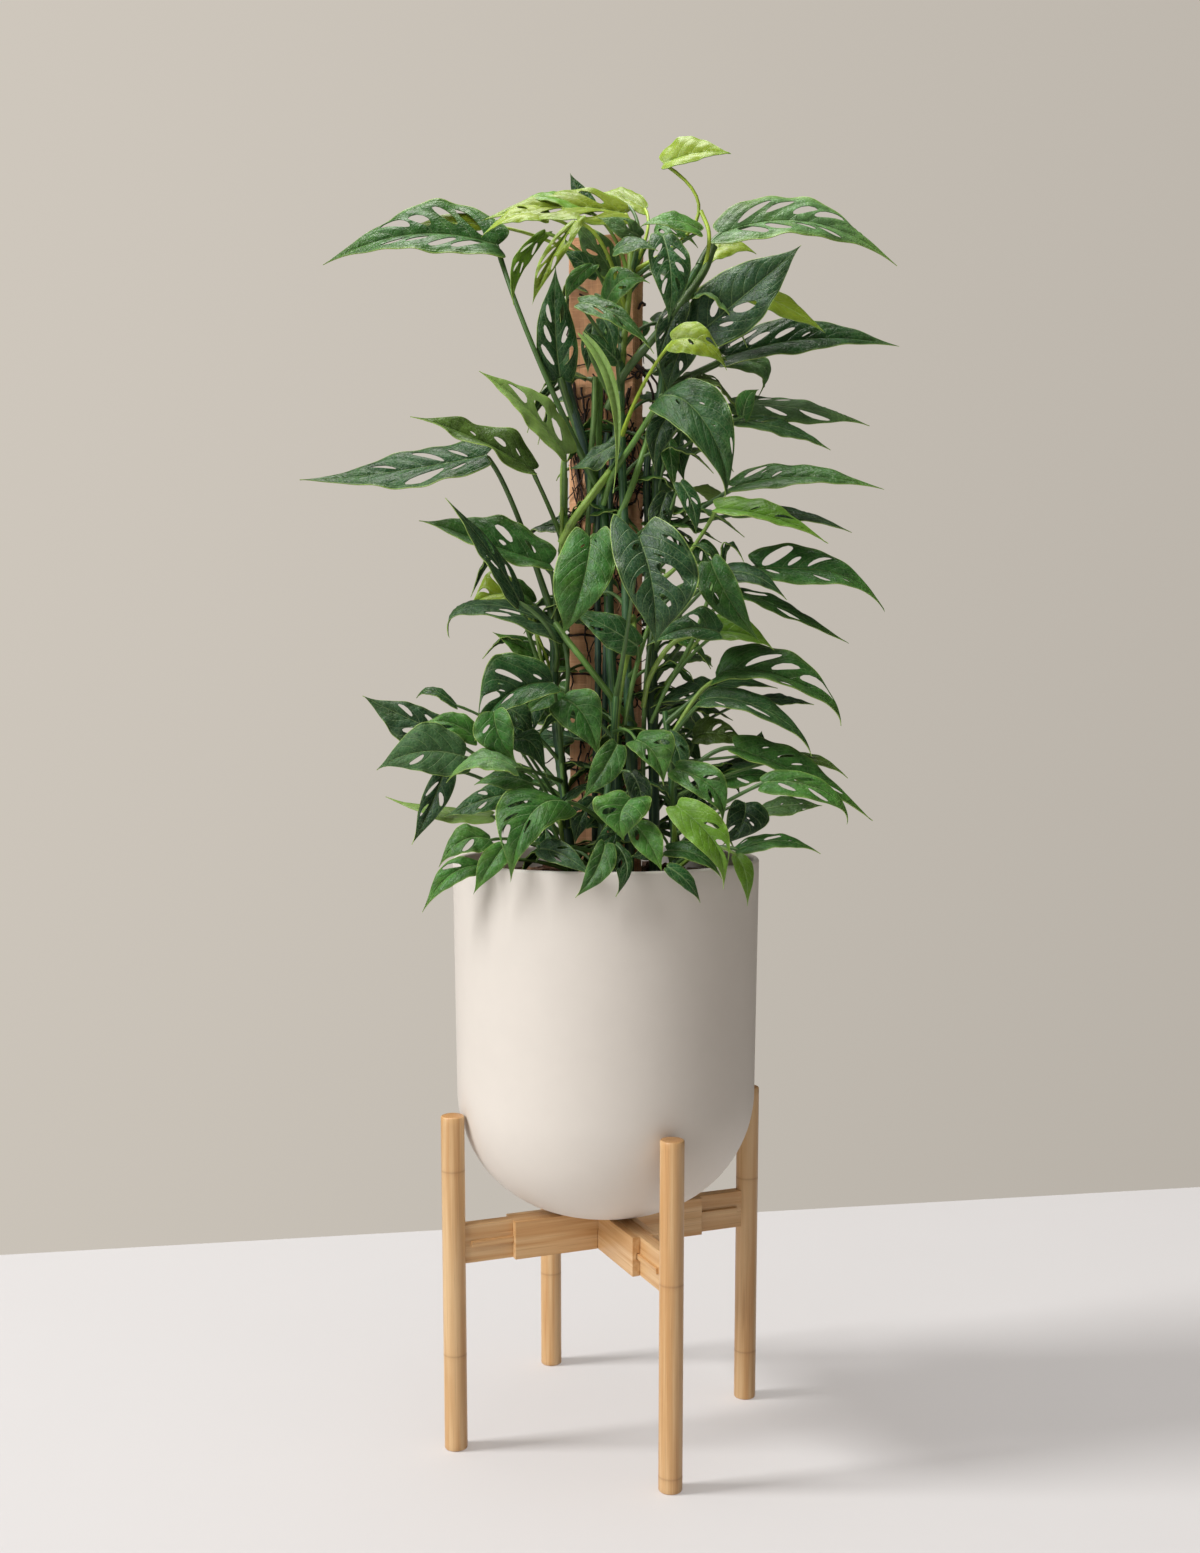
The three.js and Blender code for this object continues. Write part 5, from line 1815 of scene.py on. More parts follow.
@dataclass(frozen=True)
class LeafFinish:
    """A smooth leaf: pale midrib, faint side veins and net, a thin pale edge, and a duller underside."""

    vein: str = "a3bf7c"
    edge: str = "98b05a"
    young: str = "80a534"
    under: str = "567a4a"
    sheen: float = 0.34
    relief: float = 0.0014

    def build(self) -> Material:
        """Wires its nodes; the relief fades on the lime leaves, which are smooth.

        Returns:
            The material.
        """
        made, g, shader = material("leaf")
        tone, blade, vein, sheet = (g.attribute(n) for n in ("Tone", "Blade", "Vein", "Sheet"))
        green, under = g.split(tone)[1], g.split(blade)[2]
        veins = g.use(vein_group(), Vein=vein, Blade=blade, Sheet=sheet)
        soft = g.use(mottle_group(), Color=tone, Vector=sheet, Scale=0.08, Amount=0.9)
        bright = g.ease(green, 0.14, 0.3, 0.0, 0.75)
        even = g.mix(bright, soft["Color"], tone)
        colour = g.mix(self.fresh(g, green, blade, sheet), even, g.mix(0.55, even, linear(self.young)))
        below = g.mix(0.25, colour, linear(self.under))
        colour = g.mix(under, colour, below)
        pale = g.mix(0.4, colour, linear(self.vein))
        for name, share in (("Net", 0.2), ("Side", 0.48), ("Rib", 0.8)):
            colour = g.mix(g.times(veins[name], share), colour, pale)
        colour = g.mix(g.times(veins["Margin"], 0.75), colour, linear(self.edge))
        g.feed(shader.inputs["Base Color"], colour)
        rough = g.plus(g.times(soft["Fac"], 0.16), self.sheen - 0.06)
        g.feed(shader.inputs["Roughness"], g.plus(rough, g.times(under, 0.2)))
        crumple = g.plus(g.noise(sheet, 0.11, 2, 0.6), g.times(g.noise(sheet, 0.5, 2), 0.22))
        sunk = g.plus(g.times(veins["Rib"], 0.35), g.times(veins["Side"], 0.24))
        height = g.math("SUBTRACT", crumple, g.plus(sunk, g.times(veins["Net"], 0.07)))
        height = g.times(height, g.math("SUBTRACT", 1.0, bright))
        g.feed(shader.inputs["Normal"], g.bump(height, self.relief, 1.0))
        preset(shader, Specular_IOR_Level=0.22, Subsurface_Weight=0.12, Subsurface_Radius=(0.5, 1.0, 0.2),
               Subsurface_Scale=0.0015)
        return made

    def fresh(self, g: Graph, green: Socket, blade: Socket, sheet: Socket) -> Socket:
        """How much young green shows: toward the tip and the margin and in patches, less on dark leaves.

        Args:
            g: the material's wiring.
            green: the leaf's own green.
            blade: places from base to tip and from midrib to margin.
            sheet: the place on the flat blade.

        Returns:
            A mask.
        """
        along, out, _ = g.split(blade)
        ends = g.math("MAXIMUM", g.ease(along, 0.6, 1.0, 0.0, 0.75), g.ease(out, 0.7, 1.0, 0.0, 0.45))
        patches = g.ease(g.noise(sheet, 0.035, 2), 0.5, 0.78, 0.0, 0.45)
        return g.times(g.math("MAXIMUM", ends, patches), g.ease(green, 0.035, 0.2, 0.12, 1.0))


@dataclass(frozen=True)
class StemFinish:
    """Green stems and stalks with fine lengthwise streaks."""

    streak: str = "9dbb62"
    dark: str = "1e3424"

    def build(self) -> Material:
        """Wires its nodes.

        Returns:
            The material.
        """
        made, g, shader = material("stem")
        run = g.attribute("Run")
        soft = g.use(mottle_group(), Color=g.attribute("Tone"), Vector=run, Scale=0.08, Amount=0.5)
        streak = g.use(fibre_group(), Vector=run, Fine=0.9, Bands=0.1)["Streak"]
        colour = g.mix(g.ease(streak, 0.48, 0.7, 0.0, 0.4), soft["Color"], linear(self.streak))
        colour = g.mix(g.ease(streak, 0.5, 0.28, 0.0, 0.45), colour, linear(self.dark))
        g.feed(shader.inputs["Base Color"], colour)
        g.feed(shader.inputs["Roughness"], g.plus(0.34, g.times(soft["Fac"], 0.2)))
        g.feed(shader.inputs["Normal"], g.bump(streak, 0.0002, 0.5))
        preset(shader, Subsurface_Weight=0.1, Subsurface_Radius=(0.5, 1.0, 0.3), Subsurface_Scale=0.002)
        return made


@dataclass(frozen=True)
class RootFinish:
    """Dry, dark brown aerial roots."""

    dark: str = "2a1c15"
    light: str = "5c4230"

    def build(self) -> Material:
        """Wires its nodes.

        Returns:
            The material.
        """
        made, g, shader = material("root")
        spots = g.noise(g.attribute("Run"), 0.35, 3, 0.6)
        colour = g.mix(g.ease(spots, 0.45, 0.75), linear(self.dark), linear(self.light))
        g.feed(shader.inputs["Base Color"], colour)
        g.feed(shader.inputs["Roughness"], g.ease(spots, 0.2, 0.8, 0.7, 0.95))
        g.feed(shader.inputs["Normal"], g.bump(spots, 0.0006, 0.7))
        return made


@dataclass(frozen=True)
class BambooFinish:
    """Pale bamboo under a thin satin lacquer: fine fibres, warm bands, darker nodes and end grain."""

    grain: Grain
    pale: str = "dab686"
    warm: str = "c79760"
    dark: str = "8c5c33"
    light: str = "f0d3a4"
    knot: str = "8a5a30"
    pores: str = "7a4f2c"
    end: str = "b98a57"

    def build(self) -> Material:
        """Wires its nodes; only upright pieces have joints and end grain, which their Knot values place.

        Returns:
            The material.
        """
        made, g, shader = material(f"bamboo_{self.grain.name.lower()}")
        place = g.place()
        parts = g.split(g.scaled(place, (1000.0, 1000.0, 1000.0)))
        run = g.join(*(parts[i] for i in self.grain.value))
        fibre = g.use(fibre_group(), Vector=run, Fine=1.3, Bands=0.16)
        streak = fibre["Streak"]
        colour = g.mix(g.ease(fibre["Band"], 0.3, 0.72), linear(self.pale), linear(self.warm))
        colour = g.mix(g.ease(streak, 0.52, 0.78, 0.0, 0.5), colour, linear(self.dark))
        colour = g.mix(g.ease(streak, 0.46, 0.25, 0.0, 0.3), colour, linear(self.light))
        if self.grain is Grain.UP:
            ring, end, _ = g.split(g.attribute("Knot"))
            colour = g.mix(g.times(ring, 0.3), colour, linear(self.knot))
            dots = preset(g.node("ShaderNodeTexVoronoi"), Scale=1.0)
            g.feed(dots.inputs["Vector"], g.scaled(place, (1400.0, 1400.0, 0.0)))
            pores = g.ease(dots.outputs["Distance"], 0.1, 0.45)
            colour = g.mix(end, colour, g.mix(pores, linear(self.pores), linear(self.end)))
        g.feed(shader.inputs["Base Color"], colour)
        g.feed(shader.inputs["Roughness"], g.ease(streak, 0.3, 0.75, 0.36, 0.5))
        g.feed(shader.inputs["Normal"], g.bump(streak, 0.00012, 0.6))
        preset(shader, Coat_Weight=0.12, Coat_Roughness=0.35)
        return made


@dataclass(frozen=True)
class PotFinish:
    """A smooth, matt, warm off-white glaze with barely visible unevenness."""

    colour: str = "dcd4ca"

    def build(self) -> Material:
        """Wires its nodes.

        Returns:
            The material.
        """
        made, g, shader = material("pot")
        place = g.place()
        soft = g.use(mottle_group(), Color=linear(self.colour), Vector=place, Scale=9.0, Amount=0.035)
        fine = g.noise(place, 900.0, 3, 0.6)
        g.feed(shader.inputs["Base Color"], soft["Color"])
        g.feed(shader.inputs["Roughness"], g.ease(fine, 0.3, 0.7, 0.5, 0.6))
        g.feed(shader.inputs["Normal"], g.bump(fine, 0.00005, 0.5))
        preset(shader, Specular_IOR_Level=0.35)
        return made


@dataclass(frozen=True)
class PlankFinish:
    """Rough-sawn reddish wood: long grain, saw marks across it, and damp dark patches."""

    red: str = "ecb284"
    brown: str = "c68f66"
    dark: str = "553b2b"
    light: str = "f3c498"

    def build(self) -> Material:
        """Wires its nodes.

        Returns:
            The material.
        """
        made, g, shader = material("plank")
        sawn = g.attribute("Sawn")
        fibre = g.use(fibre_group(), Vector=sawn, Fine=0.7, Bands=0.09)
        marks = g.noise(g.scaled(sawn, (0.9, 0.05, 0.05)), 0.8)
        damp = g.noise(sawn, 0.018, 4, 0.6)
        colour = g.mix(g.ease(fibre["Band"], 0.3, 0.7), linear(self.red), linear(self.brown))
        colour = g.mix(g.ease(fibre["Streak"], 0.52, 0.78, 0.0, 0.55), colour, linear(self.dark))
        colour = g.mix(g.ease(marks, 0.52, 0.7, 0.0, 0.45), colour, linear(self.light))
        colour = g.mix(g.ease(damp, 0.54, 0.74, 0.0, 0.4), colour, linear(self.dark))
        g.feed(shader.inputs["Base Color"], colour)
        g.feed(shader.inputs["Roughness"], g.ease(fibre["Streak"], 0.2, 0.8, 0.78, 0.92))
        height = g.plus(g.times(fibre["Streak"], 0.5), marks)
        g.feed(shader.inputs["Normal"], g.bump(height, 0.0008, 0.7))
        return made


@dataclass(frozen=True)
class SoilFinish:
    """Dark, crumbly mix with brown bark chips."""

    mix: str = "2b1d15"
    dust: str = "4a3526"
    damp: str = "120b07"
    bark: str = "6b4528"
    old_bark: str = "8a6642"

    def build(self) -> Material:
        """Wires its nodes.

        Returns:
            The material.
        """
        made, g, shader = material("soil")
        place = g.place()
        crumb = g.noise(place, 420.0, 5, 0.7)
        colour = g.mix(g.ease(crumb, 0.4, 0.7), linear(self.mix), linear(self.dust))
        wide = g.noise(place, 60.0, 3, 0.6)
        colour = g.mix(g.ease(wide, 0.5, 0.75, 0.0, 0.5), colour, linear(self.damp))
        chip, kind, _ = g.split(g.attribute("Chip"))
        bark = g.mix(kind, linear(self.bark), linear(self.old_bark))
        colour = g.mix(g.times(chip, 0.75), colour, bark)
        g.feed(shader.inputs["Base Color"], colour)
        g.feed(shader.inputs["Roughness"], g.ease(crumb, 0.3, 0.7, 0.82, 0.97))
        g.feed(shader.inputs["Normal"], g.bump(crumb, 0.002, 0.8))
        return made


# ---------------------------------------------------------------- studio


@dataclass(frozen=True)
class Lamp:
    """A square area lamp that faces a point of the pot's axis, aim metres up.

    Its place is metres across, back and up as the viewer sees them, and it lights the floor or the rest.
    """

    name: str
    spot: Place
    size: float
    power: float
    colour: Colour
    aim: float = 0.6
    on_floor: bool = False
    shadow: bool = True


LAMPS = (
    Lamp("key", (-6.5, -4.5, 6.7), 4.4, 940, (0.985, 0.997, 1.02)),
    Lamp("top", (-0.4, 0.1, 4.4), 1.8, 158, (1.0, 0.975, 0.945)),
    Lamp("fill", (-3.2, -3.4, 0.9), 1.4, 23, (1.0, 0.97, 0.93), aim=0.5),
    Lamp("side", (-7.9, -1.1, 6.7), 2.3, 880, (0.99, 0.997, 1.0), on_floor=True),
    Lamp("even", (0, 0, 9.0), 12.0, 930, (1.0, 0.985, 0.975), on_floor=True, shadow=False),
)


@dataclass(frozen=True)
class Studio:
    """A pale floor that ends before a warm grey backdrop, a soft key from the left front, and the camera.

    Places in the view are pixels from its top left: principal is the row that the lens's axis meets, and
    middle and ground are the column and row of the board's own zero.
    """

    height: int = 1553
    focal: float = 1617
    principal: float = 904
    middle: float = 607
    ground: float = 1423
    sensor: float = 36
    floor_code: str = "cbc8c7"
    floor_deep: float = 7
    floor_past: float = 4
    backdrop: Colour = (0.552, 0.508, 0.449)
    around: Colour = (1.0, 0.91, 0.77)
    around_strength: float = 0.1
    far_edge: tuple[tuple[float, float], ...] = ((0, 1255), (1200, 1187))

    def build(self) -> None:
        """Makes the floor, the backdrop, the lamps and the camera.

        The object and the floor have lamps of their own, so that the shadows fall to the side.
        """
        floor = self.floor()
        self.sky()
        for lamp in LAMPS:
            self.light(lamp, floor)
        self.camera()

    def floor(self) -> Object:
        """A flat, nearly even sheet that reaches from its far edge to well behind the camera.

        Returns:
            The sheet.
        """
        a, b = (self.seen_floor(u, v) for u, v in self.far_edge)
        along = unit(b - a)
        near = np.array([along[1], -along[0], 0.0]) * self.floor_deep
        start, end = a - along * self.floor_past, b + along * self.floor_past
        mesh = bpy.data.meshes.new("floor")
        mesh.from_pydata([tuple(c) for c in (end, start, start + near, end + near)], [], [(0, 1, 2, 3)])
        made, g, shader = material("floor")
        code = linear(self.floor_code)
        soft = g.use(mottle_group(), Color=code, Vector=g.place(), Scale=1.2, Amount=0.012)
        g.feed(shader.inputs["Base Color"], soft["Color"])
        preset(shader, Roughness=0.75, Specular_IOR_Level=0.2)
        mesh.materials.append(made)
        sheet = shown("floor", mesh)
        return sheet

    def sky(self) -> None:
        """The backdrop with painted shade, darker to one side and below, and a weak, even light from all
        round.
        """
        world = bpy.data.worlds.new("sky")
        world.use_nodes = True
        world.node_tree.nodes.clear()
        g = Graph(world.node_tree)
        side = self.toward(1, 0, 0)
        x, y, z = g.split(g.place())
        right = g.plus(g.times(x, side[0]), g.times(y, side[1]))
        # painted shade: the backdrop's colour darkens to the right and below, as light falling off across a
        # wall
        painted_falloff = g.plus(g.ease(right, -0.6, 0.6, 1.13, 0.87), g.ease(z, -0.6, 0.4, -0.05, 0.03))
        seen, around = g.node("ShaderNodeBackground"), g.node("ShaderNodeBackground")
        g.feed(seen.inputs["Color"], g.mix(1.0, self.backdrop, g.join(painted_falloff, painted_falloff, painted_falloff), "MULTIPLY"))
        g.feed(around.inputs["Color"], self.around)
        preset(around, Strength=self.around_strength)
        both = g.node("ShaderNodeMixShader")
        for place, source in enumerate((g.node("ShaderNodeLightPath").outputs["Is Camera Ray"],
                                        around.outputs[0], seen.outputs[0])):
            g.feed(both.inputs[place], source)
        g.feed(g.node("ShaderNodeOutputWorld").inputs["Surface"], both.outputs[0])
        bpy.context.scene.world = world
        bpy.context.scene.view_settings.view_transform = "Standard"

    def seen_floor(self, u: float, v: float) -> Array:
        """The floor point that is seen at a place of the view.

        Args:
            u: pixels from the left.
            v: pixels from the top.

        Returns:
            The point in metres.
        """
        across, up = u - self.middle, self.ground - v
        near, far = SIGHT.to_frame(np.array([[across, 0.0, up], [across, 1000.0, up]]))
        return near + (far - near) * (-near[2] / (far[2] - near[2]))

    def toward(self, across: float, back: float, up: float) -> Array:
        """A point in metres given across, back and up as the viewer sees them, as a point of the frame."""
        return np.array([*spun(across, back, SIGHT.turn), up])

    def light(self, lamp: Lamp, floor: Object) -> None:
        """One lamp, which lights either the floor alone or all but the floor.

        Args:
            lamp: its place, size and colour.
            floor: the floor.
        """
        data = bpy.data.lights.new(lamp.name, "AREA")
        data.shape, data.size, data.energy, data.color = "SQUARE", lamp.size, lamp.power, lamp.colour
        data.use_shadow = lamp.shadow
        made = shown(lamp.name, data)
        spot, target = Vector(self.toward(*lamp.spot)), Vector(self.toward(0, 0, lamp.aim))
        made.location = spot
        made.rotation_euler = (target - spot).to_track_quat("-Z", "Y").to_euler()
        group = bpy.data.collections.new(f"{lamp.name}_lights")
        group.objects.link(floor)
        group.collection_objects[0].light_linking.link_state = "INCLUDE" if lamp.on_floor else "EXCLUDE"
        made.light_linking.receiver_collection = group

    def camera(self) -> None:
        """The camera, tilted down and turned with the plant."""
        data = bpy.data.cameras.new("camera")
        data.sensor_fit, data.sensor_width = "AUTO", self.sensor
        data.lens = self.focal / self.height * self.sensor
        data.shift_y = (self.principal - self.height / 2) / self.height
        data.clip_end = 50
        made = shown("camera", data)
        made.location = SIGHT.camera_place()
        made.rotation_euler = (math.radians(90) - SIGHT.down, 0, SIGHT.turn)
        bpy.context.scene.camera = made


# ---------------------------------------------------------------- where things grow

# Places are (across, up, back) on the board, in millimetres; a root's last value is its lift off the plank.

LEFT_LEAVES = (
    Leaf(900, ((-42,969,-80),(-82,1016,-95),(-128,1052,-102)), (14,17,12), (-7,-7,-18), Tone.PALE,
        bend=(-44,925,-68), holes=4, seen=((-49,993,10,17),(-56,997,5,15),(-89,1029,13,19),
        (-69,1008,12,20))),
    Leaf(880, ((-75,953,-92),(-132,984,-106),(-196,1008,-116)), (7,20,10), (-3,-5,-20), Tone.OLIVE,
        bend=(-52,905,-60), holes=2, wave=0.3, seen=((-134,990,6,3),(-106,981,11,7),(-89,971,4,8))),
    Leaf(800, ((-122,967,-78),(-207,952,-84),(-307,940,-84)), (2,20,18), (-4,-19,-22), Tone.DARK,
        bend=(-102,955,-30), holes=5, seen=((-149,966,20,6),(-180,961,32,8),(-224,951,25,4),
        (-182,944,33,17),(-149,956,15,6))),
    Leaf(790, ((-58,858,-62),(-122,880,-70),(-187,905,-72)), (2,31,12), (-4,-8,-26), Tone.MOSS,
        bend=(-50,838,-55), holes=3, seen=((-103,890,17,17),(-77,876,10,12),(-75,867,8,4),(-104,879,8,3))),
    Leaf(752, ((-88,821,-108),(-120,874,-118),(-162,925,-122)), (8,5,8), (-9,-5,-12), Tone.BLUE,
        bend=(-40,792,-114), holes=1),
    Leaf(738, ((-91,827,-54),(-115,828,-60),(-137,817,-66)), (-6,24,10), (-4,-11,-10), Tone.LIME,
        bend=(-66,790,-42), holes=2, seen=((-108,839,27,17),(-123,832,10,5))),
    Leaf(700, ((-46,789,-80),(-84,811,-92),(-138,817,-98),(-161,784,-102)), (0,7,24), (-4,-14,-12),
        Tone.SLATE, bend=(-30,745,-84), holes=4, seen=((-91,811,17,11),(-110,805,17,7),(-107,811,20,7),
        (-72,806,19,11))),
    Leaf(690, ((-64,762,-42),(-88,778,-46),(-115,790,-48)), (8,9,6), (-6,-8,-8), Tone.FRESH, holes=1,
        seen=((-72,769,12,17),)),
    Leaf(650, ((-54,740,-114),(-100,728,-132),(-133,682,-136)), (-24,33,-4), (6,-15,-16), Tone.DARK,
        bend=(-48,715,-84), holes=6, seen=((-98,747,29,10),(-129,732,28,8),(-106,739,7,2),(-105,733,7,2),
        (-100,726,8,7),(-69,744,7,6),(-124,719,4,2))),
    Leaf(632, ((-152,718,-62),(-175,732,-66),(-191,725,-66)), (0,5,7), (0,-5,-7), Tone.DARK,
        bend=(-95,700,-50)),
    Leaf(616, ((-157,685,-66),(-202,706,-76),(-245,726,-80)), (6,16,10), (-12,-22,-10), Tone.SLATE,
        bend=(-105,650,-50), holes=1),
    Leaf(600, ((-143,666,-104),(-187,671,-114),(-231,654,-118)), (-6,29,8), (4,-24,-8), Tone.DARK,
        bend=(-95,655,-84), holes=3, underside_up=True, seen=((-189,688,7,2),(-190,663,14,9))),
    Leaf(624, ((-131,684,-76),(-157,700,-80),(-182,700,-80)), (4,13,8), (-4,-9,-10), Tone.FRESH,
        bend=(-90,660,-66), seen=((-161,695,10,7),)),
    Leaf(608, ((-113,711,-146),(-107,685,-150),(-90,660,-146)), (-23,-7,-4), (16,5,-6), Tone.MID,
        bend=(-88,690,-112), holes=2, seen=((-121,694,7,9),)),
    Leaf(660, ((-107,715,-104),(-86,706,-106),(-73,678,-104)), (-9,-10,-6), (10,8,6), Tone.DARK,
        bend=(-88,712,-84), holes=1, seen=((-91,700,9,22),)),
    Leaf(591, ((-94,682,-126),(-74,678,-124),(-61,645,-122)), (-7,-12,-6), (9,10,6), Tone.DARK,
        bend=(-80,668,-100)),
    Leaf(641, ((-92,655,-160),(-127,664,-166),(-162,641,-168)), (-2,9,14), (0,-11,-12), Tone.GREY,
        bend=(-70,652,-120)),
    Leaf(669, ((-45,731,-76),(-64,724,-80),(-85,705,-80)), (-9,10,2), (6,-10,-6), Tone.MID,
        bend=(-44,708,-62)),
    Leaf(575, ((-117,607,-78),(-167,611,-80),(-222,625,-80)), (0,7,13), (0,-9,-12), Tone.PALE,
        bend=(-82,596,-72)),
    Leaf(583, ((-162,653,-86),(-177,615,-96),(-195,578,-98)), (-13,0,-4), (16,0,0), Tone.BLUE,
        bend=(-120,655,-72), holes=1),
    Leaf(567, ((-102,628,-112),(-132,620,-118),(-162,605,-120)), (2,14,8), (0,-13,-8), Tone.DARK,
        bend=(-72,606,-88), holes=2),
    Leaf(545, ((-77,640,-138),(-107,646,-142),(-133,638,-142)), (0,8,10), (0,-12,-6), Tone.MOSS,
        bend=(-52,600,-116), holes=1),
    Leaf(559, ((-117,583,-128),(-145,582,-136),(-169,556,-138)), (-8,13,6), (6,-14,-10), Tone.MID,
        bend=(-84,590,-100), holes=2, seen=((-138,577,20,5),)),
    Leaf(552, ((-127,557,-112),(-159,546,-120),(-184,510,-122)), (-9,10,4), (7,-9,-8), Tone.FRESH,
        bend=(-90,572,-80), seen=((-158,560,18,11),)),
)

TALL_LEAVES = (
    Leaf(928, ((-110,1177,-60),(-197,1188,-74),(-284,1158,-80)), (6,33,18), (0,-17,-26), Tone.MOSS,
        bend=(-84,1085,-104), holes=6),
    Leaf(962, ((-47,1046,-66),(-52,1101,-78),(-51,1158,-76)), (21,0,4), (-20,2,-4), Tone.DARK,
        bend=(-34,1000,-40), holes=4, stalk=4),
    Leaf(940, ((11,980,-76),(-14,966,-84),(-36,953,-84)), (2,10,8), (2,-14,-8), Tone.SLATE,
        bend=(14,960,-66), wave=0.3),
    Leaf(850, ((-16,884,-138),(-26,833,-150),(-45,786,-144)), (-32,-2,-4), (28,0,-4), Tone.MID,
        bend=(-10,900,-96), holes=2, lobe=0.16, seen=((-24,877,5,2),(-11,882,3,2))),
    Leaf(700, ((-45,724,-112),(-22,706,-116),(-7,661,-116)), (-19,-15,-6), (19,14,-2), Tone.MID,
        bend=(-24,722,-84), holes=1),
)

TOP_LEAVES = (
    Leaf(745, ((30,777,-98),(-2,797,-100),(-40,816,-96)), (7,14,8), (-8,-15,-6), Tone.DARK,
        bend=(34,756,-84), holes=3, seen=((-17,802,5,2),(-10,794,13,4))),
    Leaf(1168, ((18,1209,-30),(-52,1216,-52),(-127,1204,-62)), (0,18,14), (0,-15,-22), Tone.LIME, holes=2),
    Leaf(1160, ((38,1214,-14),(14,1226,-2),(-10,1228,6)), (2,10,10), (-2,-8,-10), Tone.LIME,
        bend=(48,1198,-40)),
    Leaf(1175, ((-14,1214,24),(-28,1232,30),(-37,1250,32)), (8,3,4), (-8,-2,4), Tone.DARK,
        bend=(34,1240,-34)),
    Leaf(1112, ((-32,1201,-86),(-58,1160,-100),(-75,1118,-98)), (-14,-5,-4), (15,6,0), Tone.LIME,
        bend=(-2,1200,-84), holes=3),
    Leaf(1128, ((4,1152,-56),(-15,1180,-70),(-34,1204,-76)), (14,9,4), (-12,-8,0), Tone.GREY,
        bend=(20,1143,-44), holes=3),
    Leaf(1134, ((33,1186,-58),(12,1197,-72),(-9,1206,-76)), (5,10,6), (-4,-10,-4), Tone.GREY, holes=1),
    Leaf(1098, ((-10,1149,-72),(-28,1163,-78),(-45,1173,-80)), (5,9,6), (-5,-9,-6), Tone.DARK,
        bend=(4,1136,-58)),
    Leaf(1088, ((-15,1158,-94),(-33,1142,-100),(-41,1121,-100)), (-9,2,-4), (10,-2,4), Tone.MID,
        bend=(-6,1150,-66)),
    Leaf(1078, ((0,1122,-76),(18,1144,-88),(43,1140,-92)), (6,-12,-4), (-8,14,4), Tone.MID,
        bend=(2,1104,-60), holes=2),
    Leaf(1126, ((8,1172,-92),(30,1180,-98),(50,1171,-100)), (0,-8,-8), (0,7,8), Tone.DARK,
        bend=(10,1164,-66)),
    Leaf(1060, ((-27,1120,-112),(12,1106,-122),(48,1070,-124)), (-4,-9,-8), (4,9,8), Tone.MOSS,
        bend=(-14,1100,-84), holes=1),
    Leaf(1030, ((10,1062,-72),(-6,1078,-78),(-22,1092,-80)), (6,7,6), (-6,-8,-4), Tone.DARK,
        bend=(10,1046,-62)),
    Leaf(1010, ((-22,1086,-116),(8,1024,-124),(6,930,-118)), (-6,-2,-4), (5,2,-2), Tone.PALE,
        bend=(-12,1052,-84)),
    Leaf(985, ((66,1082,-120),(96,1081,-130),(121,1053,-130)), (-7,-15,-6), (2,17,6), Tone.LIME,
        bend=(34,1046,-98), holes=2, seen=((105,1084,11,7),(86,1084,7,2))),
    Leaf(1152, ((57,1259,-32),(92,1270,-38),(124,1268,-40)), (2,-7,-8), (-3,18,11), Tone.LIME,
        bend=(140,1207,-34)),
    Leaf(1142, ((93,1192,-52),(62,1203,-58),(33,1197,-62)), (0,9,10), (0,-8,-8), Tone.FRESH,
        bend=(74,1182,-40)),
)

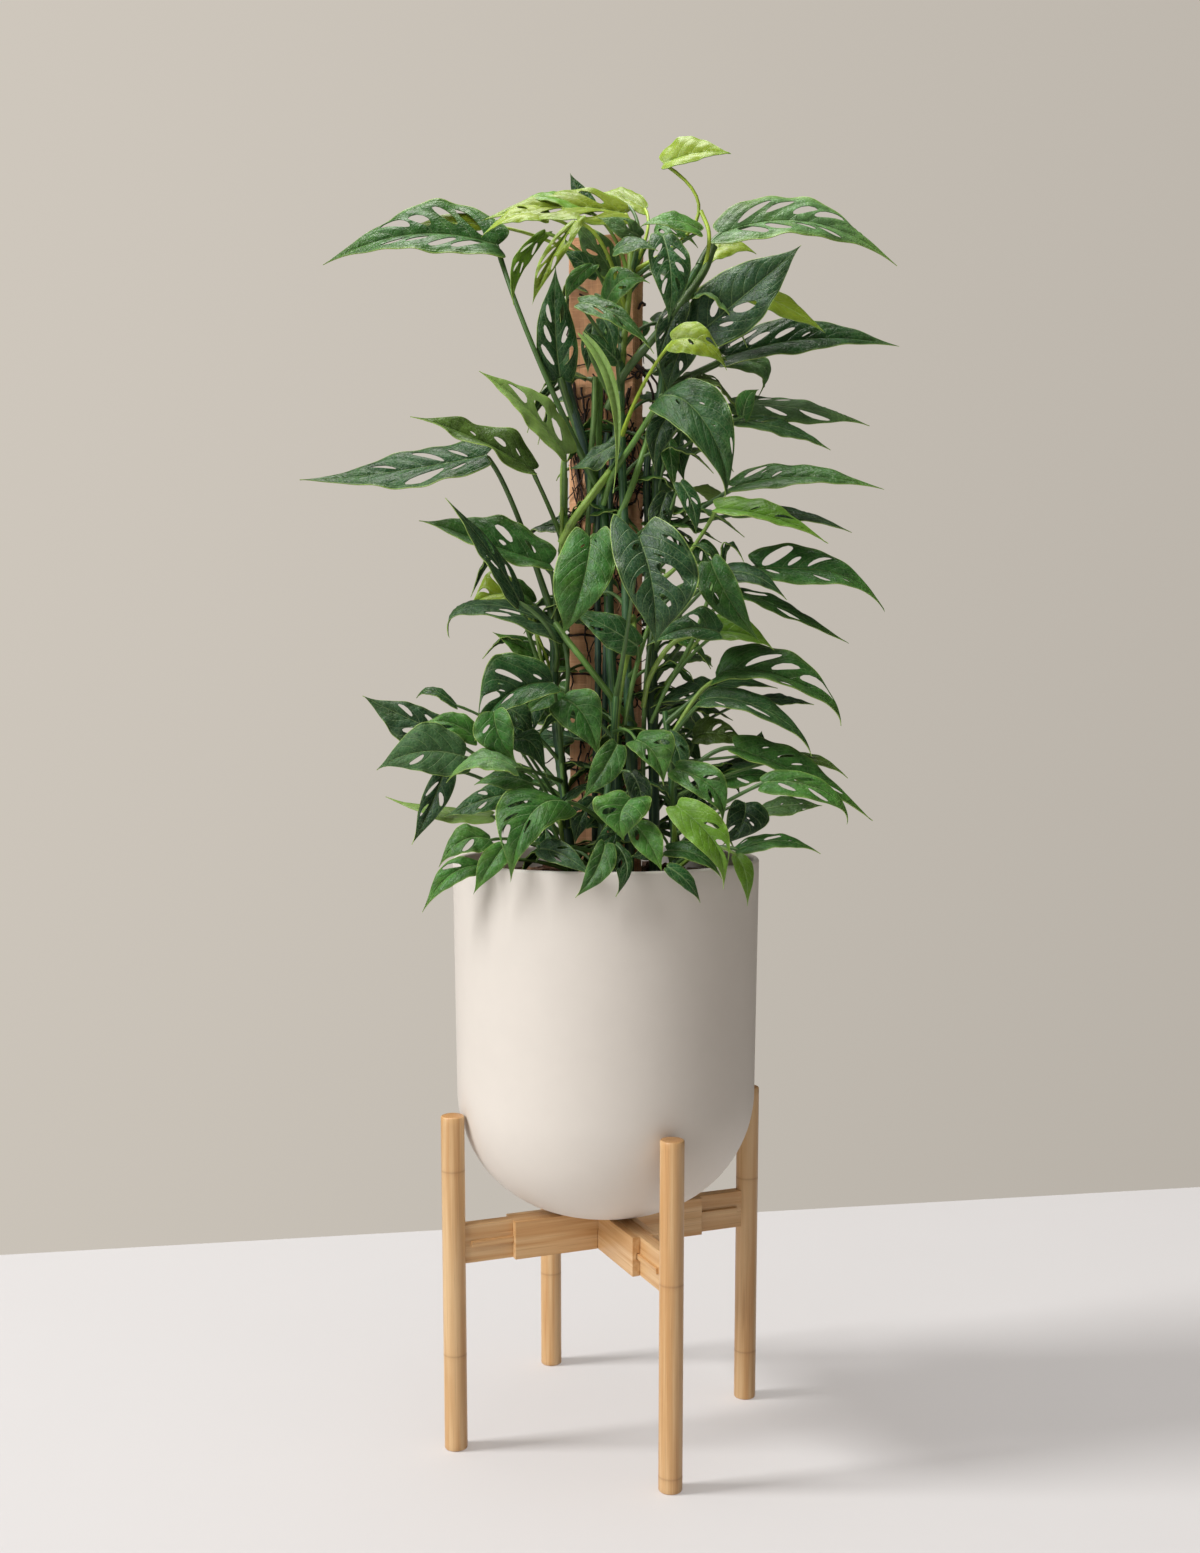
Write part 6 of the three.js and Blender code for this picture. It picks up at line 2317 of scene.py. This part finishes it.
RIGHT_LEAVES = (
    Leaf(1157, ((115,1189,-10),(205,1200,4),(290,1157,28)), (-3,-15,-26), (0,26,20), Tone.GREY, holes=6),
    Leaf(1142, ((97,1164,16),(122,1177,22),(150,1170,24)), (0,-11,-10), (0,10,12), Tone.LIME,
        bend=(95,1162,-6)),
    Leaf(1060, ((93,1090,-52),(147,1136,-62),(195,1177,-64)), (19,-23,-10), (-24,24,6), Tone.BLUE,
        bend=(76,1078,-48), holes=8, seen=((108,1115,9,16),(118,1117,7,12),(137,1117,21,11),(117,1107,4,2),
        (119,1099,12,6))),
    Leaf(1118, ((126,1140,-4),(177,1117,-2),(219,1091,-4)), (-5,-11,-12), (5,10,10), Tone.LIME,
        bend=(104,1148,-14)),
    Leaf(1035, ((121,1066,0),(208,1084,22),(292,1076,40)), (0,-12,-20), (-2,23,16), Tone.DARK,
        bend=(88,1050,-20), holes=7, seen=((131,1082,16,14),(152,1085,16,14),(177,1090,17,11),
        (199,1087,10,2))),
    Leaf(1030, ((120,1062,26),(158,1054,30),(147,1022,26)), (-6,-9,-8), (5,9,8), Tone.GREY,
        bend=(86,1046,4)),
    Leaf(990, ((136,1006,-32),(141,1026,-36),(152,1033,-38)), (7,-6,4), (-9,5,0), Tone.MID,
        bend=(100,996,-34)),
    Leaf(1100, ((56,1186,-84),(64,1145,-94),(61,1101,-90)), (-20,0,-4), (21,0,4), Tone.DARK,
        bend=(70,1170,-60), holes=5),
    Leaf(1000, ((54,1026,-106),(86,1015,-128),(112,972,-136),(118,922,-132)), (-13,-22,-10), (27,17,0),
        Tone.DARK, bend=(56,1034,-70), holes=3, seen=((70,1021,5,2),(95,1019,5,2),(106,998,5,2),
        (114,991,27,23),(131,979,7,7))),
    Leaf(985, ((66,1012,-84),(50,986,-92),(48,951,-92)), (-13,3,-4), (15,-4,0), Tone.DEEP,
        bend=(64,1010,-62)),
    Leaf(920, ((61,983,-62),(64,961,-66),(67,934,-66)), (-9,0,-2), (9,0,4), Tone.MOSS, bend=(58,966,-50)),
    Leaf(960, ((128,1019,12),(196,1014,18),(263,999,18)), (0,-17,-8), (0,9,18), Tone.GREY,
        bend=(92,1010,-16), holes=6, underside_up=True, seen=((158,1024,12,2),(175,1023,15,2),
        (168,1015,22,7),(207,1009,28,12))),
    Leaf(950, ((131,1002,-26),(183,992,-22),(223,972,-22)), (0,-7,-12), (0,9,12), Tone.DARK,
        bend=(92,996,-34), holes=2, seen=((145,1004,15,5),(163,998,17,2))),
    Leaf(880, ((129,936,-52),(203,946,-58),(277,933,-60)), (0,-8,-14), (-4,14,14), Tone.MOSS,
        bend=(86,912,-44), holes=4, seen=((147,952,18,12),(157,951,8,2),(170,948,12,2))),
    Leaf(840, ((110,914,-76),(165,905,-84),(222,881,-86)), (0,-5,-14), (4,15,12), Tone.BRIGHT,
        bend=(76,852,-60), holes=2, seen=((148,914,10,2),(178,906,19,2))),
    Leaf(896, ((131,910,-34),(193,908,-34),(244,889,-36)), (0,-7,-9), (0,6,10), Tone.SLATE,
        bend=(92,900,-36)),
    Leaf(912, ((113,926,-26),(98,932,-26),(83,936,-26)), (0,7,8), (0,-8,-8), Tone.PALE, bend=(84,912,-32)),
    Leaf(860, ((73,940,-84),(86,915,-90),(89,888,-88)), (-9,-3,-2), (9,3,3), Tone.DARK, bend=(68,930,-62),
        holes=2),
    Leaf(800, ((150,856,-50),(196,854,-56),(242,845,-60),(276,810,-64)), (2,-15,-12), (-6,24,10), Tone.MOSS,
        bend=(102,846,-38), holes=7, seen=((169,865,36,15),(188,860,15,4),(165,853,15,3),(214,845,17,7),
        (240,842,10,3),(215,856,26,6))),
    Leaf(811, ((116,858,-66),(122,878,-72),(138,862,-76)), (-4,2,-9), (4,3,9), Tone.DARK, bend=(88,848,-56),
        holes=1),
    Leaf(824, ((110,857,-92),(100,875,-96),(85,876,-96)), (0,5,7), (0,-6,-7), Tone.DARK, bend=(84,842,-70),
        holes=1),
    Leaf(780, ((112,850,-82),(148,847,-94),(180,823,-96)), (-4,-9,-8), (4,9,8), Tone.BLUE,
        bend=(86,822,-64)),
    Leaf(770, ((104,861,-112),(123,822,-122),(153,781,-120)), (-20,-9,-4), (14,8,-2), Tone.MOSS,
        bend=(82,836,-84), holes=3, seen=((104,837,5,8),(109,824,9,11))),
    Leaf(740, ((131,831,-30),(185,810,-34),(241,778,-36)), (-3,-6,-11), (3,7,12), Tone.MOSS,
        bend=(92,808,-32), holes=3, seen=((148,827,18,6),(181,812,24,8))),
    Leaf(720, ((98,791,-92),(136,789,-102),(168,774,-106)), (0,-8,-12), (3,17,8), Tone.BRIGHT,
        bend=(74,762,-70)),
    Leaf(715, ((112,790,-136),(78,794,-142),(38,776,-138)), (4,20,6), (0,-11,-10), Tone.DARK,
        bend=(84,776,-96), holes=1, wave=0.2),
)

LOW_LEAVES = (
    Leaf(700, ((109,744,-86),(150,752,-94),(206,732,-98),(234,697,-100)), (-2,-8,-22), (10,27,12),
        Tone.MOSS, bend=(90,728,-84), holes=7, seen=((155,760,36,14),(179,756,27,8),(216,745,35,14),
        (179,738,5,4),(218,734,8,3))),
    Leaf(709, ((106,732,-66),(78,730,-70),(43,716,-74)), (2,13,8), (0,-8,-10), Tone.BLUE, bend=(88,722,-66),
        holes=3, seen=((60,724,7,8),(81,726,24,12))),
    Leaf(690, ((95,733,-46),(133,741,-50),(170,733,-52)), (0,-6,-11), (0,5,11), Tone.DARK,
        bend=(82,712,-54)),
    Leaf(680, ((95,722,-108),(133,722,-118),(178,701,-122),(206,667,-122)), (-4,-9,-12), (4,12,11),
        Tone.DARK, bend=(78,706,-92), holes=4, seen=((111,715,11,2),(150,713,17,2))),
    Leaf(670, ((150,724,-52),(180,723,-48),(207,718,-46)), (0,-5,-9), (0,5,9), Tone.SLATE,
        bend=(100,712,-16)),
    Leaf(650, ((88,687,-64),(115,689,-68),(144,675,-70)), (-2,-11,-8), (0,16,9), Tone.OLIVE,
        bend=(84,660,-70), holes=3, seen=((110,693,12,2),(122,692,8,2))),
    Leaf(636, ((129,674,-90),(196,647,-98),(267,604,-100)), (-4,-6,-18), (6,20,10), Tone.MID,
        bend=(108,682,-90), holes=6, seen=((179,667,18,2),(190,659,11,2),(226,634,18,2),(207,636,8,2),
        (157,675,8,2))),
    Leaf(661, ((143,668,-78),(150,682,-80),(155,692,-80)), (9,0,3), (-7,0,3), Tone.DARK,
        bend=(112,664,-76)),
    Leaf(625, ((176,664,-74),(212,662,-76),(241,645,-78)), (0,-5,-6), (0,6,6), Tone.OLIVE,
        bend=(120,652,-72)),
    Leaf(607, ((105,652,-50),(140,661,-52),(176,660,-52)), (0,-6,-11), (0,5,12), Tone.DARK,
        bend=(84,632,-60)),
    Leaf(597, ((112,642,-66),(143,648,-68),(175,645,-68)), (0,-11,-8), (0,8,9), Tone.MID, bend=(88,622,-72),
        holes=2, seen=((135,644,19,6),)),
    Leaf(588, ((156,640,-124),(190,640,-130),(226,626,-130),(242,598,-126)), (-2,-14,-6), (2,12,4),
        Tone.FRESH, bend=(116,622,-110), holes=1),
    Leaf(616, ((69,654,-134),(97,642,-150),(113,624,-154),(114,597,-150)), (-9,-13,-6), (13,13,-2),
        Tone.MID, bend=(64,640,-104), holes=1),
    Leaf(580, ((70,617,-158),(96,595,-170),(113,569,-172),(116,534,-166)), (-14,-12,-6), (17,12,-2),
        Tone.BRIGHT, bend=(66,606,-120), holes=3, seen=((116,574,17,16),(105,598,15,6))),
    Leaf(572, ((138,620,-96),(134,598,-104),(115,577,-104)), (-17,3,-4), (25,-4,-2), Tone.DEEP,
        bend=(108,616,-92), holes=3, seen=((139,605,3,2),(145,599,6,2),(121,595,6,7))),
    Leaf(565, ((158,614,-72),(188,618,-76),(215,616,-76)), (0,-10,-7), (0,9,9), Tone.GREY,
        bend=(116,600,-78), holes=4, seen=((156,621,2,2),(175,618,2,2),(194,619,2,2),(198,610,2,2))),
    Leaf(558, ((131,573,-118),(173,582,-122),(214,570,-122)), (0,-8,-9), (0,8,10), Tone.MOSS,
        bend=(104,584,-108), holes=3, seen=((165,585,13,7),(135,580,6,2),(147,579,6,2),(183,582,2,2))),
    Leaf(545, ((61,572,-146),(92,567,-158),(115,544,-154)), (-4,-7,-7), (2,11,6), Tone.MOSS,
        bend=(62,570,-116), holes=1, seen=((111,555,2,2),)),
    Leaf(551, ((130,567,-134),(139,546,-140),(140,517,-136)), (-8,-3,-3), (9,3,2), Tone.BRIGHT,
        bend=(106,590,-124)),
    Leaf(541, ((61,556,-184),(80,541,-184),(94,520,-178)), (-5,-6,-3), (6,6,4), Tone.DARK,
        bend=(62,566,-146)),
)

FRONT_LEAVES = (
    Leaf(728, ((32,886,-158),(46,833,-172),(48,776,-168)), (-33,2,-4), (50,-2,-4), Tone.BLUE,
        bend=(24,806,-146), holes=8, lobe=0.26, seen=((68,885,24,9),(52,868,13,4),(64,849,29,22),
        (31,875,6,8),(35,840,12,23),(59,823,11,15),(41,900,7,15))),
    Leaf(690, ((29,683,-142),(48,668,-154),(57,637,-154)), (-10,-9,-6), (23,14,-2), Tone.MID,
        bend=(20,700,-112), holes=2, lobe=0.14),
    Leaf(660, ((10,678,-126),(-6,650,-136),(-25,623,-134)), (-12,7,-2), (14,-8,-2), Tone.MOSS,
        bend=(8,680,-104)),
    Leaf(590, ((24,624,-164),(13,606,-174),(17,581,-174)), (-30,8,-2), (25,-3,-2), Tone.FRESH,
        bend=(10,618,-126), holes=1, lobe=0.18, seen=((4,612,17,6),)),
    Leaf(600, ((-41,621,-142),(-70,615,-170),(-88,584,-184),(-96,541,-184)), (-36,11,4), (11,-20,-10),
        Tone.MID, bend=(-22,618,-116), holes=5, seen=((-88,620,25,6),(-97,606,17,6),(-102,589,15,13),
        (-79,597,5,8))),
    Leaf(575, ((29,598,-154),(44,577,-168),(55,551,-170)), (-12,-8,-3), (14,7,-2), Tone.FRESH,
        bend=(14,594,-124), holes=1, seen=((30,588,8,7),)),
    Leaf(560, ((-2,578,-172),(-13,549,-186),(-32,525,-186)), (-9,6,-1), (15,-4,-3), Tone.MOSS,
        bend=(-2,580,-136)),
    Leaf(552, ((9,578,-160),(20,553,-178),(8,527,-180)), (-13,0,-3), (6,2,4), Tone.DARK, bend=(4,572,-130),
        holes=1),
    Leaf(548, ((-66,574,-158),(-40,566,-174),(-12,544,-178)), (-6,-10,-5), (4,12,3), Tone.SLATE,
        bend=(-40,578,-132), holes=2),
    Leaf(570, ((-102,578,-150),(-118,556,-158),(-134,528,-156)), (-13,4,-2), (14,-3,-2), Tone.FRESH,
        bend=(-62,584,-126)),
)

BACK_LEAVES = (
    Leaf(1130, ((-8,1158,62),(-8,1160,108),(-4,1120,146)), (26,-4,2), (-26,-4,0), Tone.MID, holes=4),
    Leaf(1080, ((16,1100,58),(22,1096,92),(18,1056,118)), (22,-6,-8), (-20,-6,8), Tone.DARK, holes=3),
    Leaf(1020, ((-12,1052,66),(-14,1048,118),(-6,998,158)), (26,-5,4), (-27,-5,0), Tone.MOSS, holes=4),
    Leaf(960, ((14,996,60),(20,986,98),(16,938,128)), (24,-6,-6), (-20,-6,6), Tone.DARK, holes=3),
    Leaf(880, ((-8,920,72),(-10,918,128),(-4,866,172)), (27,-6,0), (-28,-6,0), Tone.BLUE, holes=5),
    Leaf(800, ((22,838,70),(40,830,118),(44,778,150)), (24,-8,-8), (-26,-4,8), Tone.MOSS, holes=4),
    Leaf(780, ((-24,820,64),(-30,812,104),(-24,766,134)), (24,-5,8), (-24,-8,-6), Tone.DARK, holes=3),
    Leaf(690, ((-46,736,78),(-72,732,122),(-76,684,156)), (27,-3,12), (-24,-10,-10), Tone.MID, holes=4),
    Leaf(680, ((50,722,74),(82,714,118),(90,668,150)), (23,-9,-12), (-27,-3,10), Tone.DARK, holes=4),
    Leaf(650, ((4,690,96),(4,682,156),(8,628,200)), (27,-6,0), (-27,-6,0), Tone.MOSS, holes=5),
    Leaf(600, ((58,640,96),(88,626,140),(92,582,168)), (22,-9,-10), (-24,-2,10), Tone.MID, holes=3),
    Leaf(586, ((-56,644,98),(-86,630,140),(-92,584,170)), (24,-2,12), (-22,-9,-10), Tone.DARK, holes=3),
    Leaf(570, ((2,606,122),(0,598,176),(-4,550,210)), (25,-5,0), (-25,-5,0), Tone.MOSS, holes=3),
)

VINES = (
    Vine("vine_left", 5, ((-30,495,-62),(-42,620,-56),(-52,720,-50),(-52,800,-44),(-44,880,-38),
         (-42,945,-36)), LEFT_LEAVES),
    Vine("vine_tall", 6, ((6,495,-58),(10,640,-48),(4,760,-46),(0,860,-46),(-6,930,-42),(-20,972,-38)),
         TALL_LEAVES),
    Vine("vine_top", 5, ((20,495,-78),(24,640,-68),(20,760,-64),(18,880,-60),(14,990,-54),(14,1060,-46),
         (20,1130,-40),(33,1176,-34)), TOP_LEAVES),
    Vine("vine_right", 5.5, ((47,495,-50),(47,640,-44),(45,760,-43),(48,860,-42),(50,950,-42),(52,1010,-42),
         (62,1085,-42),(78,1132,-38),(93,1158,-32)), RIGHT_LEAVES),
    Vine("vine_low", 4.5, ((66,495,-84),(68,580,-82),(64,660,-80),(58,712,-78)), LOW_LEAVES),
    Vine("vine_front", 4.5, ((-14,495,-104),(-6,580,-98),(4,660,-90),(10,736,-88)), FRONT_LEAVES),
    Vine("vine_back", 5, ((4,505,62),(0,640,48),(4,800,42),(-2,960,40),(2,1080,38),(-6,1150,34)),
         BACK_LEAVES),
)

INNER = {
    "vine_right": (
        Leaf(1040, ((84,1092,-40),(68,1060,-48),(60,1030,-46)), (-19,3,-2), (17,-3,0), Tone.BLUE, holes=4),
        Leaf(1070, ((74,1120,-60),(60,1090,-66),(50,1056,-62)), (-13,2,-2), (13,-2,0), Tone.DEEP, holes=3),
        Leaf(960, ((78,1000,-30),(72,972,-34),(78,940,-34)), (-15,0,-2), (14,0,0), Tone.DARK, holes=3),
        Leaf(900, ((60,930,-58),(52,902,-62),(56,872,-62)), (-12,0,-2), (13,0,0), Tone.DEEP, holes=2),
        Leaf(850, ((92,880,-40),(104,856,-46),(112,828,-46)), (-11,-4,-2), (12,4,0), Tone.MOSS, holes=3),
    ),
    "vine_top": (
        Leaf(1060, ((-14,1098,-72),(-18,1074,-78),(-19,1048,-78)), (-9,-1,-3), (9,1,0), Tone.DEEP, holes=1),
        Leaf(1050, ((-5,1104,-68),(4,1088,-74),(8,1063,-72)), (-9,-2,-2), (9,3,0), Tone.DARK, holes=1),
        Leaf(1130, ((48,1190,-30),(66,1196,-34),(92,1176,-36)), (-2,-11,-8), (2,10,8), Tone.FRESH, holes=3),
        Leaf(1110, ((-62,1190,-70),(-88,1158,-78),(-94,1118,-76)), (-8,2,-6), (8,-2,4), Tone.BRIGHT,
            bend=(-20,1180,-60), holes=2),
        Leaf(1128, ((-60,1206,-60),(-92,1208,-66),(-126,1186,-70)), (0,9,10), (-2,-8,-10), Tone.LIME,
            bend=(-14,1196,-50), holes=1),
        Leaf(1140, ((-20,1212,-40),(-56,1226,-46),(-84,1222,-48)), (0,6,12), (0,-6,-12), Tone.BRIGHT,
            bend=(10,1200,-40)),
        Leaf(1135, ((-128,1198,-50),(-160,1201,-54),(-196,1196,-56)), (0,9,4), (0,-8,-4), Tone.LIME,
            bend=(-60,1196,-44)),
    ),
    "vine_low": (
        Leaf(600, ((84,640,-40),(92,618,-50),(86,592,-50)), (-14,-2,-2), (14,2,0), Tone.DEEP, holes=3),
        Leaf(570, ((96,596,-84),(84,580,-94),(66,572,-94)), (-3,12,-2), (3,-10,0), Tone.DARK, holes=2),
        Leaf(640, ((60,690,-92),(72,668,-100),(74,640,-98)), (-12,-2,-2), (12,2,0), Tone.DARK, holes=2),
        Leaf(560, ((52,590,-118),(40,572,-128),(22,566,-128)), (-4,11,-2), (4,-10,0), Tone.DEEP, holes=1),
    ),
    "vine_front": (
        Leaf(600, ((-12,624,-96),(-26,604,-108),(-32,578,-106)), (-13,3,-2), (13,-3,0), Tone.DEEP, holes=2),
        Leaf(570, ((16,600,-116),(0,584,-126),(-18,574,-126)), (-4,12,-2), (4,-11,0), Tone.DARK, holes=1),
        Leaf(640, ((24,650,-108),(34,626,-118),(30,598,-116)), (-12,-2,-2), (12,2,0), Tone.DEEP, holes=1),
    ),
    "vine_left": (
        Leaf(620, ((-86,640,-66),(-100,616,-74),(-104,588,-72)), (-13,3,-2), (13,-3,0), Tone.DEEP, holes=3),
        Leaf(600, ((-66,606,-90),(-62,584,-100),(-72,560,-100)), (-12,0,-2), (12,0,0), Tone.DARK, holes=2),
        Leaf(690, ((-70,716,-60),(-84,694,-68),(-84,664,-66)), (-12,2,-2), (12,-2,0), Tone.DEEP, holes=2),
        Leaf(770, ((-74,820,-30),(-98,834,-34),(-124,820,-36)), (3,11,6), (-3,-9,-8), Tone.MOSS, holes=2),
    ),
}

SHOOTS = (
    Shoot(4.1, StalkTone.TEAL, ((-14,900,-42),(-20,966,-44),(-32,1008,-48),(-43,1050,-50)), 0.35),
    Shoot(2.8, StalkTone.OLD, ((-20,880,-40),(-17,930,-46),(-16,968,-50),(-13,1005,-52),(-12,1046,-52))),
    Shoot(3.1, StalkTone.GREEN, ((-12,880,-38),(-8,940,-42),(-8,1000,-44),(-6,1050,-46),(0,1096,-46),
        (8,1140,-44))),
    Shoot(3.1, StalkTone.YOUNG, ((10,960,-38),(14,1010,-42),(15,1060,-46),(20,1110,-46),(23,1150,-44),
        (24,1182,-42))),
    Shoot(3.7, StalkTone.OLD, ((0,1014,-44),(18,1050,-54),(44,1082,-62),(72,1116,-60),(96,1150,-46),
        (106,1176,-34))),
    Shoot(2.7, StalkTone.GREEN, ((-4,918,-56),(6,948,-64),(30,986,-84),(54,1024,-104))),
    Shoot(3.7, StalkTone.YOUNG, ((-46,880,-52),(-34,902,-58),(-18,924,-62),(-4,942,-60),(6,954,-50))),
    Shoot(3.0, StalkTone.GREEN, ((2,884,-52),(12,906,-58),(24,934,-62),(33,960,-58),(41,984,-50),
        (49,1006,-42))),
    Shoot(3.2, StalkTone.TEAL, ((-8,850,-38),(-9,903,-42),(-6,945,-44),(0,990,-42))),
    Shoot(3.1, StalkTone.TEAL, ((4,850,-38),(3,900,-42),(4,950,-42),(10,1000,-40))),
    Shoot(3.4, StalkTone.TEAL, ((40,800,-34),(41,880,-36),(40,955,-38),(46,1010,-36))),
    Shoot(1.9, StalkTone.YOUNG, ((-46,870,-48),(-45,915,-54),(-45,950,-56),(-42,972,-56))),
    Shoot(1.6, StalkTone.GREEN, ((-41,870,-44),(-41,930,-50),(-42,968,-54))),
    Shoot(3.0, StalkTone.GREEN, ((-52,800,-84),(-40,783,-90),(-24,763,-94),(-4,737,-86),(14,714,-76),
        (28,697,-62))),
    Shoot(3.1, StalkTone.YOUNG, ((8,680,-78),(10,712,-84),(15,745,-88),(21,772,-84),(26,790,-70),
        (26,806,-48))),
    Shoot(2.3, StalkTone.GREEN, ((16,690,-78),(23,728,-86),(31,762,-86),(38,786,-76),(46,808,-48))),
    Shoot(3.1, StalkTone.TEAL, ((-12,540,-40),(-12,640,-40),(-9,740,-40),(-10,850,-38))),
    Shoot(2.9, StalkTone.TEAL, ((-3,540,-38),(-3,640,-38),(-2,720,-40),(-1,800,-40))),
    Shoot(2.9, StalkTone.TEAL, ((30,600,-52),(26,690,-52),(20,740,-50),(14,790,-46))),
    Shoot(2.3, StalkTone.OLD, ((36,640,-64),(37,700,-64),(40,752,-64),(46,800,-46))),
    Shoot(2.4, StalkTone.YOUNG, ((36,716,-74),(44,748,-80),(66,780,-88),(98,791,-92))),
    Shoot(2.1, StalkTone.GREEN, ((-90,826,-54),(-74,776,-60),(-60,738,-60),(-50,700,-54))),
    Shoot(2.0, StalkTone.YOUNG, ((-75,818,-32),(-66,764,-50),(-56,722,-54),(-48,680,-52))),
    Shoot(2.0, StalkTone.GREEN, ((-46,700,-58),(-45,660,-60),(-42,620,-60),(-36,580,-60))),
    Shoot(2.1, StalkTone.YOUNG, ((-50,622,-84),(-47,600,-84),(-43,572,-78))),
    Shoot(2.0, StalkTone.GREEN, ((44,700,-70),(62,740,-76),(86,784,-80),(110,848,-82))),
    Shoot(1.9, StalkTone.LIME, ((94,1212,-40),(102,1190,-46),(99,1162,-44),(88,1138,-42))),
    Shoot(2.0, StalkTone.YOUNG, ((50,660,-72),(72,700,-82),(92,730,-86),(106,742,-86))),
)

ROOTS = (
    Root(1.5, ((24,1062,2),(34,1052,5),(44,1036,4),(46,1018,2),(40,1004,1))),
    Root(1.3, ((30,1058,3),(42,1050,6),(50,1038,5),(50,1022,3))),
    Root(1.2, ((-6,700,4),(4,694,7),(6,684,6),(-2,676,3),(-12,678,2))),
    Root(1.1, ((-8,712,4),(6,704,8),(8,690,7),(0,668,3))),
    Root(1.2, ((-8,952,4),(10,946,8),(30,940,7),(52,926,4))),
    Root(1.0, ((-6,944,5),(14,938,8),(34,930,7),(50,918,4))),
    Root(1.0, ((-2,958,4),(16,950,8),(36,944,7),(54,936,4))),
    Root(1.3, ((-34,1040,2),(-30,1010,3),(-34,980,3),(-28,950,2),(-30,920,2),(-26,893,1))),
    Root(1.1, ((-26,1036,2),(-22,1004,4),(-26,976,3),(-18,944,3),(-20,906,2))),
    Root(1.4, ((-12,1030,3),(-14,1000,4),(-8,970,4),(-12,940,3),(-6,900,2),(-10,870,1))),
    Root(1.2, ((12,1010,3),(8,980,4),(14,950,4),(10,915,3),(16,880,2))),
    Root(1.0, ((-34,764,2),(-46,764,3),(-50,756,3)), False),
    Root(1.0, ((-40,758,2),(-34,744,3),(-36,730,3),(-27,720,2))),
    Root(0.8, ((-37,678,-16),(-50,668,-22),(-62,660,-26),(-72,664,-30)), False),
    Root(0.7, ((-39,1035,-16),(-48,1036,-22),(-54,1030,-26),(-50,1024,-28)), False),
    Root(1.3, ((-20,880,2),(-24,850,3),(-18,820,4),(-22,790,3),(-16,760,2))),
    Root(1.2, ((4,870,3),(0,840,4),(6,810,4),(2,780,3),(8,740,2),(4,700,1))),
    Root(1.1, ((-28,700,2),(-26,676,3),(-30,650,3),(-24,622,2),(-26,596,1))),
    Root(1.3, ((10,700,3),(4,670,5),(8,640,4),(2,610,3),(4,585,1))),
)


# ---------------------------------------------------------------- the whole


def main() -> None:
    """Builds the studio and every piece."""
    Studio().build()
    BambooStand().build({grain: BambooFinish(grain).build() for grain in Grain})
    pot, plank = Pot(), Plank()
    settle(pot.build(PotFinish().build()), "base", "pot")
    settle(pot.soil(SoilFinish().build()), "base", "soil")
    settle(plank.build(PlankFinish().build()), "base", "plank")
    leaf, stem = LeafFinish().build(), StemFinish().build()
    for number, vine in enumerate(VINES):
        foliage = Foliage(vine, number)
        settle(foliage.blades(leaf), "base", vine.name)
        settle(foliage.stalks(stem), "base", vine.name)
    settle(Shoots().build(stem), "base")
    settle(AerialRoots(plank).build(RootFinish().build()), "base")


if __name__ == "__main__":
    logging.basicConfig(level=logging.INFO, format="%(name)s: %(message)s")
    main()
